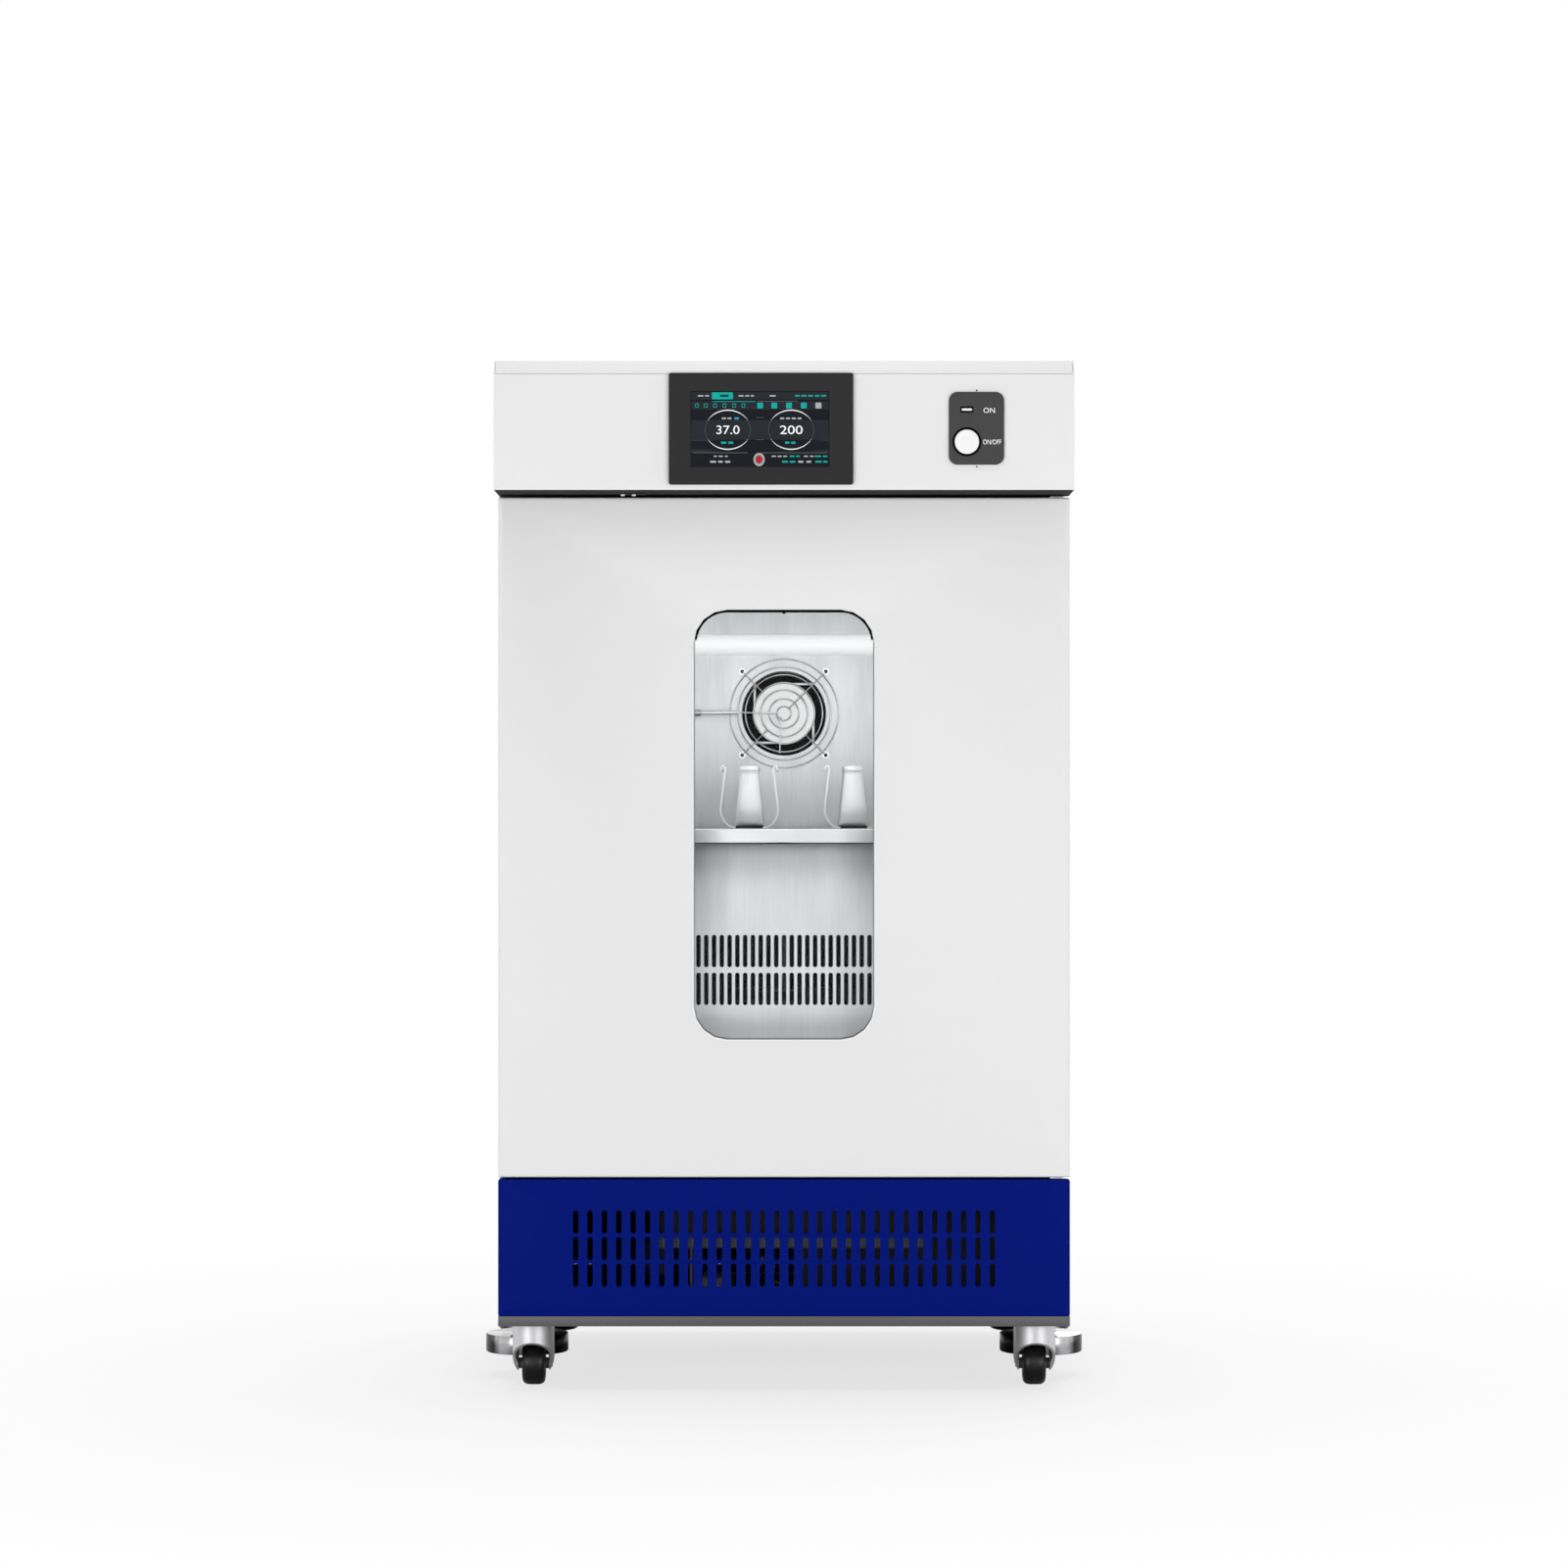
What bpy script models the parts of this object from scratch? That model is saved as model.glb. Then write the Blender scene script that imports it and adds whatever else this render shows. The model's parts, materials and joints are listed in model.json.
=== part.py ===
"""Shaking incubator: an upright heated and cooled cabinet with an orbital shaker inside.

Metres, +Z up, the front faces -Y and the floor is z = 0.  The origin is the middle of the
footprint.  Every separate piece of the machine is one named object.  Pieces that move have
their origin, or the empty that carries them, on the axis of their joint.
"""

import math

import bmesh
import bpy
from mathutils import Matrix, Vector

# fits and sheet metal
FIT = 0.0003              # gap between two pieces that touch
SHEET = 0.0015            # sheet steel of the outer casing
LINER_SHEET = 0.0012      # stainless sheet of the chamber

# overall sizes
CABINET_WIDTH = 0.660
CABINET_DEPTH = 0.600     # front of the door to the back
HEAD_OVERHANG = 0.077     # how far the control head stands in front of the door
BEZEL_PROUD = 0.004       # how far the screen bezel stands in front of the head
BASE_HEIGHT = 0.0757      # floor to the underside of the base frame
BASE_RIM = 0.0115
PANEL_HEIGHT = 0.1575
DOOR_HEIGHT = 0.785
DOOR_GAP = 0.0025
HEAD_HEIGHT = 0.148
HEAD_CHAMFER = 0.013

# door and window
DOOR_DEPTH = 0.040
GASKET_GAP = 0.010        # behind the door, filled by the gasket
DOOR_EDGE = 0.004         # rounding of the door's outer edges
HINGE_INSET = 0.015       # hinge axis in from the side of the cabinet
HINGE_SETBACK = 0.020     # hinge axis behind the front of the door
HINGE_PIN_RADIUS = 0.005
HINGE_PIN_LENGTH = 0.012
HINGE_ARM_WIDTH = 0.022
HINGE_RELIEF = 0.020      # height cleared in the inner panel round each hinge pin
WINDOW_WIDTH = 0.208
WINDOW_HEIGHT = 0.496
WINDOW_SILL = 0.1593      # bottom of the door to the bottom of the window
WINDOW_CORNER = 0.0385
GLASS = 0.004
GLASS_OVERLAP = 0.010     # how far each pane runs behind the edge of the window
SEAL_WIDTH = 0.006
GASKET_WIDTH = 0.020
GASKET_INSET = 0.030      # edge of the door to the outside of the gasket

# grille panel
GRILLE_DEPTH = 0.0497
GRILLE_COLUMNS = 30
GRILLE_ROWS = 3
GRILLE_PITCH = 0.01658
GRILLE_ROW_PITCH = 0.0307
GRILLE_SLOT_WIDTH = 0.0062
GRILLE_SLOT_HEIGHT = 0.0268
GRILLE_MIDDLE = 0.0779    # bottom of the panel to the middle row

# control head
BEZEL_WIDTH = 0.2095
BEZEL_HEIGHT = 0.1268
BEZEL_X = -0.0261
BEZEL_RISE = 0.0058       # underside of the head to the bottom of the bezel
BEZEL_STEP = 0.004        # how far the bezel covers the edge of its cut-out
BEZEL_BODY = 0.012        # depth of the display behind the face of the head
SCREEN_WIDTH = 0.157
SCREEN_HEIGHT = 0.0852
SCREEN_X = -0.0273
SCREEN_RISE = 0.0263
SCREEN_GLASS = 0.0022
SWITCH_WIDTH = 0.0627
SWITCH_HEIGHT = 0.0827
SWITCH_INSET = 0.11135    # side of the head to the middle of the switch plate
SWITCH_RISE = 0.0285
SWITCH_CORNER = 0.010
SWITCH_PLATE = 0.002
BUTTON_RADIUS = 0.014
BUTTON_SHIFT = 0.01095    # button and lamp left of the middle of the switch plate
BUTTON_RISE = 0.0545
BUTTON_CLEARANCE = 0.0007
BUTTON_COLLAR = 0.0025
BUTTON_LENGTH = 0.016
LENS_WIDTH = 0.0122
LENS_HEIGHT = 0.0033
LENS_RISE = 0.0912
SENSOR_X = -0.172
SENSOR_SETBACK = 0.055    # face of the head to the door sensor

# insulated chamber
DECK_HEIGHT = 0.262       # floor to the underside of the steel deck below the chamber
CHAMBER_WIDTH = 0.530
CHAMBER_FLOOR = 0.400
CHAMBER_CEILING = 0.0485  # foam between the ceiling of the chamber and the deck above it
CHAMBER_DEPTH = 0.4465
DUCT_DEPTH = 0.048        # air duct between the rear baffle and the back of the chamber
BAFFLE_SIDE_GAP = 0.002
BAFFLE_BOTTOM_GAP = 0.025
BAFFLE_TOP_GAP = 0.040

# lamp, fan, heater, probe
LAMP_LENGTH = 0.400
LAMP_HEIGHT = 0.026
LAMP_DEPTH = 0.018
LAMP_CLEARANCE = 0.0039   # over the fan guard
FAN_DROP = 0.190          # ceiling of the chamber to the middle of the fan
FAN_SIZE = 0.119
FAN_DEPTH = 0.038
FAN_BORE = 0.054
FAN_OPENING = 0.0531      # radius of the hole in the baffle
FAN_HUB = 0.0382
FAN_BLADE_GAP = 0.0015
FAN_STRUT = 0.008
FAN_SCREW_PITCH = 0.105
GUARD_RADIUS = 0.0682     # outermost ring of the fan guard
GUARD_SHARES = (0.13, 0.273, 0.43, 0.566, 0.711, 0.856, 1.0)
GUARD_WIRE = 0.0009
GUARD_STANDOFF = 0.0036
HEATER_RADIUS = 0.096
HEATER_TUBE = 0.0042
PROBE_RADIUS = 0.0013
PROBE_SETBACK = 0.020
PROBE_DROP = 0.051
PROBE_COLLAR = 0.007

# shaker
ORBIT_RADIUS = 0.013
CRANK_X = 0.0
CRANK_SETBACK = 0.3315    # front of the door to the driven crank
IDLER_SPREAD = 0.150      # idlers left and right of the middle
IDLER_SETBACK = 0.1765
PLATFORM_WIDTH = 0.490
PLATFORM_DEPTH = 0.310
PLATFORM_TOP = 0.650
PLATFORM_LIP = 0.016
PLATFORM_SHEET = 0.003
PLATFORM_SETBACK = 0.2465  # front of the door to the middle of the platform at rest
HOUSING_WIDTH = 0.460
HOUSING_DEPTH = 0.2815
HOUSING_FRONT = 0.128     # front of the door to the front of the drive housing
HOUSING_TOP = 0.626
VENT_COLUMNS = 25
VENT_PITCH = 0.0092
VENT_WIDTH = 0.00545
VENT_HEIGHT = 0.0385
VENT_LOWER = 0.4605
VENT_ROW_PITCH = 0.0448
PLATE_HEIGHT = 0.560
PLATE_THICKNESS = 0.008
PLATE_WIDTH = 0.400
PLATE_DEPTH = 0.240
POST_RADIUS = 0.010
SHAFT_RADIUS = 0.010
SHAFT_TAIL = 0.016        # main shaft below the middle of the belt
IDLER_SHAFT_RADIUS = 0.008
IDLER_SHAFT_BOTTOM = 0.530
BEARING_WALL = 0.014
BEARING_TOP = 0.620
BEARING_BOTTOM = 0.540
WEB_THICKNESS = 0.005
WEB_CLEARANCE = 0.0015
PIN_RADIUS = 0.008
IDLER_PIN_RADIUS = 0.006
PIN_LENGTH = 0.013
MAIN_WEIGHT = 0.026       # radius of the main crank's counterweight
MAIN_WEIGHT_SHIFT = 0.008
IDLER_WEIGHT = 0.018
IDLER_WEIGHT_SHIFT = 0.004
HUB_WALL = 0.007
MOTOR_X = 0.145
MOTOR_RADIUS = 0.045
MOTOR_HEIGHT = 0.088
MOTOR_SHAFT_RADIUS = 0.005
BELT_RISE = 0.046         # floor of the chamber to the middle of the belt
BELT_WIDTH = 0.012
BELT_THICKNESS = 0.003
DRIVEN_PULLEY = 0.057     # radius that the belt runs on
MOTOR_PULLEY = 0.019      # a third of the driven pulley, so the motor turns three times
PULLEY_FLANGE = 0.0045
PULLEY_RIM = 0.002

# flask clamps
HOLE_PITCH = 0.041        # grid of tapped holes in the platform
CLAMP_COLUMNS = (-4, -1, 2)
CLAMP_SETBACK = 0.1345    # front of the door to the front row
CLAMP_ROWS = 2
CLAMP_ROW_PITCH = 3
CLAMP_SHEET = 0.0015
CLAMP_FOOT = 0.017
CLAMP_BELLY = 0.0353
CLAMP_NECK = 0.0295
CLAMP_HEIGHT = 0.0745
CLAMP_ARM_FOOT = 0.0317
CLAMP_ARM_TOP = 0.0217
CLAMP_SCREW = 0.003

# cooling machine
COMPRESSOR_X = -0.165
COMPRESSOR_SETBACK = 0.2205   # back of the cabinet to the middle of the compressor
COMPRESSOR_RADIUS = 0.072
COMPRESSOR_HEIGHT = 0.150
CONDENSER_X = 0.140
CONDENSER_SETBACK = 0.0945    # front of the door to the face of the condenser
CONDENSER_WIDTH = 0.240
CONDENSER_HEIGHT = 0.150
CONDENSER_CORE = 0.022
CONDENSER_SHROUD = 0.040
FIN_COUNT = 15
FIN_PITCH = 0.0155
FIN_THICKNESS = 0.002
FIN_DEPTH = 0.006
COOLER_FAN_RADIUS = 0.063
COOLER_FAN_HUB = 0.020
COOLER_TIP_GAP = 0.003
REAR_VENTS = 12
REAR_VENT_PITCH = 0.026
REAR_VENT_WIDTH = 0.009
REAR_VENT_HEIGHT = 0.070
INLET_X = -0.250
INLET_HEIGHT = 0.150
INLET_WIDTH = 0.047
INLET_TALL = 0.027
INLET_DEPTH = 0.026

# casters and feet
WHEEL_RADIUS = 0.025
WHEEL_WIDTH = 0.027
WHEEL_HUB = 0.010
TREAD = 0.004
AXLE_RADIUS = 0.004
CASTER_TRAIL = 0.025
CASTER_INSET = 0.0375
CASTER_FRONT = 0.046      # front of the door to the front swivels
CASTER_REAR = 0.080       # back of the cabinet to the rear swivels
FORK_WIDTH = 0.047
FORK_CLEARANCE = 0.0012
SWIVEL_PIN = 0.007
SWIVEL_PIN_LENGTH = 0.010
FOOT_INSET = 0.024
FOOT_RADIUS = 0.049
FOOT_THICKNESS = 0.022
FOOT_BOTTOM = 0.028
FOOT_STEM = 0.006
FOOT_STEM_TOP = 0.132
FOOT_SETBACK = 0.1185     # swivel to foot, toward the middle of the cabinet
NUT_RADIUS = 0.013
NUT_HEIGHT = 0.020
BASE_SHEET = 0.0025

# sizes that follow
HALF_WIDTH = CABINET_WIDTH / 2
TOTAL_DEPTH = CABINET_DEPTH + HEAD_OVERHANG + BEZEL_PROUD
FRONT_Y = -TOTAL_DEPTH / 2
HEAD_Y = FRONT_Y + BEZEL_PROUD
DOOR_Y = HEAD_Y + HEAD_OVERHANG
REAR_Y = DOOR_Y + CABINET_DEPTH
BODY_Y = DOOR_Y + DOOR_DEPTH + GASKET_GAP
BASE_TOP = BASE_HEIGHT + BASE_RIM
PANEL_Z = BASE_TOP + FIT
DOOR_Z = PANEL_Z + PANEL_HEIGHT + DOOR_GAP
DOOR_TOP = DOOR_Z + DOOR_HEIGHT
SWITCH_X = HALF_WIDTH - SWITCH_INSET
BUTTON_X = SWITCH_X - BUTTON_SHIFT
CASTER_X = HALF_WIDTH - CASTER_INSET
FOOT_X = HALF_WIDTH - FOOT_INSET
GUARD_RINGS = tuple(GUARD_RADIUS * share for share in GUARD_SHARES)
HEAD_Z = DOOR_TOP + DOOR_GAP
TOP_Z = HEAD_Z + HEAD_HEIGHT
HINGE_X = HALF_WIDTH - HINGE_INSET
HINGE_Y = DOOR_Y + HINGE_SETBACK
WINDOW_Z = DOOR_Z + WINDOW_SILL + WINDOW_HEIGHT / 2
CHAMBER_TOP = HEAD_Z - SHEET - CHAMBER_CEILING
CHAMBER_BACK = BODY_Y + CHAMBER_DEPTH
BAFFLE_Y = CHAMBER_BACK - DUCT_DEPTH
BAFFLE_BACK = BAFFLE_Y + SHEET
FAN_Y = BAFFLE_BACK + FIT
FAN_HEIGHT = CHAMBER_TOP - FAN_DROP
LAMP_BOTTOM = FAN_HEIGHT + max(GUARD_RINGS) + GUARD_WIRE + LAMP_CLEARANCE
BAFFLE_WIDTH = CHAMBER_WIDTH - 2 * BAFFLE_SIDE_GAP
BAFFLE_BOTTOM = CHAMBER_FLOOR + BAFFLE_BOTTOM_GAP
BAFFLE_TOP = CHAMBER_TOP - BAFFLE_TOP_GAP
INNER_HALF = HALF_WIDTH - SHEET - FIT
MACHINE_FLOOR = BASE_HEIGHT + BASE_SHEET + FIT
HOUSING_Y = DOOR_Y + HOUSING_FRONT
BELT_HEIGHT = CHAMBER_FLOOR + BELT_RISE
SHAFT_BOTTOM = BELT_HEIGHT - SHAFT_TAIL
CRANK_Y = DOOR_Y + CRANK_SETBACK
IDLER_Y = DOOR_Y + IDLER_SETBACK
PLATFORM_Y = DOOR_Y + PLATFORM_SETBACK
CLAMP_FRONT_ROW = DOOR_Y + CLAMP_SETBACK
CONDENSER_Y = DOOR_Y + CONDENSER_SETBACK
COMPRESSOR_Y = REAR_Y - COMPRESSOR_SETBACK
WEB_Z = HOUSING_TOP + WEB_CLEARANCE
PIN_Z = WEB_Z + WEB_THICKNESS
PLATE_TOP = PLATE_HEIGHT + PLATE_THICKNESS
CASTER_PLACES = {
    "front_left": (-CASTER_X, DOOR_Y + CASTER_FRONT, 1),
    "front_right": (CASTER_X, DOOR_Y + CASTER_FRONT, 1),
    "rear_left": (-CASTER_X, REAR_Y - CASTER_REAR, -1),
    "rear_right": (CASTER_X, REAR_Y - CASTER_REAR, -1),
}

# finishes
FINISHES = {
    "white_paint": ((0.82, 0.82, 0.82), 0.45, 0.0),
    "blue_paint": ((0.001, 0.006, 0.17), 0.35, 0.0),
    "frame_paint": ((0.10, 0.10, 0.105), 0.55, 0.0),
    "stainless": ((0.66, 0.67, 0.68), 0.32, 1.0),
    "bright_steel": ((0.70, 0.71, 0.72), 0.18, 1.0),
    "zinc": ((0.42, 0.42, 0.43), 0.45, 1.0),
    "aluminium": ((0.62, 0.63, 0.64), 0.40, 1.0),
    "black_plastic": ((0.02, 0.02, 0.02), 0.5, 0.0),
    "dark_plastic": ((0.07, 0.07, 0.075), 0.45, 0.0),
    "white_plastic": ((0.85, 0.85, 0.84), 0.35, 0.0),
    "rubber": ((0.015, 0.015, 0.015), 0.85, 0.0),
    "glass": ((0.85, 0.90, 0.90), 0.03, 0.0),
    "foam": ((0.75, 0.68, 0.50), 0.95, 0.0),
}


for old in list(bpy.data.objects):
    bpy.data.objects.remove(old)

parts = bpy.data.collections.new("shaking_incubator")
bpy.context.scene.collection.children.link(parts)
cutters = bpy.data.collections.new("cutters")
bpy.context.scene.collection.children.link(cutters)


# helpers
def smooth(mesh, angle=35):
    """Shade a mesh smooth, with the edges above the angle kept sharp."""
    mesh.shade_smooth()
    mesh.set_sharp_from_angle(angle=math.radians(angle))


def to_mesh(name, bm):
    """Store a bmesh as a mesh, with its faces turned outward."""
    bmesh.ops.recalc_face_normals(bm, faces=bm.faces)
    mesh = bpy.data.meshes.new(name)
    bm.to_mesh(mesh)
    bm.free()
    smooth(mesh)
    return mesh


def add_object(name, mesh):
    """Put a mesh in the scene as an object."""
    piece = bpy.data.objects.new(name, mesh)
    parts.objects.link(piece)
    return piece


def as_cutter(piece):
    """Turn an object into a hidden tool for cutting or joining."""
    parts.objects.unlink(piece)
    cutters.objects.link(piece)
    piece.hide_render = True
    piece.display_type = "WIRE"
    return piece


def box_into(bm, x_range, y_range, z_range):
    """Add a box to a bmesh, from its low to its high side on each axis."""
    size = Vector((x_range[1] - x_range[0], y_range[1] - y_range[0], z_range[1] - z_range[0]))
    middle = Vector((sum(x_range) / 2, sum(y_range) / 2, sum(z_range) / 2))
    place = Matrix.Translation(middle) @ Matrix.Diagonal((*size, 1))
    return bmesh.ops.create_cube(bm, size=1.0, matrix=place)["verts"]


def rod_into(bm, start, end, radius, sides=20, end_radius=None):
    """Add a cylinder or a cone to a bmesh, between two points."""
    start = Vector(start)
    end = Vector(end)
    turn = (end - start).to_track_quat("Z", "Y").to_matrix().to_4x4()
    bmesh.ops.create_cone(
        bm,
        cap_ends=True,
        segments=sides,
        radius1=radius,
        radius2=radius if end_radius is None else end_radius,
        depth=(end - start).length,
        matrix=Matrix.Translation((start + end) / 2) @ turn,
    )


def box(name, x_range, y_range, z_range):
    """Make a box as an object."""
    bm = bmesh.new()
    box_into(bm, x_range, y_range, z_range)
    return add_object(name, to_mesh(name, bm))


def boxes(name, ranges):
    """Make several separate boxes as one tool."""
    bm = bmesh.new()
    for x_range, y_range, z_range in ranges:
        box_into(bm, x_range, y_range, z_range)
    return add_object(name, to_mesh(name, bm))


def rods(name, places, sides=20):
    """Make one or more cylinders as one object, each from (start, end, radius)."""
    bm = bmesh.new()
    for start, end, radius in places:
        rod_into(bm, start, end, radius, sides)
    return add_object(name, to_mesh(name, bm))


def bores(name, places, sides=16):
    """Cutters for round holes, each from (start, end, radius), with their flats on the radius."""
    grown = []
    for start, end, radius in places:
        grown.append((start, end, radius / math.cos(math.pi / sides)))
    return rods(name, grown, sides)


def boolean(piece, tool, operation):
    """Cut a piece with a tool, or join the tool to it."""
    modifier = piece.modifiers.new(operation.lower(), "BOOLEAN")
    modifier.operation = operation
    modifier.object = as_cutter(tool)
    modifier.solver = "EXACT"
    return piece


def cut(piece, tool):
    """Take the tool out of the piece."""
    return boolean(piece, tool, "DIFFERENCE")


def join(piece, tool):
    """Weld the tool to the piece."""
    return boolean(piece, tool, "UNION")


def bake(piece):
    """Replace an object's mesh by what its modifiers make of it."""
    graph = bpy.context.evaluated_depsgraph_get()
    mesh = bpy.data.meshes.new_from_object(piece.evaluated_get(graph))
    piece.modifiers.clear()
    piece.data = mesh
    bm = bmesh.new()
    bm.from_mesh(mesh)
    bmesh.ops.recalc_face_normals(bm, faces=bm.faces)
    bm.to_mesh(mesh)
    bm.free()
    smooth(mesh)
    return piece


def round_edges(piece, width, segments=2, angle=50):
    """Round the sharp edges of a piece."""
    bevel = piece.modifiers.new("rounding", "BEVEL")
    bevel.width = width
    bevel.segments = segments
    bevel.limit_method = "ANGLE"
    bevel.angle_limit = math.radians(angle)
    bevel.use_clamp_overlap = True
    return piece


def thicken(piece, thickness):
    """Give an open surface a wall on its inner side."""
    wall = piece.modifiers.new("wall", "SOLIDIFY")
    wall.thickness = thickness
    wall.offset = -1
    wall.use_even_offset = True
    wall.use_quality_normals = True
    return bake(piece)


def arc(center, radius, start, end, steps):
    """Points on an arc, from one angle to another in degrees."""
    points = []
    for step in range(steps + 1):
        angle = math.radians(start + (end - start) * step / steps)
        points.append((center[0] + radius * math.cos(angle), center[1] + radius * math.sin(angle)))
    return points


def circle(center, radius, sides):
    """Points on a circle."""
    return arc(center, radius, 0, 360 * (sides - 1) / sides, sides - 1)


def rectangle(center, width, height):
    """Corner points of a rectangle."""
    u, v = center
    half_width = width / 2
    half_height = height / 2
    return [
        (u - half_width, v - half_height),
        (u + half_width, v - half_height),
        (u + half_width, v + half_height),
        (u - half_width, v + half_height),
    ]


def rounded_rectangle(center, width, height, radius, steps=4):
    """Points of a rectangle with round corners."""
    u = width / 2 - radius
    v = height / 2 - radius
    points = []
    for corner, (side_u, side_v) in enumerate(((1, 1), (-1, 1), (-1, -1), (1, -1))):
        middle = (center[0] + side_u * u, center[1] + side_v * v)
        points += arc(middle, radius, 90 * corner, 90 * corner + 90, steps)
    return points


def slot(center, width, height, steps=2):
    """Points of an upright slot with round ends."""
    reach = height / 2 - width / 2
    upper = arc((center[0], center[1] + reach), width / 2, 0, 180, steps)
    lower = arc((center[0], center[1] - reach), width / 2, 180, 360, steps)
    return upper + lower


def loop_round_two(first, first_radius, second, second_radius, steps=6):
    """Outline pulled tight round two circles, like a belt round two pulleys."""
    along = Vector((second[0] - first[0], second[1] - first[1]))
    heading = math.degrees(math.atan2(along.y, along.x))
    spread = math.degrees(math.acos((first_radius - second_radius) / along.length))
    far_side = arc(first, first_radius, heading + spread, heading + 360 - spread, steps * 2)
    near_side = arc(second, second_radius, heading - spread, heading + spread, steps)
    return far_side + near_side


def flat_mesh(name, outlines, thickness):
    """Fill flat outlines, the inner ones as holes, and give them a thickness about z = 0."""
    curve = bpy.data.curves.new(name + "_outline", "CURVE")
    curve.dimensions = "2D"
    curve.fill_mode = "BOTH"
    curve.extrude = thickness / 2
    for points in outlines:
        spline = curve.splines.new("POLY")
        spline.points.add(len(points) - 1)
        for point, (u, v) in zip(spline.points, points):
            point.co = (u, v, 0, 1)
        spline.use_cyclic_u = True
    holder = bpy.data.objects.new(name + "_outline", curve)
    parts.objects.link(holder)
    graph = bpy.context.evaluated_depsgraph_get()
    filled = bpy.data.meshes.new_from_object(holder.evaluated_get(graph))
    bpy.data.objects.remove(holder)
    bm = bmesh.new()
    bm.from_mesh(filled)
    bmesh.ops.remove_doubles(bm, verts=bm.verts, dist=0.00001)
    bmesh.ops.dissolve_limit(
        bm,
        angle_limit=math.radians(1),
        verts=bm.verts,
        edges=bm.edges,
        delimit={"NORMAL"},
    )
    return to_mesh(name, bm)


def plate(name, outlines, low, high, across="z"):
    """A flat plate with holes, between two values on the axis that it lies across."""
    mesh = flat_mesh(name, outlines, high - low)
    middle = (low + high) / 2
    turns = {
        "z": Matrix.Translation((0, 0, middle)),
        "y": Matrix.Translation((0, middle, 0)) @ Matrix.Rotation(math.radians(90), 4, "X"),
        "x": Matrix.Translation((middle, 0, 0))
        @ Matrix.Rotation(math.radians(90), 4, "Z")
        @ Matrix.Rotation(math.radians(90), 4, "X"),
    }
    mesh.transform(turns[across])
    return add_object(name, mesh)


def shell(name, x_range, y_range, z_range, open_sides, thickness, corner=0.0):
    """A box of sheet with some sides left open, with its given sizes outside.

    open_sides holds signed axes, such as "-y" for no front.
    """
    bm = bmesh.new()
    box_into(bm, x_range, y_range, z_range)
    if corner > 0:
        upright = [e for e in bm.edges if abs((e.verts[0].co - e.verts[1].co).normalized().z) > 0.9]
        bmesh.ops.bevel(bm, geom=upright, offset=corner, segments=3, affect="EDGES", profile=0.5)
    bmesh.ops.recalc_face_normals(bm, faces=bm.faces)
    gone = []
    for face in bm.faces:
        for side in open_sides:
            axis = Vector((side[1] == "x", side[1] == "y", side[1] == "z"))
            if face.normal.dot(axis) * (-1 if side[0] == "-" else 1) > 0.99:
                gone.append(face)
    bmesh.ops.delete(bm, geom=gone, context="FACES")
    mesh = bpy.data.meshes.new(name)
    bm.to_mesh(mesh)
    bm.free()
    return thicken(add_object(name, mesh), thickness)


def bent_sheet(name, profile, x_range, thickness):
    """A sheet bent along a profile of (y, z) points, running from left to right."""
    bm = bmesh.new()
    corners = [bm.verts.new((x_range[0], y, z)) for y, z in profile]
    edges = [bm.edges.new(pair) for pair in zip(corners, corners[1:])]
    swept = bmesh.ops.extrude_edge_only(bm, edges=edges)["geom"]
    moved = [item for item in swept if isinstance(item, bmesh.types.BMVert)]
    bmesh.ops.translate(bm, verts=moved, vec=(x_range[1] - x_range[0], 0, 0))
    mesh = bpy.data.meshes.new(name)
    bm.to_mesh(mesh)
    bm.free()
    return thicken(add_object(name, mesh), thickness)


def turned(name, profile, steps, place=Matrix.Identity(4)):
    """A turned piece from (radius, height) points, down the outer side, about the z axis."""
    bm = bmesh.new()
    corners = [bm.verts.new((radius, 0, height)) for radius, height in profile]
    for pair in zip(corners, corners[1:]):
        bm.edges.new(pair)
    if profile[0][0] > 0:
        bm.edges.new((corners[-1], corners[0]))
    mesh = bpy.data.meshes.new(name)
    bm.to_mesh(mesh)
    bm.free()
    piece = add_object(name, mesh)
    lathe = piece.modifiers.new("lathe", "SCREW")
    lathe.axis = "Z"
    lathe.steps = steps
    lathe.render_steps = steps
    lathe.use_merge_vertices = True
    lathe.merge_threshold = 0.00001
    bake(piece)
    piece.data.transform(place)
    return piece


def wire(name, points, radius, resolution=2):
    """A round wire through points, as a mesh with its ends closed."""
    curve = bpy.data.curves.new(name + "_path", "CURVE")
    curve.dimensions = "3D"
    curve.bevel_depth = radius
    curve.bevel_resolution = resolution
    curve.use_fill_caps = True
    spline = curve.splines.new("POLY")
    spline.points.add(len(points) - 1)
    for point, place in zip(spline.points, points):
        point.co = (*place, 1)
    holder = bpy.data.objects.new(name + "_path", curve)
    parts.objects.link(holder)
    graph = bpy.context.evaluated_depsgraph_get()
    tube = bpy.data.meshes.new_from_object(holder.evaluated_get(graph))
    bpy.data.objects.remove(holder)
    bm = bmesh.new()
    bm.from_mesh(tube)
    bmesh.ops.remove_doubles(bm, verts=bm.verts, dist=0.00001)
    return add_object(name, to_mesh(name, bm))


def finish(piece, look, origin=None, parent=None):
    """Give a piece its material, its origin and the empty that carries it."""
    if origin is not None:
        piece.data.transform(Matrix.Translation(-Vector(origin)))
        piece.location = origin
    color, roughness, metallic = FINISHES[look]
    paint = bpy.data.materials.new(piece.name + "_" + look)
    paint.use_nodes = True
    shader = paint.node_tree.nodes["Principled BSDF"]
    shader.inputs["Base Color"].default_value = (*color, 1)
    shader.inputs["Roughness"].default_value = roughness
    shader.inputs["Metallic"].default_value = metallic
    piece.data.materials.clear()
    piece.data.materials.append(paint)
    if parent is not None:
        carry(piece, parent)
    return piece


def carry(piece, parent):
    """Parent a piece to an empty or to another piece, and leave it where it is."""
    bpy.context.view_layer.update()
    piece.parent = parent
    piece.matrix_parent_inverse = parent.matrix_world.inverted()


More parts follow.
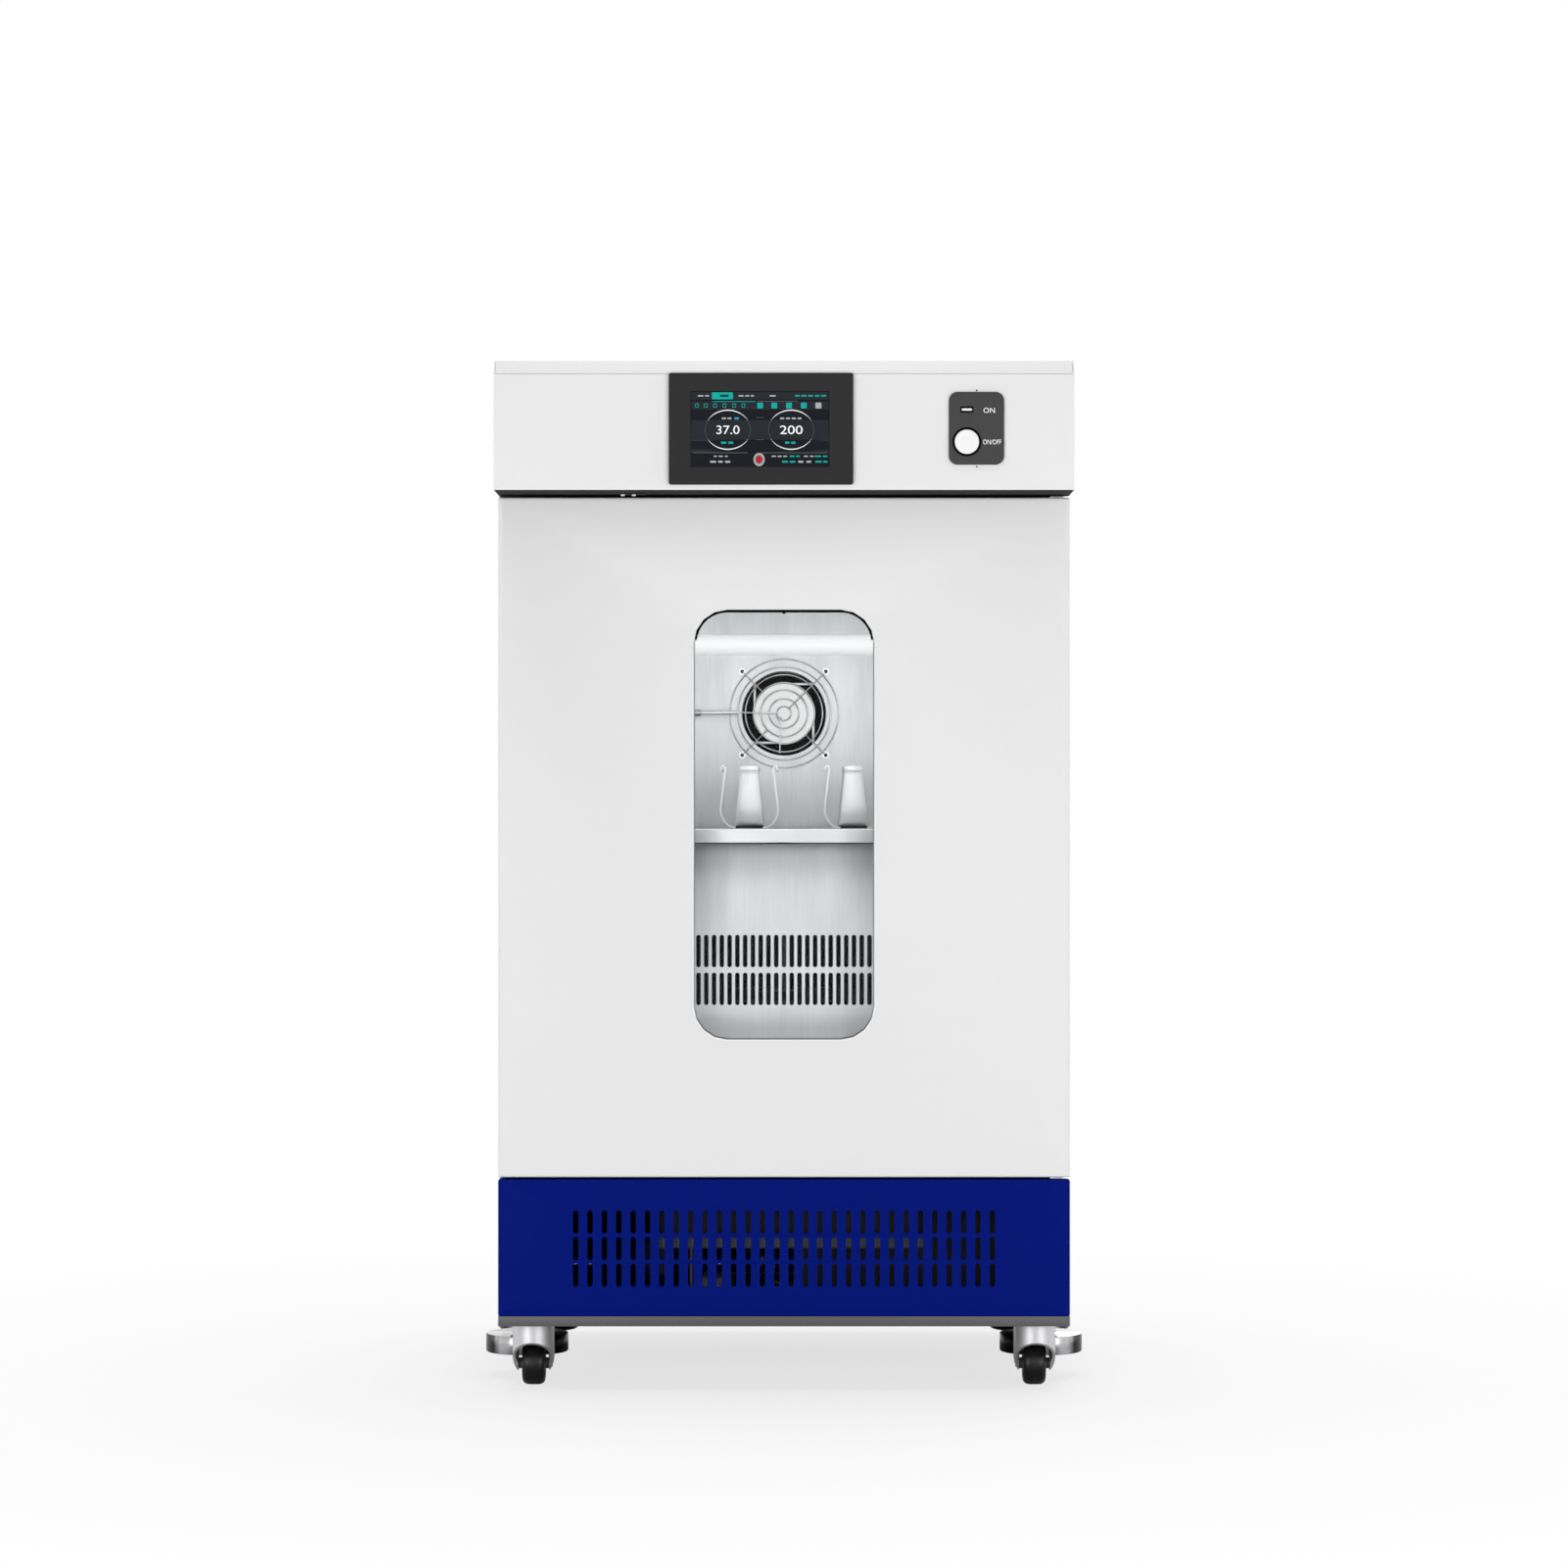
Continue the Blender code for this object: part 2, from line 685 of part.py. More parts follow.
def pivot(name, place):
    """An empty on the axis of a joint."""
    empty = bpy.data.objects.new(name, None)
    empty.empty_display_size = 0.03
    empty.location = place
    parts.objects.link(empty)
    bpy.context.view_layer.update()
    return empty


# base, casing and covers
def foot_place(name):
    """Where a levelling foot stands, set back from its caster."""
    x, y, inward = CASTER_PLACES[name]
    return math.copysign(FOOT_X, x), y + inward * FOOT_SETBACK


def build_base():
    """The base frame, with the swivel pins of the casters and the nuts of the feet."""
    base = shell(
        "base_frame",
        (-HALF_WIDTH, HALF_WIDTH),
        (DOOR_Y, REAR_Y),
        (BASE_HEIGHT, BASE_TOP),
        ("+z",),
        BASE_SHEET,
    )
    added = []
    holes = []
    for name, (x, y, _) in CASTER_PLACES.items():
        pin_low = BASE_HEIGHT - SWIVEL_PIN_LENGTH
        added.append(((x, y, pin_low), (x, y, BASE_HEIGHT + BASE_SHEET / 2), SWIVEL_PIN))
        foot_x, foot_y = foot_place(name)
        nut_low = BASE_HEIGHT + BASE_SHEET / 2
        nut_top = BASE_HEIGHT + NUT_HEIGHT
        added.append(((foot_x, foot_y, nut_low), (foot_x, foot_y, nut_top), NUT_RADIUS))
        bore_low = BASE_HEIGHT - SWIVEL_PIN_LENGTH
        bore_top = nut_top + SWIVEL_PIN_LENGTH
        holes.append(((foot_x, foot_y, bore_low), (foot_x, foot_y, bore_top), FOOT_STEM + FIT))
    join(base, rods("base_frame_pins", added, 10))
    cut(base, bores("base_frame_bores", holes, 12))
    finish(base, "frame_paint")


def build_casing():
    """The wrapped steel casing: two sides with a deck under and over the chamber."""
    casing_back = REAR_Y - SHEET - FIT
    casing = box(
        "outer_casing",
        (-HALF_WIDTH, HALF_WIDTH),
        (BODY_Y, casing_back),
        (PANEL_Z, TOP_Z),
    )
    inner = (SHEET - HALF_WIDTH, HALF_WIDTH - SHEET)
    through = (BODY_Y - CABINET_DEPTH, REAR_Y + CABINET_DEPTH)
    rooms = [
        (inner, through, (BASE_HEIGHT, DECK_HEIGHT)),
        (inner, through, (DECK_HEIGHT + SHEET, HEAD_Z - SHEET)),
        (inner, through, (HEAD_Z, TOP_Z + HEAD_HEIGHT)),
    ]
    cut(casing, boxes("outer_casing_rooms", rooms))
    finish(casing, "white_paint")

    vents = [rectangle((0, (PANEL_Z + TOP_Z) / 2), CABINET_WIDTH, TOP_Z - PANEL_Z)]
    vent_middle = (BASE_TOP + DECK_HEIGHT) / 2
    first = (REAR_VENTS - 1) / 2
    for column in range(REAR_VENTS):
        place = ((column - first) * REAR_VENT_PITCH, vent_middle)
        vents.append(slot(place, REAR_VENT_WIDTH, REAR_VENT_HEIGHT))
    inlet = rectangle((INLET_X, INLET_HEIGHT), INLET_WIDTH + 2 * FIT, INLET_TALL + 2 * FIT)
    vents.append(inlet)
    finish(plate("rear_panel", vents, REAR_Y - SHEET, REAR_Y, "y"), "white_paint")

    profile = [
        (HEAD_Y, TOP_Z - HEAD_CHAMFER - SHEET - LINER_SHEET),
        (HEAD_Y, TOP_Z - HEAD_CHAMFER),
        (HEAD_Y + HEAD_CHAMFER, TOP_Z),
        (casing_back, TOP_Z),
        (casing_back, TOP_Z - 2 * HEAD_CHAMFER),
    ]
    cover = bent_sheet("top_cover", profile, (-INNER_HALF, INNER_HALF), SHEET)
    finish(cover, "white_paint")


def build_inlet():
    """The mains inlet in the back, a recessed socket with three pins."""
    outer = REAR_Y - FIT
    inlet = box(
        "power_inlet",
        (INLET_X - INLET_WIDTH / 2, INLET_X + INLET_WIDTH / 2),
        (REAR_Y - INLET_DEPTH, outer),
        (INLET_HEIGHT - INLET_TALL / 2, INLET_HEIGHT + INLET_TALL / 2),
    )
    rim = SHEET + FIT
    flange_y = (REAR_Y - rim - 2 * SHEET, REAR_Y - rim)
    flange = box(
        "power_inlet_flange",
        (INLET_X - INLET_WIDTH / 2 - 2 * SHEET, INLET_X + INLET_WIDTH / 2 + 2 * SHEET),
        flange_y,
        (INLET_HEIGHT - INLET_TALL / 2 - 2 * SHEET, INLET_HEIGHT + INLET_TALL / 2 + 2 * SHEET),
    )
    join(inlet, flange)
    hollow = box(
        "power_inlet_socket",
        (INLET_X - INLET_WIDTH / 2 + 2 * rim, INLET_X + INLET_WIDTH / 2 - 2 * rim),
        (REAR_Y - INLET_DEPTH + 2 * rim, REAR_Y + INLET_DEPTH),
        (INLET_HEIGHT - INLET_TALL / 2 + rim, INLET_HEIGHT + INLET_TALL / 2 - rim),
    )
    cut(inlet, hollow)
    pins = []
    for column in (-1, 0, 1):
        x = INLET_X + column * INLET_WIDTH / 6
        pins.append((
            (x - SHEET / 2, x + SHEET / 2),
            (REAR_Y - INLET_DEPTH + rim, REAR_Y - 2 * rim),
            (INLET_HEIGHT - SHEET, INLET_HEIGHT + 2 * SHEET),
        ))
    join(inlet, boxes("power_inlet_pins", pins))
    finish(inlet, "black_plastic")


def build_grille():
    """The blue front panel of the machine room, with its rows of upright slots."""
    panel_back = DOOR_Y + GRILLE_DEPTH
    panel = shell(
        "grille_panel",
        (-HALF_WIDTH, HALF_WIDTH),
        (DOOR_Y, panel_back),
        (PANEL_Z, PANEL_Z + PANEL_HEIGHT),
        ("+y",),
        SHEET,
    )
    slots = plate(
        "grille_slot",
        [slot((0, PANEL_Z + GRILLE_MIDDLE), GRILLE_SLOT_WIDTH, GRILLE_SLOT_HEIGHT)],
        DOOR_Y - SHEET,
        DOOR_Y + 2 * SHEET,
        "y",
    )
    slots.data.transform(Matrix.Translation((
        -GRILLE_PITCH * (GRILLE_COLUMNS - 1) / 2,
        0,
        -GRILLE_ROW_PITCH * (GRILLE_ROWS - 1) / 2,
    )))
    for label, count, step in (
        ("columns", GRILLE_COLUMNS, (GRILLE_PITCH, 0, 0)),
        ("rows", GRILLE_ROWS, (0, 0, GRILLE_ROW_PITCH)),
    ):
        pattern = slots.modifiers.new(label, "ARRAY")
        pattern.count = count
        pattern.use_relative_offset = False
        pattern.use_constant_offset = True
        pattern.constant_offset_displace = step
    cut(panel, bake(slots))
    finish(panel, "blue_paint")


# control head
def build_head():
    """The control head: a bent shell with the display, the switch and the door sensor."""
    wall_top = TOP_Z - HEAD_CHAMFER
    outline = [
        (HEAD_Y, HEAD_Z),
        (BODY_Y - FIT, HEAD_Z),
        (BODY_Y - FIT, TOP_Z),
        (HEAD_Y + HEAD_CHAMFER, TOP_Z),
        (HEAD_Y, wall_top),
    ]
    head = plate("control_head", [outline], -HALF_WIDTH, HALF_WIDTH, "x")
    bm = bmesh.new()
    bm.from_mesh(head.data)
    gone = [f for f in bm.faces if f.normal.y > 0.9 or f.normal.z > 0.5]
    bmesh.ops.delete(bm, geom=gone, context="FACES")
    bm.to_mesh(head.data)
    bm.free()
    thicken(head, SHEET)

    body_width = BEZEL_WIDTH - 2 * BEZEL_STEP
    body_height = BEZEL_HEIGHT - 2 * BEZEL_STEP
    bezel_z = HEAD_Z + BEZEL_RISE + BEZEL_HEIGHT / 2
    screen_z = HEAD_Z + SCREEN_RISE + SCREEN_HEIGHT / 2
    button_z = HEAD_Z + BUTTON_RISE
    lens_z = HEAD_Z + LENS_RISE
    seam = wall_top - SHEET - LINER_SHEET - FIT
    near = HEAD_Y - HEAD_CHAMFER
    far = HEAD_Y + 2 * SHEET
    windows = [
        (
            (BEZEL_X - body_width / 2 - FIT, BEZEL_X + body_width / 2 + FIT),
            (near, far),
            (bezel_z - body_height / 2 - FIT, bezel_z + body_height / 2 + FIT),
        ),
        (
            (BUTTON_X - LENS_WIDTH / 2 - FIT, BUTTON_X + LENS_WIDTH / 2 + FIT),
            (near, far),
            (lens_z - LENS_HEIGHT / 2 - FIT, lens_z + LENS_HEIGHT / 2 + FIT),
        ),
        ((-INNER_HALF - FIT, INNER_HALF + FIT), (near, far), (seam, TOP_Z)),
    ]
    cut(head, boxes("control_head_windows", windows))
    hole = ((BUTTON_X, near, button_z), (BUTTON_X, far, button_z))
    cut(head, bores("control_head_hole", [(*hole, BUTTON_RADIUS + BUTTON_CLEARANCE)], 20))
    finish(head, "white_paint")

    bezel_back = HEAD_Y - FIT
    bezel = box(
        "screen_bezel",
        (BEZEL_X - BEZEL_WIDTH / 2, BEZEL_X + BEZEL_WIDTH / 2),
        (FRONT_Y, bezel_back),
        (bezel_z - BEZEL_HEIGHT / 2, bezel_z + BEZEL_HEIGHT / 2),
    )
    round_edges(bezel, BEZEL_PROUD / 4, 2)
    display = box(
        "screen_bezel_body",
        (BEZEL_X - body_width / 2, BEZEL_X + body_width / 2),
        (FRONT_Y + BEZEL_PROUD / 2, HEAD_Y + BEZEL_BODY),
        (bezel_z - body_height / 2, bezel_z + body_height / 2),
    )
    join(bezel, display)
    pocket = box(
        "screen_bezel_pocket",
        (SCREEN_X - SCREEN_WIDTH / 2 - FIT, SCREEN_X + SCREEN_WIDTH / 2 + FIT),
        (FRONT_Y - BEZEL_PROUD, FRONT_Y + SCREEN_GLASS + 2 * FIT),
        (screen_z - SCREEN_HEIGHT / 2 - FIT, screen_z + SCREEN_HEIGHT / 2 + FIT),
    )
    cut(bezel, pocket)
    finish(bezel, "dark_plastic")

    screen = box(
        "screen_glass",
        (SCREEN_X - SCREEN_WIDTH / 2, SCREEN_X + SCREEN_WIDTH / 2),
        (FRONT_Y + FIT, FRONT_Y + SCREEN_GLASS + FIT),
        (screen_z - SCREEN_HEIGHT / 2, screen_z + SCREEN_HEIGHT / 2),
    )
    finish(screen, "glass")

    switch_z = HEAD_Z + SWITCH_RISE + SWITCH_HEIGHT / 2
    lens_hole = rectangle((BUTTON_X, lens_z), LENS_WIDTH + 2 * FIT, LENS_HEIGHT + 2 * FIT)
    outlines = [
        rounded_rectangle((SWITCH_X, switch_z), SWITCH_WIDTH, SWITCH_HEIGHT, SWITCH_CORNER, 5),
        circle((BUTTON_X, button_z), BUTTON_RADIUS + BUTTON_CLEARANCE, 20),
        lens_hole,
    ]
    face = HEAD_Y - FIT - SWITCH_PLATE
    finish(plate("switch_plate", outlines, face, HEAD_Y - FIT, "y"), "dark_plastic")

    lens = box(
        "indicator_lens",
        (BUTTON_X - LENS_WIDTH / 2, BUTTON_X + LENS_WIDTH / 2),
        (face - FIT, HEAD_Y + BEZEL_PROUD),
        (lens_z - LENS_HEIGHT / 2, lens_z + LENS_HEIGHT / 2),
    )
    finish(lens, "white_plastic")

    collar_top = -(SHEET + FIT)
    collar_low = collar_top - BUTTON_COLLAR
    profile = [
        (0, BEZEL_PROUD),
        (BUTTON_RADIUS - 2 * FIT, BEZEL_PROUD),
        (BUTTON_RADIUS, BEZEL_PROUD - 2 * FIT),
        (BUTTON_RADIUS, collar_top),
        (BUTTON_RADIUS + BUTTON_COLLAR, collar_top),
        (BUTTON_RADIUS + BUTTON_COLLAR, collar_low),
        (BUTTON_RADIUS, collar_low),
        (BUTTON_RADIUS, BEZEL_PROUD - BUTTON_LENGTH),
        (0, BEZEL_PROUD - BUTTON_LENGTH),
    ]
    outward = Matrix.Rotation(math.radians(90), 4, "X")
    place = Matrix.Translation((BUTTON_X, HEAD_Y, button_z)) @ outward
    button = turned("power_button", profile, 16, place)
    carrier = pivot("power_button_slide", (BUTTON_X, HEAD_Y, button_z))
    finish(button, "white_plastic", (BUTTON_X, HEAD_Y, button_z), carrier)

    sensor_y = HEAD_Y + SENSOR_SETBACK
    sensor_top = HEAD_Z - FIT
    sensor = box(
        "door_switch",
        (SENSOR_X - 2 * LENS_HEIGHT, SENSOR_X + 4 * LENS_HEIGHT),
        (sensor_y - LENS_HEIGHT, sensor_y + LENS_HEIGHT),
        (sensor_top - SHEET / 2, sensor_top),
    )
    studs = []
    for x in (SENSOR_X - LENS_HEIGHT, SENSOR_X + 3 * LENS_HEIGHT):
        low = (x, sensor_y, sensor_top - SHEET - SHEET / 2)
        studs.append((low, (x, sensor_y, sensor_top - SHEET / 4), LENS_HEIGHT / 2))
    join(sensor, rods("door_switch_studs", studs, 12))
    finish(sensor, "black_plastic")


# door
def window_outline(grow):
    """The window's outline, grown on every side."""
    return rounded_rectangle(
        (0, WINDOW_Z),
        WINDOW_WIDTH + 2 * grow,
        WINDOW_HEIGHT + 2 * grow,
        WINDOW_CORNER + grow,
        4,
    )


def build_door():
    """The door: a skin and an inner panel with a double window and a gasket."""
    hinge = pivot("door_hinge_axis", (HINGE_X, HINGE_Y, DOOR_Z))
    pin_hole = HINGE_PIN_RADIUS + FIT
    door_back = DOOR_Y + DOOR_DEPTH

    bm = bmesh.new()
    box_into(bm, (-HALF_WIDTH, HALF_WIDTH), (DOOR_Y, door_back), (DOOR_Z, DOOR_TOP))
    front = [e for e in bm.edges if max(v.co.y for v in e.verts) < DOOR_Y + FIT]
    bmesh.ops.bevel(bm, geom=front, offset=DOOR_EDGE, segments=2, affect="EDGES", profile=0.5)
    bmesh.ops.recalc_face_normals(bm, faces=bm.faces)
    back = [f for f in bm.faces if f.normal.y > 0.9]
    bmesh.ops.delete(bm, geom=back, context="FACES")
    mesh = bpy.data.meshes.new("door_skin")
    bm.to_mesh(mesh)
    bm.free()
    skin = thicken(add_object("door_skin", mesh), SHEET)
    opening = plate(
        "door_skin_window",
        [window_outline(0)],
        DOOR_Y - SHEET,
        DOOR_Y + 2 * SHEET,
        "y",
    )
    cut(skin, opening)
    ends = (
        ((HINGE_X, HINGE_Y, DOOR_Z - SHEET), (HINGE_X, HINGE_Y, DOOR_Z + 2 * SHEET), pin_hole),
        ((HINGE_X, HINGE_Y, DOOR_TOP - 2 * SHEET), (HINGE_X, HINGE_Y, DOOR_TOP + SHEET), pin_hole),
    )
    cut(skin, bores("door_skin_pin_holes", ends, 16))
    finish(skin, "white_paint", (HINGE_X, HINGE_Y, DOOR_Z), hinge)

    # panes stand on both sides of the spacer ring of the window seal
    outer_pane = DOOR_Y + SHEET + FIT
    spacer_front = outer_pane + GLASS + FIT
    panel_front = door_back - SHEET - SHEET
    inner_pane = panel_front - FIT - GLASS
    spacer_back = inner_pane - FIT
    pane = [window_outline(GLASS_OVERLAP)]
    for name, front_y in (("window_outer_pane", outer_pane), ("window_inner_pane", inner_pane)):
        glass = plate(name, pane, front_y, front_y + GLASS, "y")
        finish(glass, "glass", (HINGE_X, HINGE_Y, DOOR_Z), hinge)

    band = [window_outline(GLASS_OVERLAP + FIT + SEAL_WIDTH), window_outline(GLASS_OVERLAP + FIT)]
    seal = plate("window_seal", band, outer_pane, panel_front - FIT, "y")
    spacer = [window_outline(GLASS_OVERLAP + FIT + SEAL_WIDTH / 2), window_outline(0)]
    join(seal, plate("window_seal_spacer", spacer, spacer_front, spacer_back, "y"))
    finish(seal, "rubber", (HINGE_X, HINGE_Y, DOOR_Z), hinge)

    edge = SHEET + FIT
    inner = shell(
        "door_inner_panel",
        (edge - HALF_WIDTH, HALF_WIDTH - edge),
        (panel_front - DOOR_DEPTH / 4, panel_front + SHEET),
        (DOOR_Z + edge, DOOR_TOP - edge),
        ("-y",),
        SHEET,
    )
    rear_window = plate(
        "door_inner_window",
        [window_outline(0)],
        panel_front - SHEET,
        panel_front + 2 * SHEET,
        "y",
    )
    cut(inner, rear_window)
    clear = HINGE_PIN_RADIUS + 2 * SHEET
    relief = []
    for low, high in ((DOOR_Z, DOOR_Z + HINGE_RELIEF), (DOOR_TOP - HINGE_RELIEF, DOOR_TOP)):
        relief.append((
            (HINGE_X - clear, HINGE_X + clear),
            (HINGE_Y - clear, HINGE_Y + clear),
            (low, high),
        ))
    cut(inner, boxes("door_inner_relief", relief))
    finish(inner, "white_paint", (HINGE_X, HINGE_Y, DOOR_Z), hinge)

    middle = (0, (DOOR_Z + DOOR_TOP) / 2)
    wide = CABINET_WIDTH - 2 * GASKET_INSET
    tall = DOOR_HEIGHT - 2 * GASKET_INSET
    ring = [
        rounded_rectangle(middle, wide, tall, GASKET_WIDTH, 3),
        rounded_rectangle(middle, wide - 2 * GASKET_WIDTH, tall - 2 * GASKET_WIDTH, SEAL_WIDTH, 3),
    ]
    gasket = plate("door_gasket", ring, panel_front + SHEET + FIT, BODY_Y - FIT, "y")
    finish(gasket, "rubber", (HINGE_X, HINGE_Y, DOOR_Z), hinge)


def build_hinges():
    """The two hinge brackets, each a leaf on the casing, an arm and a pin."""
    leaf_back = BODY_Y - FIT
    leaf_front = leaf_back - 2 * SHEET
    arm_x = (HALF_WIDTH - FIT - HINGE_ARM_WIDTH, HALF_WIDTH - FIT)
    arm_gap = FIT
    for name, low, high, reach in (
        ("upper_hinge", DOOR_TOP + arm_gap, HEAD_Z - arm_gap, -1),
        ("lower_hinge", PANEL_Z + PANEL_HEIGHT + arm_gap, DOOR_Z - arm_gap, 1),
    ):
        arm = box(name, arm_x, (HINGE_Y - HINGE_ARM_WIDTH / 2, leaf_back), (low, high))
        leaf_far = low + 2 * HINGE_ARM_WIDTH if reach > 0 else high - 2 * HINGE_ARM_WIDTH
        leaf_z = (low, leaf_far) if reach > 0 else (leaf_far, high)
        join(arm, box(name + "_leaf", arm_x, (leaf_front, leaf_back), leaf_z))
        start = (low + high) / 2
        tip = high + HINGE_PIN_LENGTH if reach > 0 else low - HINGE_PIN_LENGTH
        pin = ((HINGE_X, HINGE_Y, start), (HINGE_X, HINGE_Y, tip), HINGE_PIN_RADIUS)
        join(arm, rods(name + "_pin", [pin], 16))
        finish(arm, "bright_steel")


# insulated chamber
def build_chamber():
    """The foam, the steel liner with its front flange, and the baffle before the air duct."""
    half = CHAMBER_WIDTH / 2
    flange_low = DECK_HEIGHT + SHEET + FIT
    flange_top = HEAD_Z - SHEET - FIT

    bm = bmesh.new()
    box_into(bm, (-half, half), (BODY_Y, CHAMBER_BACK), (CHAMBER_FLOOR, CHAMBER_TOP))
    bmesh.ops.recalc_face_normals(bm, faces=bm.faces)
    front = [f for f in bm.faces if f.normal.y < -0.9]
    bmesh.ops.delete(bm, geom=front, context="FACES")
    rim = [e for e in bm.edges if e.is_boundary]
    grown = bmesh.ops.extrude_edge_only(bm, edges=rim)["geom"]
    for vertex in [item for item in grown if isinstance(item, bmesh.types.BMVert)]:
        vertex.co.x = math.copysign(INNER_HALF, vertex.co.x)
        vertex.co.z = flange_low if vertex.co.z < (flange_low + flange_top) / 2 else flange_top
    bmesh.ops.recalc_face_normals(bm, faces=bm.faces)
    floor = min(bm.faces, key=lambda f: abs(f.calc_center_median().z - CHAMBER_FLOOR))
    if floor.normal.z < 0:
        bmesh.ops.reverse_faces(bm, faces=bm.faces)
    mesh = bpy.data.meshes.new("chamber_liner")
    bm.to_mesh(mesh)
    bm.free()
    liner = thicken(add_object("chamber_liner", mesh), LINER_SHEET)
    finish(liner, "stainless")

    clear = LINER_SHEET + FIT
    foam = box(
        "insulation",
        (-INNER_HALF, INNER_HALF),
        (BODY_Y + clear, REAR_Y - SHEET - FIT),
        (flange_low, flange_top),
    )
    room = box(
        "insulation_room",
        (-half - clear, half + clear),
        (BODY_Y - clear, CHAMBER_BACK + clear),
        (CHAMBER_FLOOR - clear, CHAMBER_TOP + clear),
    )
    cut(foam, room)
    finish(foam, "foam")

    baffle = shell(
        "rear_baffle",
        (-BAFFLE_WIDTH / 2, BAFFLE_WIDTH / 2),
        (BAFFLE_Y, CHAMBER_BACK - FIT),
        (BAFFLE_BOTTOM, BAFFLE_TOP),
        ("+y", "-z", "+z"),
        SHEET,
    )
    hole = ((0, BAFFLE_Y - SHEET, FAN_HEIGHT), (0, BAFFLE_BACK + SHEET, FAN_HEIGHT), FAN_OPENING)
    cut(baffle, rods("rear_baffle_hole", [hole], 24))
    finish(baffle, "stainless")

    back = BAFFLE_Y - FIT
    bow = arc((0, 0), 1, -90, 90, 6)
    outline = []
    for across, up in bow:
        outline.append((back - LAMP_DEPTH * across, LAMP_BOTTOM + LAMP_HEIGHT * (up + 1) / 2))
    lamp = plate("lamp_diffuser", [outline], -LAMP_LENGTH / 2, LAMP_LENGTH / 2, "x")
    finish(lamp, "white_plastic")


def blades_into(bm, count, root, tip, low, high, root_angle, tip_angle, thickness):
    """Add twisted fan blades about the z axis, each a plate turned more at its root."""
    for number in range(count):
        verts = box_into(
            bm,
            (root, tip),
            (-thickness / 2, thickness / 2),
            (-(high - low) / 2, (high - low) / 2),
        )
        for vertex in verts:
            pitch = root_angle if vertex.co.x < (root + tip) / 2 else tip_angle
            turn = Matrix.Rotation(math.radians(pitch), 3, "X")
            x = vertex.co.x
            turned_point = turn @ Vector((0, vertex.co.y, vertex.co.z))
            vertex.co = Vector((x, turned_point.y, turned_point.z + (low + high) / 2))
        around = Matrix.Rotation(2 * math.pi * number / count, 3, "Z")
        bmesh.ops.rotate(bm, verts=verts, matrix=around, cent=(0, 0, 0))


def fan_wheel(name, hub, tip, depth, blades, place):
    """A fan wheel with its axis on y, its front face on the place given."""
    bm = bmesh.new()
    rod_into(bm, (0, 0, 0), (0, 0, depth), hub, 16)
    wheel = add_object(name, to_mesh(name, bm))
    bm = bmesh.new()
    blades_into(bm, blades, hub - 2 * SHEET, tip, depth * 0.12, depth * 0.88, 52, 38, SHEET)
    blade_tool = add_object(name + "_blades", to_mesh(name + "_blades", bm))
    join(wheel, blade_tool)
    bake(wheel)
    wheel.data.transform(Matrix.Translation(place) @ Matrix.Rotation(math.radians(-90), 4, "X"))
    return wheel


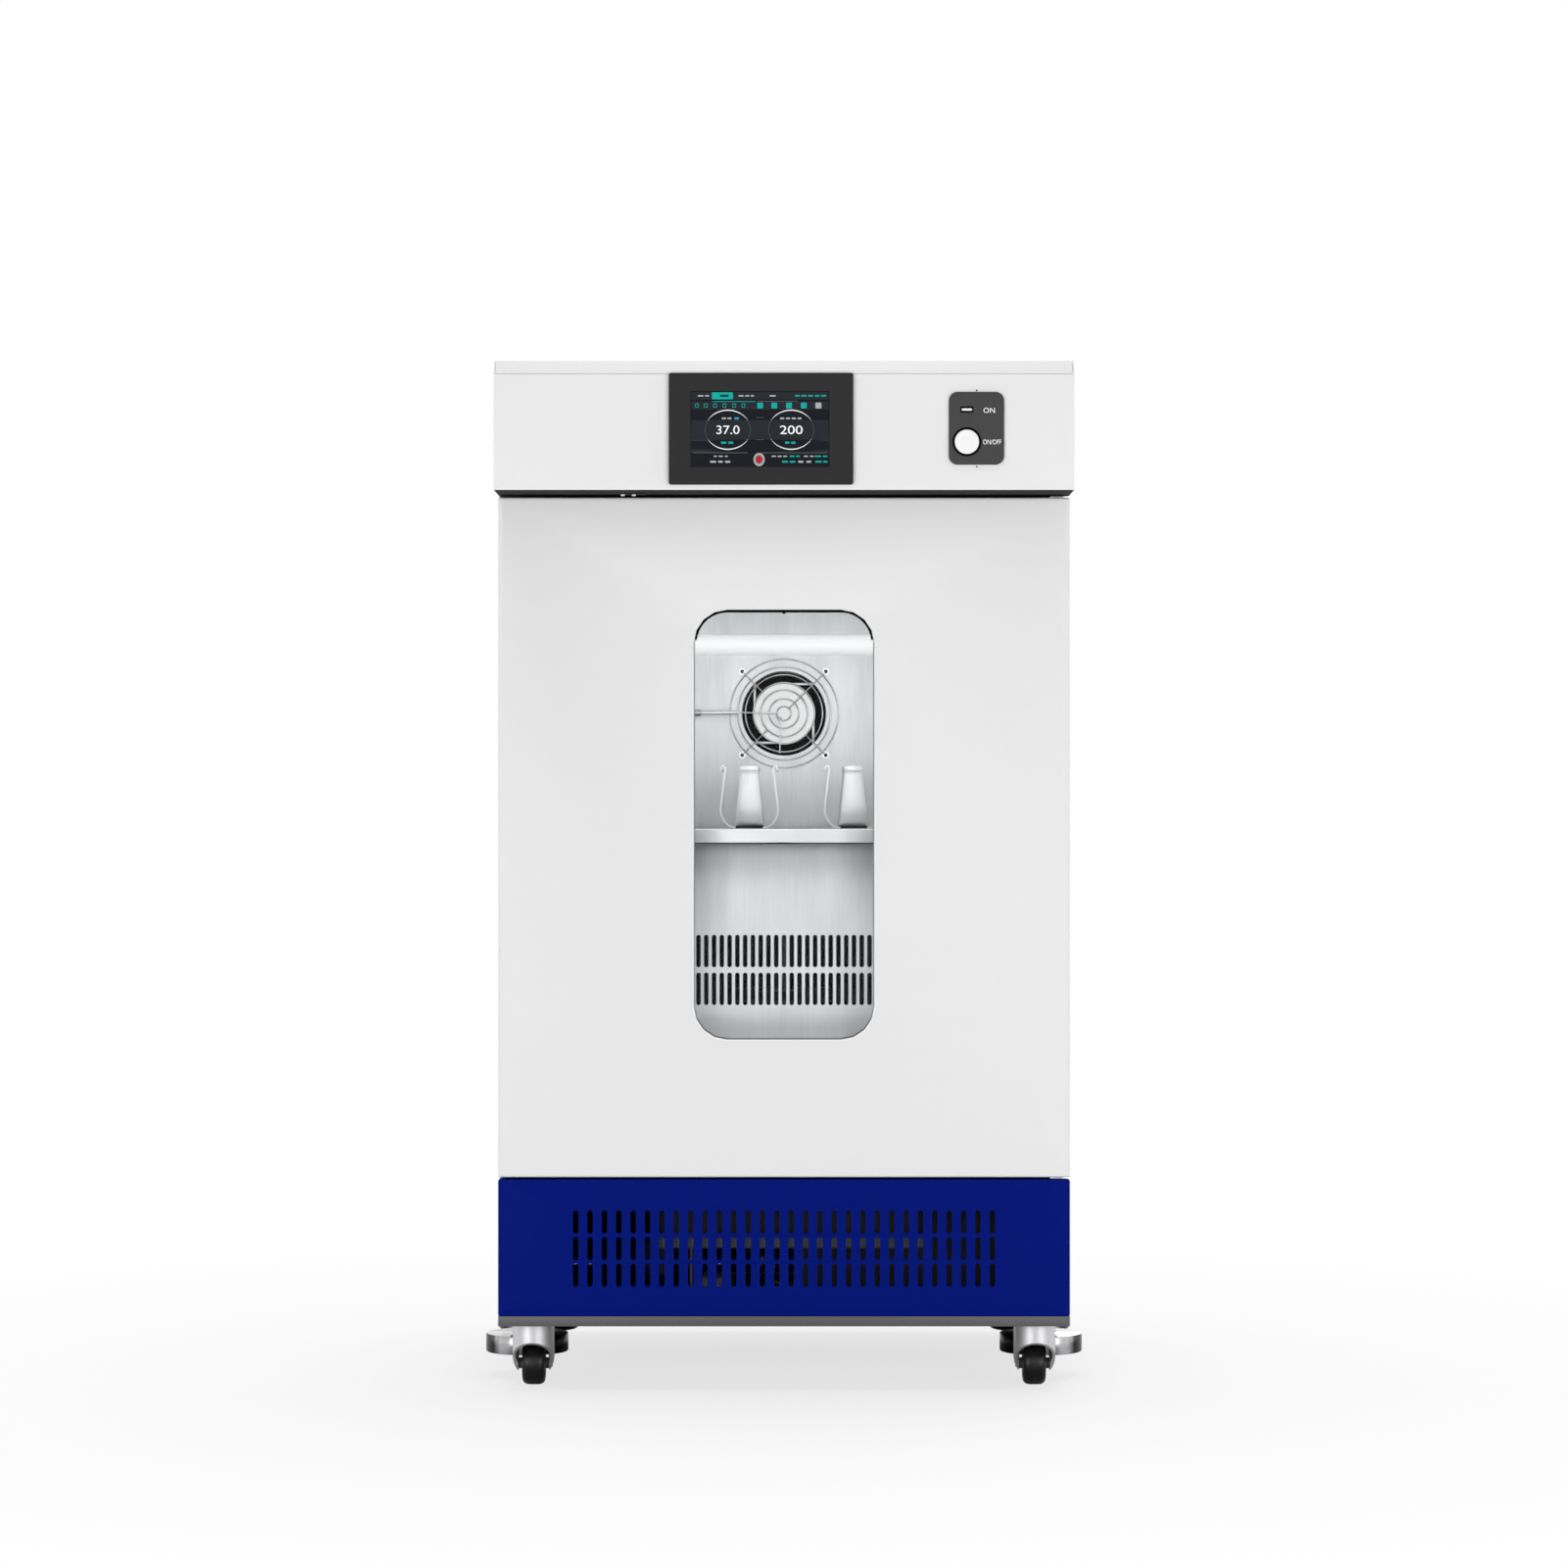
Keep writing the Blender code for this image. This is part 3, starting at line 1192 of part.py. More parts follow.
def build_fan():
    """The circulation fan behind the baffle, its wire guard, the heater and the probe."""
    half = FAN_SIZE / 2
    middle = (0, FAN_HEIGHT)
    frame_outline = [
        rounded_rectangle(middle, FAN_SIZE, FAN_SIZE, FAN_STRUT, 2),
        circle(middle, FAN_BORE, 24),
    ]
    frame = plate("fan_frame", frame_outline, FAN_Y, FAN_Y + FAN_DEPTH, "y")
    stator_back = FAN_Y + FAN_STRUT
    arms = []
    for number in range(4):
        turn = Matrix.Rotation(math.radians(90 * number + 20), 3, "Y")
        start = turn @ Vector((FAN_HUB * 0.85, 0, -FAN_STRUT))
        end = turn @ Vector((FAN_BORE + FAN_STRUT / 4, 0, -FAN_STRUT - FAN_STRUT / 2))
        lift = Vector((0, FAN_Y + FAN_STRUT / 2, FAN_HEIGHT))
        arms.append((start + lift, end + lift, FAN_STRUT / 4))
    join(frame, rods("fan_frame_struts", arms, 6))
    stator = ((0, FAN_Y, FAN_HEIGHT), (0, stator_back, FAN_HEIGHT), FAN_HUB)
    join(frame, rods("fan_frame_stator", [stator], 18))
    finish(frame, "black_plastic")

    rotor_y = stator_back + FIT
    rotor_depth = FAN_DEPTH - FAN_STRUT - 2 * SHEET
    axis = (0, rotor_y, FAN_HEIGHT)
    rotor = fan_wheel(
        "fan_rotor",
        FAN_HUB - SHEET,
        FAN_BORE - FAN_BLADE_GAP,
        rotor_depth,
        7,
        axis,
    )
    finish(rotor, "black_plastic", axis, pivot("fan_axis", axis))

    guard_y = BAFFLE_Y - FIT - GUARD_STANDOFF
    bm = bmesh.new()
    hub_front = guard_y - GUARD_WIRE / 2
    rod_into(bm, (0, hub_front, FAN_HEIGHT), (0, guard_y + 2 * GUARD_WIRE, FAN_HEIGHT), 3 * GUARD_WIRE, 8)
    guard = add_object("fan_guard", to_mesh("fan_guard", bm))
    wires = []
    reach = FAN_SCREW_PITCH / 2
    spoke_shift = 0.7 * GUARD_WIRE
    for side in (-1, 1):
        start = (-reach, guard_y + spoke_shift, FAN_HEIGHT - side * reach)
        end = (reach, guard_y + spoke_shift, FAN_HEIGHT + side * reach)
        wires.append((start, end, GUARD_WIRE))
    join(guard, rods("fan_guard_spoke", [wires[0]], 4))
    join(guard, rods("fan_guard_cross_spoke", [wires[1]], 4))
    feet = []
    for side_x in (-1, 1):
        for side_z in (-1, 1):
            x = side_x * reach
            z = FAN_HEIGHT + side_z * reach
            feet.append(((x, guard_y - 2 * GUARD_WIRE, z), (x, BAFFLE_Y - FIT, z), 3 * GUARD_WIRE))
    join(guard, rods("fan_guard_feet", feet, 6))
    rings = bmesh.new()
    for radius in GUARD_RINGS:
        steps = 8 if radius < FAN_HUB / 2 else 14
        profile = [
            (radius + GUARD_WIRE, 0),
            (radius, -GUARD_WIRE),
            (radius - GUARD_WIRE, 0),
            (radius, GUARD_WIRE),
        ]
        place = Matrix.Translation((0, guard_y, FAN_HEIGHT)) @ Matrix.Rotation(math.radians(90), 4, "X")
        place = place @ Matrix.Rotation(math.pi / steps, 4, "Z")
        ring = turned("fan_guard_ring", profile, steps, place)
        rings.from_mesh(ring.data)
        bpy.data.objects.remove(ring)
    join(guard, add_object("fan_guard_rings", to_mesh("fan_guard_rings", rings)))
    finish(guard, "bright_steel")

    heater_y = BAFFLE_BACK + FIT + HEATER_TUBE
    path = []
    for x, z in arc((0, FAN_HEIGHT), HEATER_RADIUS, 100, 440, 22):
        path.append((x, heater_y, z))
    tail = HEATER_RADIUS + 4 * HEATER_TUBE
    path.insert(0, (path[0][0], heater_y, FAN_HEIGHT + tail))
    path.append((path[-1][0], heater_y, FAN_HEIGHT + tail))
    finish(wire("heater_element", path, HEATER_TUBE, 1), "zinc")

    probe_y = BAFFLE_Y - PROBE_SETBACK
    wall = CHAMBER_WIDTH / 2 - FIT
    tip = 4 * PROBE_RADIUS
    run = [(-wall, probe_y, FAN_HEIGHT), (-tip - PROBE_RADIUS, probe_y, FAN_HEIGHT)]
    run += [(-tip, probe_y, FAN_HEIGHT - PROBE_RADIUS), (-tip, probe_y, FAN_HEIGHT - PROBE_DROP)]
    probe = wire("sensor_probe", run, PROBE_RADIUS, 1)
    collar = ((-wall, probe_y, FAN_HEIGHT), (-wall + 3 * PROBE_RADIUS, probe_y, FAN_HEIGHT), PROBE_COLLAR)
    join(probe, rods("sensor_probe_collar", [collar], 12))
    finish(probe, "bright_steel")


# shaker
SHAFTS = {
    "main_crank": (CRANK_X, CRANK_Y, SHAFT_RADIUS, PIN_RADIUS),
    "idler_crank_left": (-IDLER_SPREAD, IDLER_Y, IDLER_SHAFT_RADIUS, IDLER_PIN_RADIUS),
    "idler_crank_right": (IDLER_SPREAD, IDLER_Y, IDLER_SHAFT_RADIUS, IDLER_PIN_RADIUS),
}


def build_drive_housing():
    """The slotted steel cover over the drive, and the plate that carries its bearings."""
    front = HOUSING_Y
    back = HOUSING_Y + HOUSING_DEPTH
    floor = CHAMBER_FLOOR + FIT
    housing = shell(
        "drive_housing",
        (-HOUSING_WIDTH / 2, HOUSING_WIDTH / 2),
        (front, back),
        (floor, HOUSING_TOP),
        ("-z",),
        SHEET,
    )
    vents = plate(
        "drive_vent",
        [slot((0, 0), VENT_WIDTH, VENT_HEIGHT)],
        front - SHEET,
        front + 2 * SHEET,
        "y",
    )
    first = -VENT_PITCH * (VENT_COLUMNS - 1) / 2
    vents.data.transform(Matrix.Translation((first, 0, VENT_LOWER)))
    for label, count, step in (
        ("columns", VENT_COLUMNS, (VENT_PITCH, 0, 0)),
        ("rows", 2, (0, 0, VENT_ROW_PITCH)),
    ):
        pattern = vents.modifiers.new(label, "ARRAY")
        pattern.count = count
        pattern.use_relative_offset = False
        pattern.use_constant_offset = True
        pattern.constant_offset_displace = step
    cut(housing, bake(vents))
    holes = []
    for x, y, shaft, _ in SHAFTS.values():
        low = (x, y, HOUSING_TOP - 2 * SHEET)
        holes.append((low, (x, y, HOUSING_TOP + SHEET), shaft + 2 * SHEET))
    cut(housing, bores("drive_housing_holes", holes, 16))
    finish(housing, "stainless")

    middle_y = (front + back) / 2
    plate_y = (middle_y - PLATE_DEPTH / 2, middle_y + PLATE_DEPTH / 2)
    half = PLATE_WIDTH / 2
    carrier = box("drive_plate", (-half, half), plate_y, (PLATE_HEIGHT, PLATE_TOP))
    posts = []
    bosses = []
    seats = []
    for x in (-half + POST_RADIUS, half - POST_RADIUS):
        for y in (plate_y[0] + POST_RADIUS, plate_y[1] - POST_RADIUS):
            posts.append(((x, y, floor), (x, y, PLATE_TOP - SHEET), POST_RADIUS - SHEET))
    for x, y, shaft, _ in SHAFTS.values():
        bosses.append(((x, y, BEARING_BOTTOM), (x, y, BEARING_TOP), shaft + BEARING_WALL))
        low = (x, y, BEARING_BOTTOM - SHEET)
        seats.append((low, (x, y, BEARING_TOP + SHEET), shaft + FIT))
    join(carrier, rods("drive_plate_posts", posts, 6))
    join(carrier, rods("drive_plate_bosses", bosses, 12))
    cut(carrier, bores("drive_plate_bores", seats, 12))
    finish(carrier, "aluminium")


def build_motor():
    """The drive motor, its pulley and the belt."""
    motor_top = PLATE_HEIGHT - FIT
    motor_low = motor_top - MOTOR_HEIGHT
    round_off = 4 * SHEET
    bore = MOTOR_SHAFT_RADIUS + FIT
    shaft_top = motor_low + 2 * BELT_WIDTH
    profile = [
        (0, motor_top),
        (MOTOR_RADIUS, motor_top),
        (MOTOR_RADIUS, motor_low + round_off),
        (MOTOR_RADIUS - round_off, motor_low),
        (bore, motor_low),
        (bore, shaft_top + FIT),
        (0, shaft_top + FIT),
    ]
    center = (MOTOR_X, CRANK_Y, 0)
    motor = turned("drive_motor", profile, 16, Matrix.Translation(center))
    finish(motor, "frame_paint")

    flange = MOTOR_PULLEY + PULLEY_FLANGE
    half = BELT_WIDTH / 2 + FIT
    top = BELT_HEIGHT + half + PULLEY_RIM
    low = BELT_HEIGHT - half - PULLEY_RIM
    profile = [
        (0, shaft_top),
        (MOTOR_SHAFT_RADIUS, shaft_top),
        (MOTOR_SHAFT_RADIUS, top),
        (flange, top),
        (flange, BELT_HEIGHT + half),
        (MOTOR_PULLEY, BELT_HEIGHT + half),
        (MOTOR_PULLEY, BELT_HEIGHT - half),
        (flange, BELT_HEIGHT - half),
        (flange, low),
        (0, low),
    ]
    pulley = turned("motor_pulley", profile, 16, Matrix.Translation(center))
    axis = (MOTOR_X, CRANK_Y, BELT_HEIGHT)
    finish(pulley, "aluminium", axis, pivot("motor_axis", axis))

    inner = [
        loop_round_two(
            (CRANK_X, CRANK_Y),
            DRIVEN_PULLEY + FIT + extra,
            (MOTOR_X, CRANK_Y),
            MOTOR_PULLEY + FIT + extra,
            10,
        )
        for extra in (BELT_THICKNESS, 0)
    ]
    belt_z = (BELT_HEIGHT - BELT_WIDTH / 2, BELT_HEIGHT + BELT_WIDTH / 2)
    finish(plate("drive_belt", inner, *belt_z), "rubber")


def crank(name, profile, counterweight, counter_shift):
    """A crank shaft with a weighted web and a pin that carries the platform."""
    x, y, shaft, pin = SHAFTS[name]
    piece = turned(name, profile, 16, Matrix.Translation((x, y, 0)))
    web_outline = loop_round_two(
        (x, y + counter_shift),
        counterweight,
        (x, y - ORBIT_RADIUS),
        pin + 2 * SHEET,
    )
    join(piece, plate(name + "_web", [web_outline], WEB_Z, PIN_Z))
    pin_y = y - ORBIT_RADIUS
    start = (x, pin_y, WEB_Z + WEB_THICKNESS / 2)
    join(piece, rods(name + "_pin", [(start, (x, pin_y, PIN_Z + PIN_LENGTH), pin)], 12))
    axis = (x, y, WEB_Z)
    return finish(piece, "zinc", axis, pivot(name + "_axis", axis))


def build_cranks():
    """The driven crank with its pulley, and the two idlers that keep the platform square."""
    shaft_top = WEB_Z + WEB_THICKNESS / 2
    half = BELT_WIDTH / 2 + FIT
    flange = DRIVEN_PULLEY + PULLEY_FLANGE
    low = BELT_HEIGHT - half - PULLEY_RIM
    profile = [
        (0, shaft_top),
        (SHAFT_RADIUS, shaft_top),
        (SHAFT_RADIUS, BELT_HEIGHT + half + PULLEY_RIM),
        (flange, BELT_HEIGHT + half + PULLEY_RIM),
        (flange, BELT_HEIGHT + half),
        (DRIVEN_PULLEY, BELT_HEIGHT + half),
        (DRIVEN_PULLEY, BELT_HEIGHT - half),
        (flange, BELT_HEIGHT - half),
        (flange, low),
        (SHAFT_RADIUS, low),
        (SHAFT_RADIUS, SHAFT_BOTTOM),
        (0, SHAFT_BOTTOM),
    ]
    crank("main_crank", profile, MAIN_WEIGHT, MAIN_WEIGHT_SHIFT)
    profile = [
        (0, shaft_top),
        (IDLER_SHAFT_RADIUS, shaft_top),
        (IDLER_SHAFT_RADIUS, IDLER_SHAFT_BOTTOM),
        (0, IDLER_SHAFT_BOTTOM),
    ]
    for side in ("left", "right"):
        crank("idler_crank_" + side, profile, IDLER_WEIGHT, IDLER_WEIGHT_SHIFT)


def build_platform():
    """The shaking platform, a tray turned lip down, with a hub for each crank pin."""
    low = PLATFORM_TOP - PLATFORM_LIP
    y_range = (PLATFORM_Y - PLATFORM_DEPTH / 2, PLATFORM_Y + PLATFORM_DEPTH / 2)
    platform = shell(
        "platform",
        (-PLATFORM_WIDTH / 2, PLATFORM_WIDTH / 2),
        y_range,
        (low, PLATFORM_TOP),
        ("-z",),
        PLATFORM_SHEET,
        corner=0.006,
    )
    hubs = []
    seats = []
    hub_low = PIN_Z + WEB_CLEARANCE
    for x, y, _, pin in SHAFTS.values():
        pin_y = y - ORBIT_RADIUS
        hub_top = PLATFORM_TOP - PLATFORM_SHEET / 2
        hubs.append(((x, pin_y, hub_low), (x, pin_y, hub_top), pin + HUB_WALL))
        bore_top = PIN_Z + PIN_LENGTH + FIT
        seats.append(((x, pin_y, hub_low - SHEET), (x, pin_y, bore_top), pin + FIT))
    join(platform, rods("platform_hubs", hubs, 12))
    cut(platform, bores("platform_bores", seats, 12))
    orbit = pivot("platform_pin", (CRANK_X, CRANK_Y - ORBIT_RADIUS, PIN_Z))
    finish(platform, "aluminium", (CRANK_X, CRANK_Y - ORBIT_RADIUS, PIN_Z), orbit)
    return orbit


def clamp_mesh():
    """One flask clamp: a cross of sheet with four arms sprung inward at the top."""
    half_foot = CLAMP_ARM_FOOT / 2
    bm = bmesh.new()
    rise = CLAMP_HEIGHT - CLAMP_SHEET
    belly_rise = rise * 0.28
    path = [
        (CLAMP_FOOT + half_foot * 0.12, 0, 1.0),
        (CLAMP_FOOT + (CLAMP_BELLY - CLAMP_FOOT) * 0.75, belly_rise * 0.35, 1.0),
        (CLAMP_BELLY, belly_rise, 0.94),
        (CLAMP_BELLY - (CLAMP_BELLY - CLAMP_NECK) * 0.45, rise * 0.55, 0.5),
        (CLAMP_NECK, rise * 0.93, 0.05),
        (CLAMP_NECK + 2 * CLAMP_SHEET, rise, 0.0),
    ]
    corners = [bm.verts.new((u, v, 0)) for u, v in rectangle((0, 0), CLAMP_ARM_FOOT, CLAMP_ARM_FOOT)]
    bm.faces.new(corners)
    for number in range(4):
        right = corners[(number + 1) % 4]
        left = corners[number]
        turn = Matrix.Rotation(math.radians(90 * number - 90), 3, "Z")
        last = (left, right)
        for reach, height, share in path:
            wide = CLAMP_ARM_TOP + (CLAMP_ARM_FOOT - CLAMP_ARM_TOP) * share
            pair = []
            for side in (-1, 1):
                pair.append(bm.verts.new(turn @ Vector((reach, side * wide / 2, height))))
            bm.faces.new((last[0], pair[0], pair[1], last[1]))
            last = tuple(pair)
    bmesh.ops.recalc_face_normals(bm, faces=bm.faces)
    base = min(bm.faces, key=lambda f: f.calc_center_median().length)
    if base.normal.z > 0:
        bmesh.ops.reverse_faces(bm, faces=bm.faces)
    mesh = bpy.data.meshes.new("flask_clamp")
    bm.to_mesh(mesh)
    bm.free()
    smooth(mesh)
    return mesh


def build_clamps(orbit):
    """The flask clamps, in rows on the platform's grid of holes."""
    column_names = ("left", "middle", "right")
    row_names = ("front", "rear")
    for row in range(CLAMP_ROWS):
        for column, hole in enumerate(CLAMP_COLUMNS):
            name = "flask_clamp_%s_%s" % (row_names[row], column_names[column])
            clamp = add_object(name, clamp_mesh())
            thicken(clamp, CLAMP_SHEET)
            through = 4 * CLAMP_SHEET
            screw = rods(name + "_hole", [((0, 0, -through), (0, 0, through), CLAMP_SCREW)], 6)
            cut(clamp, screw)
            bake(clamp)
            y = CLAMP_FRONT_ROW + row * CLAMP_ROW_PITCH * HOLE_PITCH
            clamp.location = (hole * HOLE_PITCH, y, PLATFORM_TOP + FIT)
            finish(clamp, "bright_steel", None, orbit)


# cooling machine
def build_cooling():
    """The compressor, and the condenser with its fan, behind the grille panel."""
    floor = MACHINE_FLOOR
    radius = COMPRESSOR_RADIUS
    top = floor + COMPRESSOR_HEIGHT
    seam = floor + COMPRESSOR_HEIGHT * 0.45
    profile = [(0, top)]
    for share, fall in arc((0, 0), 1, 68, 22, 2):
        profile.append((radius * share, top - radius * 0.5 * (1 - fall)))
    profile += [
        (radius, seam + 3 * SHEET),
        (radius + 2 * SHEET, seam),
        (radius, seam - 2 * SHEET),
        (radius, floor + radius * 0.35),
        (radius * 0.8, floor + 3 * SHEET),
        (0, floor + 3 * SHEET),
    ]
    place = Matrix.Translation((COMPRESSOR_X, COMPRESSOR_Y, 0))
    compressor = turned("compressor", profile, 18, place)
    sole = box(
        "compressor_sole",
        (COMPRESSOR_X - 1.25 * radius, COMPRESSOR_X + 1.25 * radius),
        (COMPRESSOR_Y - radius, COMPRESSOR_Y + radius),
        (floor, floor + 4 * SHEET),
    )
    join(compressor, sole)
    finish(compressor, "black_plastic")

    half = CONDENSER_WIDTH / 2
    x_range = (CONDENSER_X - half, CONDENSER_X + half)
    z_range = (floor, floor + CONDENSER_HEIGHT)
    core_back = CONDENSER_Y + CONDENSER_CORE
    shroud_back = core_back + CONDENSER_SHROUD
    condenser = box("condenser", x_range, (CONDENSER_Y, shroud_back), z_range)
    middle_z = sum(z_range) / 2
    bore = COOLER_FAN_RADIUS + COOLER_TIP_GAP
    well = ((CONDENSER_X, core_back, middle_z), (CONDENSER_X, shroud_back + bore, middle_z), bore)
    cut(condenser, rods("condenser_well", [well], 20))
    fins = []
    for number in range(FIN_COUNT):
        x = CONDENSER_X + (number - (FIN_COUNT - 1) / 2) * FIN_PITCH
        fins.append((
            (x - FIN_THICKNESS / 2, x + FIN_THICKNESS / 2),
            (CONDENSER_Y - FIN_DEPTH, CONDENSER_Y + SHEET),
            (z_range[0] + 2 * SHEET, z_range[1] - 2 * SHEET),
        ))
    join(condenser, boxes("condenser_fins", fins))
    hub = ((CONDENSER_X, core_back - SHEET, middle_z), (CONDENSER_X, core_back + FAN_STRUT, middle_z))
    join(condenser, rods("condenser_motor", [(*hub, COOLER_FAN_HUB)], 16))
    finish(condenser, "aluminium")

    axis = (CONDENSER_X, core_back + FAN_STRUT + FIT, middle_z)
    depth = CONDENSER_SHROUD - FAN_STRUT - SHEET
    cooler = fan_wheel("condenser_fan", COOLER_FAN_HUB, COOLER_FAN_RADIUS, depth, 5, axis)
    finish(cooler, "dark_plastic", axis, pivot("condenser_fan_axis", axis))


# casters and feet
def build_casters():
    """The four swivel casters, each a fork with its axle and a wheel."""
    half = FORK_WIDTH / 2
    slot_half = WHEEL_WIDTH / 2 + FORK_CLEARANCE
    fork_top = BASE_HEIGHT - FIT
    for name, (x, y, inward) in CASTER_PLACES.items():
        axle_y = y + CASTER_TRAIL * inward
        boss = WHEEL_RADIUS * 0.36
        side = [
            (y - inward * half, fork_top),
            (y - inward * half, fork_top - boss),
        ]
        low = arc((axle_y, WHEEL_RADIUS), boss, 180 + 25, 360, 5)
        if inward < 0:
            low = [(2 * axle_y - v, z) for v, z in low]
        side += low
        side.append((axle_y + inward * boss, fork_top - boss))
        side.append((axle_y, fork_top))
        fork = plate("caster_fork_" + name, [side], x - half, x + half, "x")
        top = WHEEL_RADIUS * 2 + FORK_CLEARANCE
        arch = [
            (x - slot_half, 0),
            (x + slot_half, 0),
            (x + slot_half, top - 2 * SHEET),
            (x + slot_half - 2 * SHEET, top + FORK_CLEARANCE),
            (x - slot_half + 2 * SHEET, top + FORK_CLEARANCE),
            (x - slot_half, top - 2 * SHEET),
        ]
        reach = 2 * FORK_WIDTH
        cut(fork, plate("caster_slot_" + name, [arch], y - reach, y + reach, "y"))
        depth = SWIVEL_PIN_LENGTH + FIT
        bore = ((x, y, BASE_HEIGHT - depth), (x, y, BASE_HEIGHT + depth), SWIVEL_PIN + FIT)
        cut(fork, bores("caster_bore_" + name, [bore], 12))
        axle = (
            (x - half + SHEET, axle_y, WHEEL_RADIUS),
            (x + half - SHEET, axle_y, WHEEL_RADIUS),
            AXLE_RADIUS,
        )
        join(fork, rods("caster_axle_" + name, [axle], 10))
        swivel = pivot("caster_swivel_" + name, (x, y, BASE_HEIGHT))
        finish(fork, "zinc")
        carry(fork, swivel)

        edge = WHEEL_WIDTH / 2
        profile = [
            (AXLE_RADIUS + FIT, edge),
            (WHEEL_HUB, edge),
            (WHEEL_RADIUS - TREAD, edge - TREAD / 2),
            (WHEEL_RADIUS, edge - TREAD),
            (WHEEL_RADIUS, TREAD - edge),
            (WHEEL_RADIUS - TREAD, TREAD / 2 - edge),
            (WHEEL_HUB, -edge),
            (AXLE_RADIUS + FIT, -edge),
        ]
        center = (x, axle_y, WHEEL_RADIUS)
        sideways = Matrix.Translation(center) @ Matrix.Rotation(math.radians(90), 4, "Y")
        wheel = turned("caster_wheel_" + name, profile, 18, sideways)
        axis = pivot("caster_axle_line_" + name, center)
        carry(axis, swivel)
        finish(wheel, "rubber", center, axis)


def build_feet():
    """The four levelling feet, wound up clear of the floor, each a pad on a screw."""
    pad_top = FOOT_BOTTOM + FOOT_THICKNESS
    edge = 2 * SHEET
    for name in CASTER_PLACES:
        x, y = foot_place(name)
        profile = [
            (0, FOOT_STEM_TOP),
            (FOOT_STEM, FOOT_STEM_TOP),
            (FOOT_STEM, pad_top + 2 * FOOT_STEM),
            (2 * FOOT_STEM, pad_top),
            (FOOT_RADIUS - edge, pad_top),
            (FOOT_RADIUS, pad_top - edge),
            (FOOT_RADIUS, FOOT_BOTTOM),
            (0, FOOT_BOTTOM),
        ]
        foot = turned("levelling_foot_" + name, profile, 16, Matrix.Translation((x, y, 0)))
        axis = (x, y, BASE_HEIGHT)
        finish(foot, "frame_paint", axis, pivot("foot_axis_" + name, axis))


build_base()
build_casing()
build_inlet()
build_grille()
build_head()
build_door()
build_hinges()
build_chamber()
build_fan()
build_drive_housing()
build_motor()
build_cranks()
build_clamps(build_platform())
build_cooling()
build_casters()
build_feet()
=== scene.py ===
"""The shaking incubator as it stands in a plain white studio.

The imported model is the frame, in metres, with +Z up and the front towards -Y.  Nodes keep
their place: each finer piece below is built where its node is and stands for it.
"""

import json
import math

import bmesh
import bpy
from mathutils import Matrix, Vector


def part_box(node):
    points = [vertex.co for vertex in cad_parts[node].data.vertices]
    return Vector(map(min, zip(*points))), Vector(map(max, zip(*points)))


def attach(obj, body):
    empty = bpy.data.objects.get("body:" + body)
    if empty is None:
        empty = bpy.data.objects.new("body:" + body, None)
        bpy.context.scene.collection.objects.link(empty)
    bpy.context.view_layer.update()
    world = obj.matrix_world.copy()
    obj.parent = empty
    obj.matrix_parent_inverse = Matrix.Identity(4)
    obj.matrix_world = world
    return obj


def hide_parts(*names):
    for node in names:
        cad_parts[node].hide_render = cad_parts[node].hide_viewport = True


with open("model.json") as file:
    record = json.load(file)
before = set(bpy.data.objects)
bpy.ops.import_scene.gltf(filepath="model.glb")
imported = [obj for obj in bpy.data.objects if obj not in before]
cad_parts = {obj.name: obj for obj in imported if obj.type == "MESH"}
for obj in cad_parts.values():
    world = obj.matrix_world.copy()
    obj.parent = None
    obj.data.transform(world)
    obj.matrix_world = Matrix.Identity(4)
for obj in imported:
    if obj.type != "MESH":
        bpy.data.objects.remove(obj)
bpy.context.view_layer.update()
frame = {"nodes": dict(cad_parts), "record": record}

# planes and lines that the front is laid out on
HEAD_Y = -0.3365
DOOR_Y = -0.2595
REAR_Y = 0.3405
HEAD_Z = 1.035
BAFFLE_Y = 0.189
FAN_CENTRE = Vector((0.0, BAFFLE_Y, 0.795))
WINDOW_TOP_BEND = 0.868
WINDOW_Z = (0.4068 + 0.9028) / 2
BEAD_WIDTH, BEAD_HEIGHT, BEAD_CORNER = 0.2078, 0.4958, 0.0384
HOLE_PITCH = 0.041
HOLE_SHIFT = 0.002


# node groups
def new_group(name, inputs, outputs):
    """An empty shader group with its sockets, and its two end nodes."""
    group = bpy.data.node_groups.new(name, "ShaderNodeTree")
    kinds = {"C": "NodeSocketColor", "F": "NodeSocketFloat", "V": "NodeSocketVector"}
    for label, kind, value in inputs:
        socket = group.interface.new_socket(label, in_out="INPUT", socket_type=kinds[kind])
        if value is not None:
            socket.default_value = value
    for label, kind in outputs:
        group.interface.new_socket(label, in_out="OUTPUT", socket_type=kinds[kind])
    start = group.nodes.new("NodeGroupInput")
    end = group.nodes.new("NodeGroupOutput")
    return group, start.outputs, end.inputs


def sum_of(tree, operation, *values):
    """A Math node on sockets and numbers, as its output socket."""
    made = tree.nodes.new("ShaderNodeMath")
    made.operation = operation
    for place, value in enumerate(values):
        if isinstance(value, (int, float)):
            made.inputs[place].default_value = value
        else:
            tree.links.new(value, made.inputs[place])
    return made.outputs[0]


def noise(tree, vector, scale, detail=2.0, roughness=0.5):
    """A noise texture's value on a vector socket."""
    made = tree.nodes.new("ShaderNodeTexNoise")
    made.inputs["Detail"].default_value = detail
    made.inputs["Roughness"].default_value = roughness
    tree.links.new(vector, made.inputs["Vector"])
    if isinstance(scale, (int, float)):
        made.inputs["Scale"].default_value = scale
    else:
        tree.links.new(scale, made.inputs["Scale"])
    return made.outputs[0]


def shaded(tree, colour, factor):
    """The colour socket made lighter or darker by a value round 1."""
    made = tree.nodes.new("ShaderNodeVectorMath")
    made.operation = "SCALE"
    tree.links.new(colour, made.inputs[0])
    tree.links.new(factor, made.inputs["Scale"])
    return made.outputs[0]


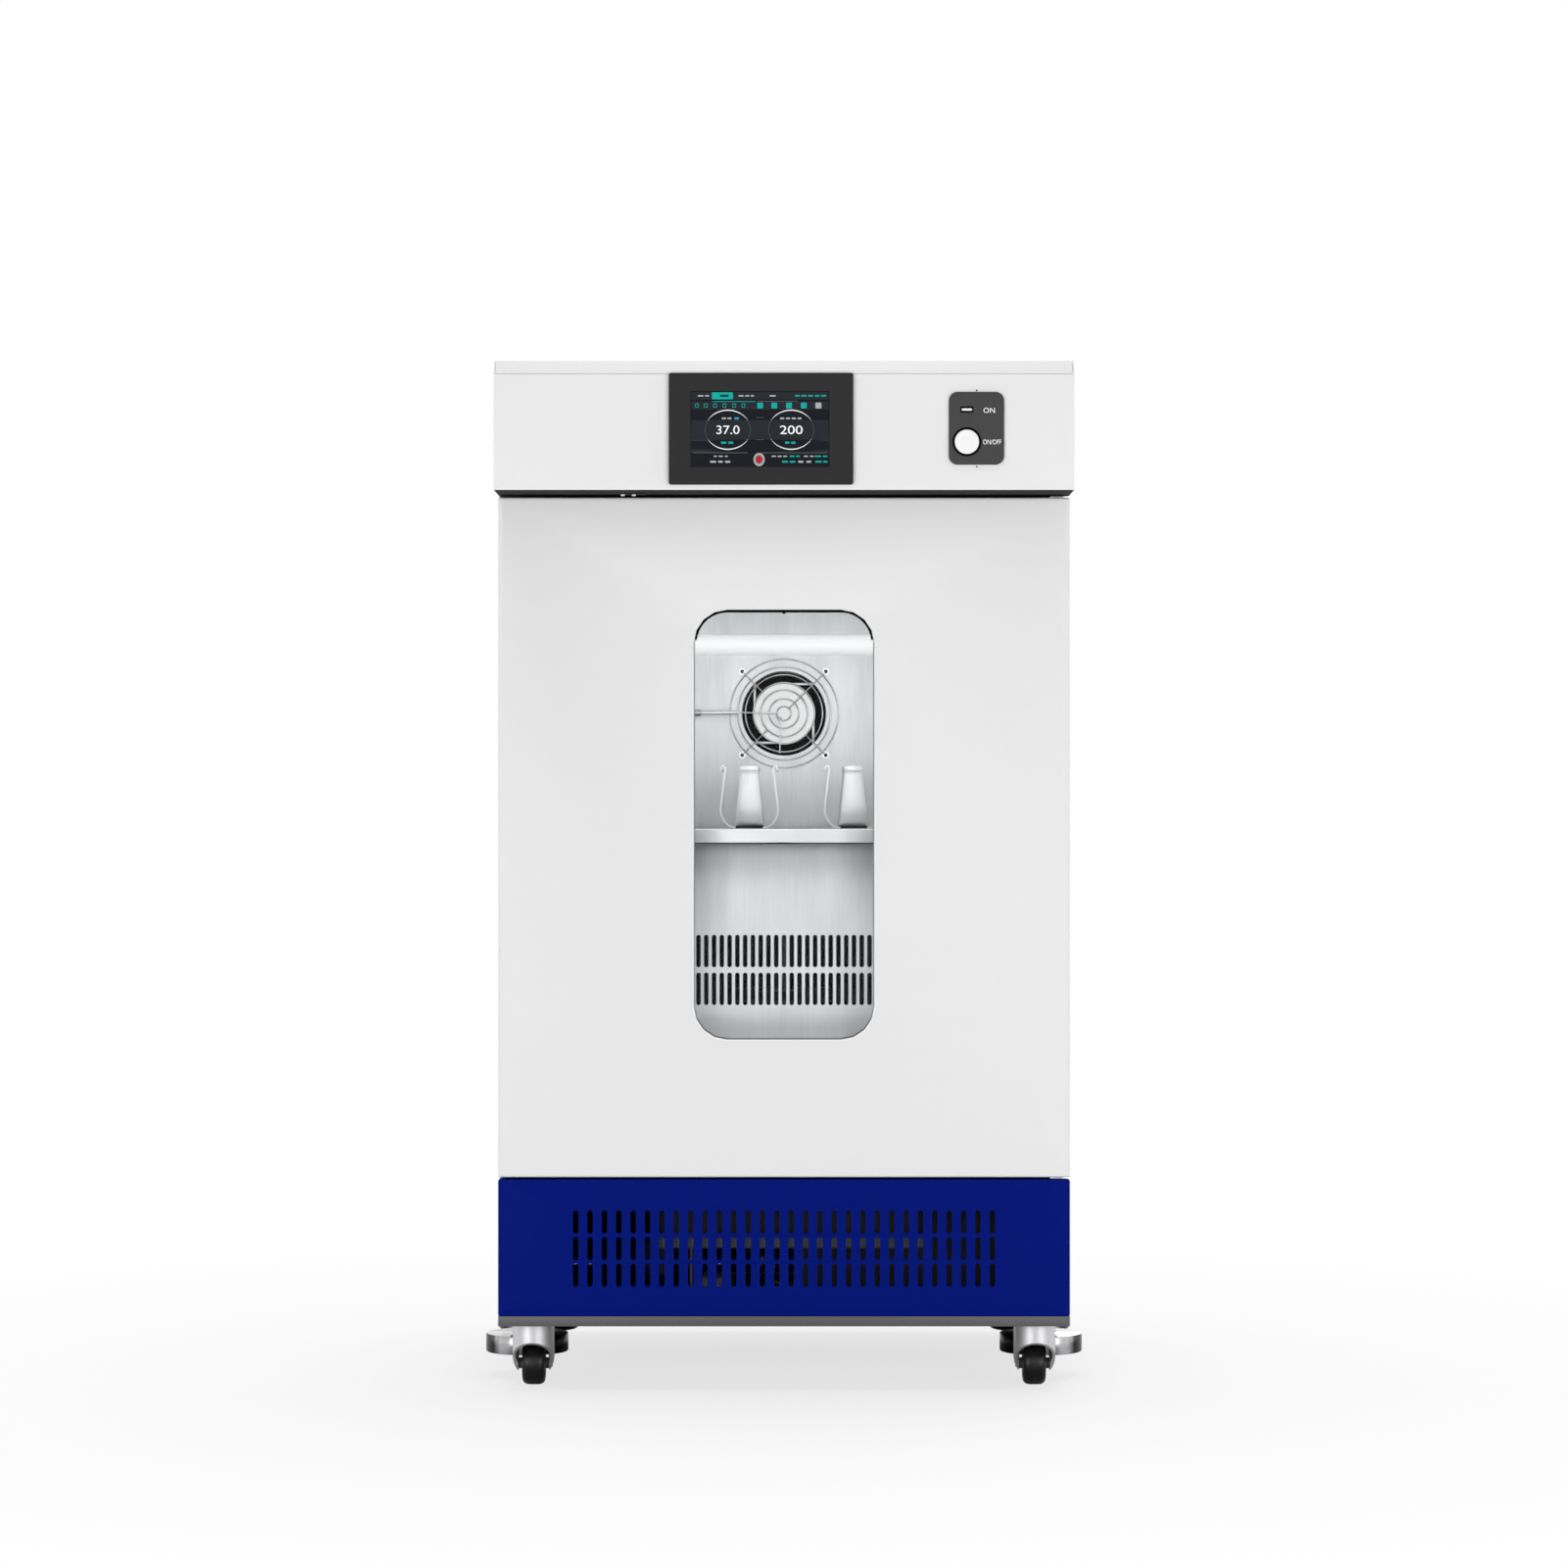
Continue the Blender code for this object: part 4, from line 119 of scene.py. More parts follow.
def coating_group():
    """Powder coat and moulded skin: soft clouds of tone and a fine pebbled surface."""
    group, given, result = new_group(
        "coating",
        [
            ("Vector", "V", None),
            ("Colour", "C", (0.8, 0.8, 0.8, 1.0)),
            ("Tone", "F", 0.02),
            ("Pebble", "F", 900.0),
            ("Roughness", "F", 0.4),
            ("Spread", "F", 0.1),
        ],
        [("Colour", "C"), ("Roughness", "F"), ("Height", "F")],
    )
    link = group.links.new
    cloud = noise(group, given["Vector"], 5.5, 3.0)
    pebble = noise(group, given["Vector"], given["Pebble"], 2.0)
    rubbed = noise(group, given["Vector"], 38.0, 4.0, 0.6)
    lift = sum_of(group, "MULTIPLY", sum_of(group, "SUBTRACT", cloud, 0.5), given["Tone"])
    fleck = sum_of(group, "MULTIPLY", sum_of(group, "SUBTRACT", pebble, 0.5), given["Tone"])
    factor = sum_of(group, "ADD", sum_of(group, "ADD", lift, 1.0), fleck)
    link(shaded(group, given["Colour"], factor), result["Colour"])
    uneven = sum_of(group, "MULTIPLY", sum_of(group, "SUBTRACT", rubbed, 0.5), given["Spread"])
    link(sum_of(group, "ADD", given["Roughness"], uneven), result["Roughness"])
    link(pebble, result["Height"])
    return group


def brushing_group():
    """Brushed sheet: long fine scratches along one way, with broad soft mottling."""
    group, given, result = new_group(
        "brushing",
        [
            ("Grain", "V", None),
            ("Patch", "V", None),
            ("Colour", "C", (0.7, 0.7, 0.7, 1.0)),
            ("Tone", "F", 0.1),
            ("Mottling", "F", 0.1),
            ("Roughness", "F", 0.3),
            ("Spread", "F", 0.1),
        ],
        [("Colour", "C"), ("Roughness", "F"), ("Height", "F")],
    )
    link = group.links.new
    scratch = noise(group, given["Grain"], 1.0, 4.0, 0.7)
    patch = noise(group, given["Patch"], 1.0, 3.0, 0.55)
    line = sum_of(group, "MULTIPLY", sum_of(group, "SUBTRACT", scratch, 0.5), given["Tone"])
    broad = sum_of(group, "MULTIPLY", sum_of(group, "SUBTRACT", patch, 0.5), given["Mottling"])
    factor = sum_of(group, "ADD", sum_of(group, "ADD", line, 1.0), broad)
    link(shaded(group, given["Colour"], factor), result["Colour"])
    uneven = sum_of(group, "MULTIPLY", sum_of(group, "SUBTRACT", scratch, 0.5), given["Spread"])
    link(sum_of(group, "ADD", given["Roughness"], uneven), result["Roughness"])
    link(scratch, result["Height"])
    return group


COATING = coating_group()
BRUSHING = brushing_group()


# finishes
def blank_finish(name):
    """A material with a Principled shader only, and its tree and shader."""
    made = bpy.data.materials.new(name)
    made.use_nodes = True
    tree = made.node_tree
    return made, tree, tree.nodes["Principled BSDF"]


def bumped(tree, shader, height, strength, depth):
    """Feed a height socket to the shader's normal."""
    bump = tree.nodes.new("ShaderNodeBump")
    bump.inputs["Strength"].default_value = strength
    bump.inputs["Distance"].default_value = depth
    tree.links.new(height, bump.inputs["Height"])
    tree.links.new(bump.outputs[0], shader.inputs["Normal"])


def coated(name, colour, roughness, gloss=0.5, tone=0.02, pebble=900.0, relief=0.15,
           metal=0.0, spread=0.1, glow=0.0):
    """A painted, moulded or rubber finish."""
    made, tree, shader = blank_finish(name)
    place = tree.nodes.new("ShaderNodeTexCoord")
    skin = tree.nodes.new("ShaderNodeGroup")
    skin.node_tree = COATING
    skin.inputs["Colour"].default_value = (*colour, 1.0)
    skin.inputs["Tone"].default_value = tone
    skin.inputs["Pebble"].default_value = pebble
    skin.inputs["Roughness"].default_value = roughness
    skin.inputs["Spread"].default_value = spread
    link = tree.links.new
    link(place.outputs["Object"], skin.inputs["Vector"])
    link(skin.outputs["Colour"], shader.inputs["Base Color"])
    link(skin.outputs["Roughness"], shader.inputs["Roughness"])
    shader.inputs["Metallic"].default_value = metal
    shader.inputs["Specular IOR Level"].default_value = gloss
    if glow:
        link(skin.outputs["Colour"], shader.inputs["Emission Color"])
        shader.inputs["Emission Strength"].default_value = glow
    bumped(tree, shader, skin.outputs["Height"], relief, 0.0002)
    return made


def brushed(name, colour, roughness, grain=(900.0, 900.0, 14.0), patch=(16.0, 16.0, 5.0),
            tone=0.10, mottling=0.10, relief=0.05, spread=0.08, metal=1.0):
    """A brushed metal finish; grain and patch are the noise scales along x, y and z."""
    made, tree, shader = blank_finish(name)
    place = tree.nodes.new("ShaderNodeTexCoord")
    skin = tree.nodes.new("ShaderNodeGroup")
    skin.node_tree = BRUSHING
    link = tree.links.new
    for label, scale in (("Grain", grain), ("Patch", patch)):
        mapping = tree.nodes.new("ShaderNodeMapping")
        mapping.inputs["Scale"].default_value = scale
        link(place.outputs["Object"], mapping.inputs["Vector"])
        link(mapping.outputs[0], skin.inputs[label])
    skin.inputs["Colour"].default_value = (*colour, 1.0)
    skin.inputs["Tone"].default_value = tone
    skin.inputs["Mottling"].default_value = mottling
    skin.inputs["Roughness"].default_value = roughness
    skin.inputs["Spread"].default_value = spread
    link(skin.outputs["Colour"], shader.inputs["Base Color"])
    link(skin.outputs["Roughness"], shader.inputs["Roughness"])
    shader.inputs["Metallic"].default_value = metal
    bumped(tree, shader, skin.outputs["Height"], relief, 0.0001)
    return made


def painted_reflection_bands(made, stops):
    """Painted reflection: shade a finish by its distance from the cabinet's middle, as (distance, share)
    stops.
    """
    tree = made.node_tree
    shader = tree.nodes["Principled BSDF"]
    colour = shader.inputs["Base Color"].links[0].from_socket
    place = tree.nodes.new("ShaderNodeTexCoord")
    parts = tree.nodes.new("ShaderNodeSeparateXYZ")
    tree.links.new(place.outputs["Object"], parts.inputs[0])
    ramp = tree.nodes.new("ShaderNodeValToRGB")
    tree.links.new(sum_of(tree, "ABSOLUTE", parts.outputs["X"]), ramp.inputs[0])
    points = ramp.color_ramp.elements
    while len(points) < len(stops):
        points.new(1.0)
    for point, (distance, share) in zip(points, stops):
        point.position = distance
        point.color = (share, share, share, 1.0)
    tree.links.new(shaded(tree, colour, ramp.outputs["Color"]), shader.inputs["Base Color"])


def clear_glass(name, tint, reflection):
    """Window glass, with a faint unevenness in its surface."""
    made, tree, shader = blank_finish(name)
    place = tree.nodes.new("ShaderNodeTexCoord")
    shader.inputs["Base Color"].default_value = (*tint, 1.0)
    shader.inputs["Metallic"].default_value = 0.0
    shader.inputs["Roughness"].default_value = 0.0
    shader.inputs["Transmission Weight"].default_value = 1.0
    shader.inputs["IOR"].default_value = 1.45
    shader.inputs["Specular IOR Level"].default_value = reflection
    shader.inputs["Specular Tint"].default_value = (0.10, 0.10, 0.10, 1.0)
    wave = noise(tree, place.outputs["Object"], 6.0, 1.0)
    bumped(tree, shader, wave, 0.02, 0.0005)
    return made


WHITE_PAINT = coated("white powder coat", (0.80, 0.80, 0.80), 0.50, 0.18, 0.012, 700.0, 0.10)
BLUE_PAINT = coated("blue powder coat", (0.0004, 0.0075, 0.170), 0.50, 0.03, 0.05, 700.0, 0.10)
# Near-black finish that paints shade: on the head's and the frame's undersides, inside the drive housing
# and in the platform's holes.
SHADE_BLACK = coated("painted shade black", (0.003, 0.003, 0.003), 0.6, 0.06, 0.1, 700.0, 0.1)
FRAME_PAINT = coated("grey frame coat", (0.098, 0.098, 0.103), 0.42, 0.3, 0.10, 600.0, 0.12)
RAIL_PAINT = coated("rail coat", (0.110, 0.104, 0.095), 0.50, 0.3, 0.10, 600.0, 0.12)
FELT = coated("dark felt strip", (0.040, 0.038, 0.036), 0.90, 0.1, 0.20, 900.0, 0.30)
FIN_COAT = coated("black fin coat", (0.013, 0.013, 0.013), 0.50, 0.3, 0.10, 600.0, 0.12)
STAINLESS = brushed("brushed stainless", (0.80, 0.81, 0.825), 0.34)
BRIGHT_STEEL = brushed("bright steel", (0.78, 0.79, 0.80), 0.24, (400.0, 400.0, 400.0),
                       (30.0, 30.0, 30.0), 0.05, 0.05, 0.02)
SPRING_STEEL = brushed("spring steel sheet", (0.70, 0.71, 0.71), 0.56, (500.0, 500.0, 40.0),
                       (40.0, 40.0, 12.0), 0.04, 0.05, 0.02, metal=0.35)
ZINC = brushed("zinc plate", (0.52, 0.52, 0.53), 0.42, (260.0, 260.0, 260.0),
               (24.0, 24.0, 24.0), 0.10, 0.12, 0.05, 0.14)
CAST_ZINC = brushed("cast zinc", (0.56, 0.56, 0.57), 0.42, (420.0, 420.0, 420.0),
                    (40.0, 40.0, 40.0), 0.06, 0.08, 0.10, 0.10)
# Levelling feet: strong mottling paints reflection as dark and bright patches.
FOOT_STEEL_PAINTED_REFLECTION = brushed("turned steel", (0.56, 0.56, 0.57), 0.16, (120.0, 120.0, 900.0),
                       (48.0, 48.0, 24.0), 0.12, 0.60, 0.05, 0.10)
PLATFORM_METAL = brushed("anodised platform", (0.84, 0.85, 0.85), 0.38, (30.0, 900.0, 900.0),
                         (6.0, 12.0, 12.0), 0.03, 0.03, 0.02)
COMPRESSOR_PAINT = coated("black compressor coat", (0.030, 0.029, 0.028), 0.36, 0.4, 0.3, 500.0, 0.1)
BLACK_PLASTIC = coated("black moulding", (0.012, 0.012, 0.012), 0.50, 0.25, 0.15, 1500.0, 0.2)
DARK_PLASTIC = coated("charcoal moulding", (0.023, 0.023, 0.024), 0.54, 0.10, 0.08, 1800.0, 0.2)
WHITE_PLASTIC = coated("white moulding", (0.90, 0.90, 0.89), 0.30, 0.4, 0.01, 900.0, 0.03)
LAMP_COVER = coated("opal lamp cover", (0.92, 0.92, 0.92), 0.40, 0.3, 0.01, 900.0, 0.03, glow=0.46)
# Grey that paints light on the seal's lower reveal; the seal itself is black.
SEAL_LIT_GREY = coated("painted light seal grey", (0.20, 0.20, 0.20), 0.70, 0.2, 0.06, 800.0, 0.1)
RUBBER = coated("black rubber", (0.010, 0.010, 0.010), 0.72, 0.25, 0.2, 900.0, 0.25)
WHEEL_RUBBER = coated("wheel tread", (0.003, 0.003, 0.003), 0.36, 0.30, 0.3, 500.0, 0.1)
FOAM = coated("cut foam", (0.62, 0.55, 0.38), 0.95, 0.1, 0.25, 420.0, 0.8)
GLASS = clear_glass("window glass", (0.99, 0.995, 0.995), 0.04)

# Dark finish that paints the shade inside the machine room.
MACHINE_ROOM_SHADE = coated("machine room painted shade", (0.030, 0.029, 0.028), 0.6, 0.15, 0.2, 500.0, 0.1)
# Flat black: the fan's own colour, and painted shade on the window's upper bead and seal, round the button
# and in the lamp's recess.
FLAT_BLACK_AND_SHADE = coated("flat black and painted shade", (0.0015, 0.0015, 0.0015), 0.7, 0.01, 0.2, 900.0, 0.1)
FAN_HUB = brushed("fan hub foil", (0.63, 0.63, 0.63), 0.40, (300.0, 300.0, 300.0),
                  (30.0, 30.0, 30.0), 0.04, 0.06, 0.02)
GUARD_WIRE = brushed("plated guard wire", (0.70, 0.70, 0.70), 0.30, (500.0, 500.0, 500.0),
                     (40.0, 40.0, 40.0), 0.05, 0.05, 0.02)
DARK_METAL = brushed("dark clip", (0.30, 0.30, 0.31), 0.35, (500.0, 500.0, 500.0),
                     (90.0, 90.0, 90.0), 0.1, 0.6, 0.05)
BAFFLE_STEEL = brushed("brushed baffle", (0.53, 0.54, 0.55), 0.36, (380.0, 380.0, 15.0),
                       (30.0, 30.0, 8.0), 0.34, 0.46, 0.05, 0.10)
HOUSING_STEEL = brushed("brushed housing", (0.50, 0.51, 0.52), 0.36, (380.0, 380.0, 15.0),
                        (34.0, 34.0, 9.0), 0.28, 0.30, 0.05, 0.10)
# The feet's rim: still stronger mottling, as painted reflection.
FOOT_RIM_PAINTED_REFLECTION = brushed("foot rim with painted reflection", (0.46, 0.46, 0.47), 0.22, (60.0, 60.0, 900.0),
                    (44.0, 44.0, 70.0), 0.20, 1.1, 0.05, 0.10)
# The bands paint reflection: dark where the feet mirror the shade under the cabinet, pale outside it.
painted_reflection_bands(FOOT_STEEL_PAINTED_REFLECTION, ((0.0, 0.05), (0.284, 0.05), (0.300, 0.60), (0.320, 1.0), (0.330, 0.70), (0.338, 1.0)))
painted_reflection_bands(FOOT_RIM_PAINTED_REFLECTION, ((0.0, 0.02), (0.294, 0.02), (0.304, 0.30), (0.320, 0.45),
                   (0.329, 1.0), (0.336, 1.0), (0.343, 0.06), (0.352, 0.02)))
COPPER = brushed("drawn copper", (0.34, 0.17, 0.10), 0.46, (300.0, 300.0, 300.0),
                 (50.0, 50.0, 50.0), 0.12, 0.40, 0.03)
OXIDE_STEEL = brushed("black oxide steel", (0.055, 0.055, 0.060), 0.40, (300.0, 300.0, 300.0),
                      (60.0, 60.0, 60.0), 0.1, 0.2, 0.04)
HUB_GREY = coated("wheel hub", (0.10, 0.10, 0.105), 0.42, 0.3, 0.05, 900.0, 0.05)
SWITCH_BLACK = coated("switch plate black", (0.055, 0.055, 0.056), 0.50, 0.12, 0.06, 1800.0, 0.1)
LIT_WHITE = coated("lit white cap", (0.88, 0.88, 0.88), 0.34, 0.2, 0.005, 900.0, 0.02, glow=0.02)
SCREEN_BLACK = coated("display glass", (0.009, 0.011, 0.014), 0.16, 0.05, 0.05, 300.0, 0.0)
SCREEN_BAND = coated("display band", (0.022, 0.026, 0.031), 0.22, 0.04, 0.05, 300.0, 0.0)
SCREEN_DARK = coated("display dark band", (0.011, 0.013, 0.017), 0.22, 0.04, 0.05, 300.0, 0.0)
SCREEN_TEAL = coated("display teal", (0.008, 0.36, 0.32), 0.4, 0.05, 0.02, 300.0, 0.0, glow=0.08)
SCREEN_BLUE = coated("display blue", (0.030, 0.26, 0.45), 0.4, 0.05, 0.02, 300.0, 0.0, glow=0.2)
SCREEN_PALE = coated("display white", (0.80, 0.80, 0.80), 0.4, 0.05, 0.02, 300.0, 0.0, glow=0.15)
SCREEN_TEXT = coated("display small text", (0.44, 0.45, 0.46), 0.4, 0.05, 0.02, 300.0, 0.0)
SCREEN_GREY = coated("display grey", (0.13, 0.14, 0.15), 0.4, 0.05, 0.02, 300.0, 0.0)
SCREEN_SILVER = coated("display silver", (0.42, 0.42, 0.43), 0.4, 0.05, 0.02, 300.0, 0.0)
SCREEN_RED = coated("display red", (0.42, 0.012, 0.020), 0.4, 0.10, 0.02, 300.0, 0.0, glow=0.2)

NODE_FINISHES = {
    "base_frame": FRAME_PAINT,
    "outer_casing": WHITE_PAINT,
    "rear_panel": WHITE_PAINT,
    "grille_panel": BLUE_PAINT,
    "control_head": WHITE_PAINT,
    "top_cover": WHITE_PAINT,
    "screen_bezel": DARK_PLASTIC,
    "screen_glass": BLACK_PLASTIC,
    "switch_plate": DARK_PLASTIC,
    "indicator_lens": WHITE_PLASTIC,
    "door_switch": BLACK_PLASTIC,
    "insulation": FOAM,
    "chamber_liner": STAINLESS,
    "rear_baffle": STAINLESS,
    "lamp_diffuser": LAMP_COVER,
    "fan_frame": BLACK_PLASTIC,
    "fan_guard": BRIGHT_STEEL,
    "heater_element": ZINC,
    "sensor_probe": BRIGHT_STEEL,
    "drive_housing": STAINLESS,
    "drive_plate": COMPRESSOR_PAINT,
    "drive_motor": FRAME_PAINT,
    "drive_belt": RUBBER,
    "compressor": COMPRESSOR_PAINT,
    "condenser": FIN_COAT,
    "power_inlet": BLACK_PLASTIC,
    "upper_hinge": BRIGHT_STEEL,
    "lower_hinge": BRIGHT_STEEL,
    "door_skin": WHITE_PAINT,
    "door_inner_panel": WHITE_PAINT,
    "window_outer_pane": GLASS,
    "window_inner_pane": GLASS,
    "window_seal": RUBBER,
    "door_gasket": RUBBER,
    "power_button": WHITE_PLASTIC,
    "main_crank": OXIDE_STEEL,
    "idler_crank_left": OXIDE_STEEL,
    "idler_crank_right": OXIDE_STEEL,
    "platform": PLATFORM_METAL,
    "motor_pulley": OXIDE_STEEL,
    "fan_rotor": BLACK_PLASTIC,
    "condenser_fan": DARK_PLASTIC,
}
for place in ("front_left", "front_right", "rear_left", "rear_right"):
    NODE_FINISHES["caster_fork_" + place] = CAST_ZINC
    NODE_FINISHES["caster_wheel_" + place] = WHEEL_RUBBER
    NODE_FINISHES["levelling_foot_" + place] = FOOT_STEEL_PAINTED_REFLECTION
for place in ("front_left", "front_middle", "front_right", "rear_left", "rear_middle", "rear_right"):
    NODE_FINISHES["flask_clamp_" + place] = SPRING_STEEL
for name, node in frame["nodes"].items():
    node.data.materials.clear()
    node.data.materials.append(NODE_FINISHES[name])

NODE_BODY = {}
for body, members in frame["record"]["behaviour"]["bodies"].items():
    for name in members:
        NODE_BODY[name] = body
NODE_SLOT = {}
for entry in frame["record"]["materials"]:
    for name in entry.get("nodes", []):
        NODE_SLOT[name] = entry["slot"]


# camera
def set_camera():
    """The photograph's view: straight on, level, with the lens moved up a little."""
    lens = bpy.data.cameras.new("camera")
    lens.sensor_width = 36.0
    lens.lens = 99.0
    lens.shift_y = 0.028
    lens.clip_end = 60.0
    camera = bpy.data.objects.new("camera", lens)
    camera.location = (0.0, DOOR_Y - 4.976, 0.651)
    camera.rotation_euler = (math.radians(90), 0.0, 0.0)
    bpy.context.scene.collection.objects.link(camera)
    bpy.context.scene.camera = camera


# studio
def soft_lamp(name, place, aim, size, power):
    """A wide plain lamp."""
    light = bpy.data.lights.new(name, "AREA")
    light.shape = "RECTANGLE"
    light.size, light.size_y = size
    light.energy = power
    lamp = bpy.data.objects.new(name, light)
    lamp.location = place
    lamp.rotation_euler = (Vector(aim) - Vector(place)).to_track_quat("-Z", "Y").to_euler()
    lamp.visible_camera = False
    bpy.context.scene.collection.objects.link(lamp)
    return lamp


def set_studio():
    """White surroundings, wide lamps all round, the two lamps in the chamber, and the floor."""
    world = bpy.data.worlds.new("studio")
    bpy.context.scene.world = world
    world.use_nodes = True
    tree = world.node_tree
    link = tree.links.new
    seen = tree.nodes.new("ShaderNodeLightPath")
    both = sum_of(tree, "ADD", seen.outputs["Is Camera Ray"], seen.outputs["Is Glossy Ray"])
    shown = sum_of(tree, "MINIMUM", sum_of(tree, "ADD", both, seen.outputs["Is Transmission Ray"]), 1.0)
    ambient = 0.32
    strength = sum_of(tree, "ADD", sum_of(tree, "MULTIPLY", shown, 1.0 - ambient), ambient)
    background = tree.nodes["Background"]
    background.inputs["Color"].default_value = (1.0, 1.0, 1.0, 1.0)
    link(strength, background.inputs["Strength"])

    soft_lamp("front lamp", (-2.4, -4.0, 0.75), (0.0, 0.0, 0.75), (2.6, 1.2), 63.0)
    soft_lamp("fill lamp", (2.3, -3.4, 0.75), (0.0, 0.0, 0.75), (2.4, 1.2), 44.5)
    soft_lamp("back lamp", (1.4, 4.4, 1.9), (0.0, 0.0, 0.8), (2.4, 2.4), 60.0)
    soft_lamp("top lamp", (0.0, 0.2, 3.4), (0.0, 0.0, 1.0), (2.4, 2.4), 44.0)
    soft_lamp("left lamp", (-4.2, 1.0, 1.0), (0.0, 0.0, 0.7), (2.0, 1.6), 20.0)
    soft_lamp("right lamp", (4.2, 1.0, 1.0), (0.0, 0.0, 0.7), (2.0, 1.6), 20.0)
    soft_lamp("chamber light", (0.0, -0.206, 0.825), (0.0, 0.189, 0.800), (0.50, 0.28), 0.50)
    soft_lamp("lower chamber light", (0.0, -0.206, 0.500), (0.0, 0.0, 0.500), (0.50, 0.21), 0.17)

    bm = bmesh.new()
    bmesh.ops.create_circle(bm, cap_ends=True, radius=9.0, segments=96)
    mesh = bpy.data.meshes.new("floor")
    bm.to_mesh(mesh)
    bm.free()
    floor = bpy.data.objects.new("floor", mesh)
    bpy.context.scene.collection.objects.link(floor)
    white, tree, shader = blank_finish("studio floor")
    link = tree.links.new
    place = tree.nodes.new("ShaderNodeTexCoord")
    reach = tree.nodes.new("ShaderNodeVectorMath")
    reach.operation = "LENGTH"
    link(place.outputs["Object"], reach.inputs[0])
    fade = tree.nodes.new("ShaderNodeMapRange")
    fade.inputs["From Min"].default_value = 0.5
    fade.inputs["From Max"].default_value = 1.6
    fade.inputs["To Min"].default_value = 0.72
    link(reach.outputs["Value"], fade.inputs["Value"])
    glow = tree.nodes.new("ShaderNodeEmission")
    glow.inputs["Strength"].default_value = 1.0
    far = tree.nodes.new("ShaderNodeMapRange")
    far.inputs["From Min"].default_value = 0.5
    far.inputs["From Max"].default_value = 1.4
    link(reach.outputs["Value"], far.inputs["Value"])
    seen = tree.nodes.new("ShaderNodeLightPath")
    direct = sum_of(tree, "ADD", seen.outputs["Is Camera Ray"], seen.outputs["Is Transmission Ray"])
    mirrored = sum_of(tree, "MULTIPLY", seen.outputs["Is Glossy Ray"], far.outputs[0])
    shown = sum_of(tree, "ADD", sum_of(tree, "MULTIPLY", direct, fade.outputs[0]), mirrored)
    mix = tree.nodes.new("ShaderNodeMixShader")
    link(sum_of(tree, "MINIMUM", shown, 1.0), mix.inputs[0])
    link(shader.outputs[0], mix.inputs[1])
    link(glow.outputs[0], mix.inputs[2])
    link(mix.outputs[0], tree.nodes["Material Output"].inputs["Surface"])
    shader.inputs["Base Color"].default_value = (1.0, 1.0, 1.0, 1.0)
    shader.inputs["Roughness"].default_value = 0.9
    shader.inputs["Specular IOR Level"].default_value = 0.0
    mesh.materials.append(white)


# shapes
def piece(name, bm, finish, body, stands_for=(), slot=None, smooth=40.0, turned_out=True):
    """Finish a bmesh as a named piece that rides on a body."""
    bmesh.ops.remove_doubles(bm, verts=bm.verts, dist=1e-6)
    if turned_out:
        bmesh.ops.recalc_face_normals(bm, faces=bm.faces)
    limit = math.radians(smooth)
    for edge in bm.edges:
        edge.smooth = edge.calc_face_angle(0.0) < limit
    for face in bm.faces:
        face.smooth = True
    mesh = bpy.data.meshes.new(name)
    bm.to_mesh(mesh)
    bm.free()
    finishes = finish if isinstance(finish, (list, tuple)) else [finish]
    for one in finishes:
        mesh.materials.append(one)
    made = bpy.data.objects.new(name, mesh)
    bpy.context.scene.collection.objects.link(made)
    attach(made, body)
    if stands_for:
        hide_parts(*stands_for)
        slot = slot or NODE_SLOT.get(stands_for[0])
    return made


def softened(node, edge, segments=2, angle=30.0, name=None, finish=None, pick=None, second=None):
    """A merged copy of a node with its sharp edges rounded, standing for the node.

    second is a test on a face's middle and normal: faces that pass take the second finish.
    """
    bm = bmesh.new()
    bm.from_mesh(frame["nodes"][node].data)
    bmesh.ops.remove_doubles(bm, verts=bm.verts, dist=2e-6)
    bmesh.ops.dissolve_limit(bm, angle_limit=math.radians(0.5), verts=bm.verts, edges=bm.edges)
    limit = math.radians(angle)
    sharp = [e for e in bm.edges if e.is_manifold and e.calc_face_angle(0.0) > limit]
    if pick:
        sharp = [e for e in sharp if pick(e)]
    if edge:
        bmesh.ops.bevel(bm, geom=sharp, offset=edge, offset_type="OFFSET", affect="EDGES",
                        segments=segments, profile=0.5, material=-1, clamp_overlap=True)
    if second:
        for face in bm.faces:
            face.material_index = int(second(face.calc_center_median(), face.normal))
    made = piece(name or node + "_finished", bm, finish or NODE_FINISHES[node], NODE_BODY[node],
                 (node,), smooth=25.0 if edge else 34.0, turned_out=False)
    return made



def edges_of(bm, test):
    """The edges whose two ends both pass the test."""
    return [e for e in bm.edges if test(e.verts[0].co) and test(e.verts[1].co)]


def rounded(bm, edges, width, segments=3):
    """Round the edges of a shape."""
    bmesh.ops.bevel(bm, geom=edges, offset=width, offset_type="OFFSET", affect="EDGES",
                    segments=segments, profile=0.5, material=-1, clamp_overlap=True)


UPRIGHT = Matrix.Rotation(math.radians(90), 4, "X")


def flat_shape(bm, centre, width, height, corner=0.0, segments=6, facing=UPRIGHT, keep_face=False):
    """A rectangle with rounded corners, upright in the x-z plane, as its loop of edges."""
    place = Matrix.Translation(centre) @ facing @ Matrix.Diagonal((width, height, 1.0, 1.0))
    verts = bmesh.ops.create_grid(bm, x_segments=1, y_segments=1, size=0.5, matrix=place)["verts"]
    face = verts[0].link_faces[0]
    if corner:
        reach = min(corner, min(width, height) * 0.4999)
        made = bmesh.ops.bevel(bm, geom=verts, offset=reach, offset_type="OFFSET",
                               affect="VERTICES", segments=segments, profile=0.5,
                               material=-1, clamp_overlap=False)
        face = max(made["faces"] + [f for v in made["verts"] for f in v.link_faces],
                   key=lambda f: f.calc_area())
    if not keep_face:
        bmesh.ops.delete(bm, geom=[face], context="FACES_ONLY")
    return face


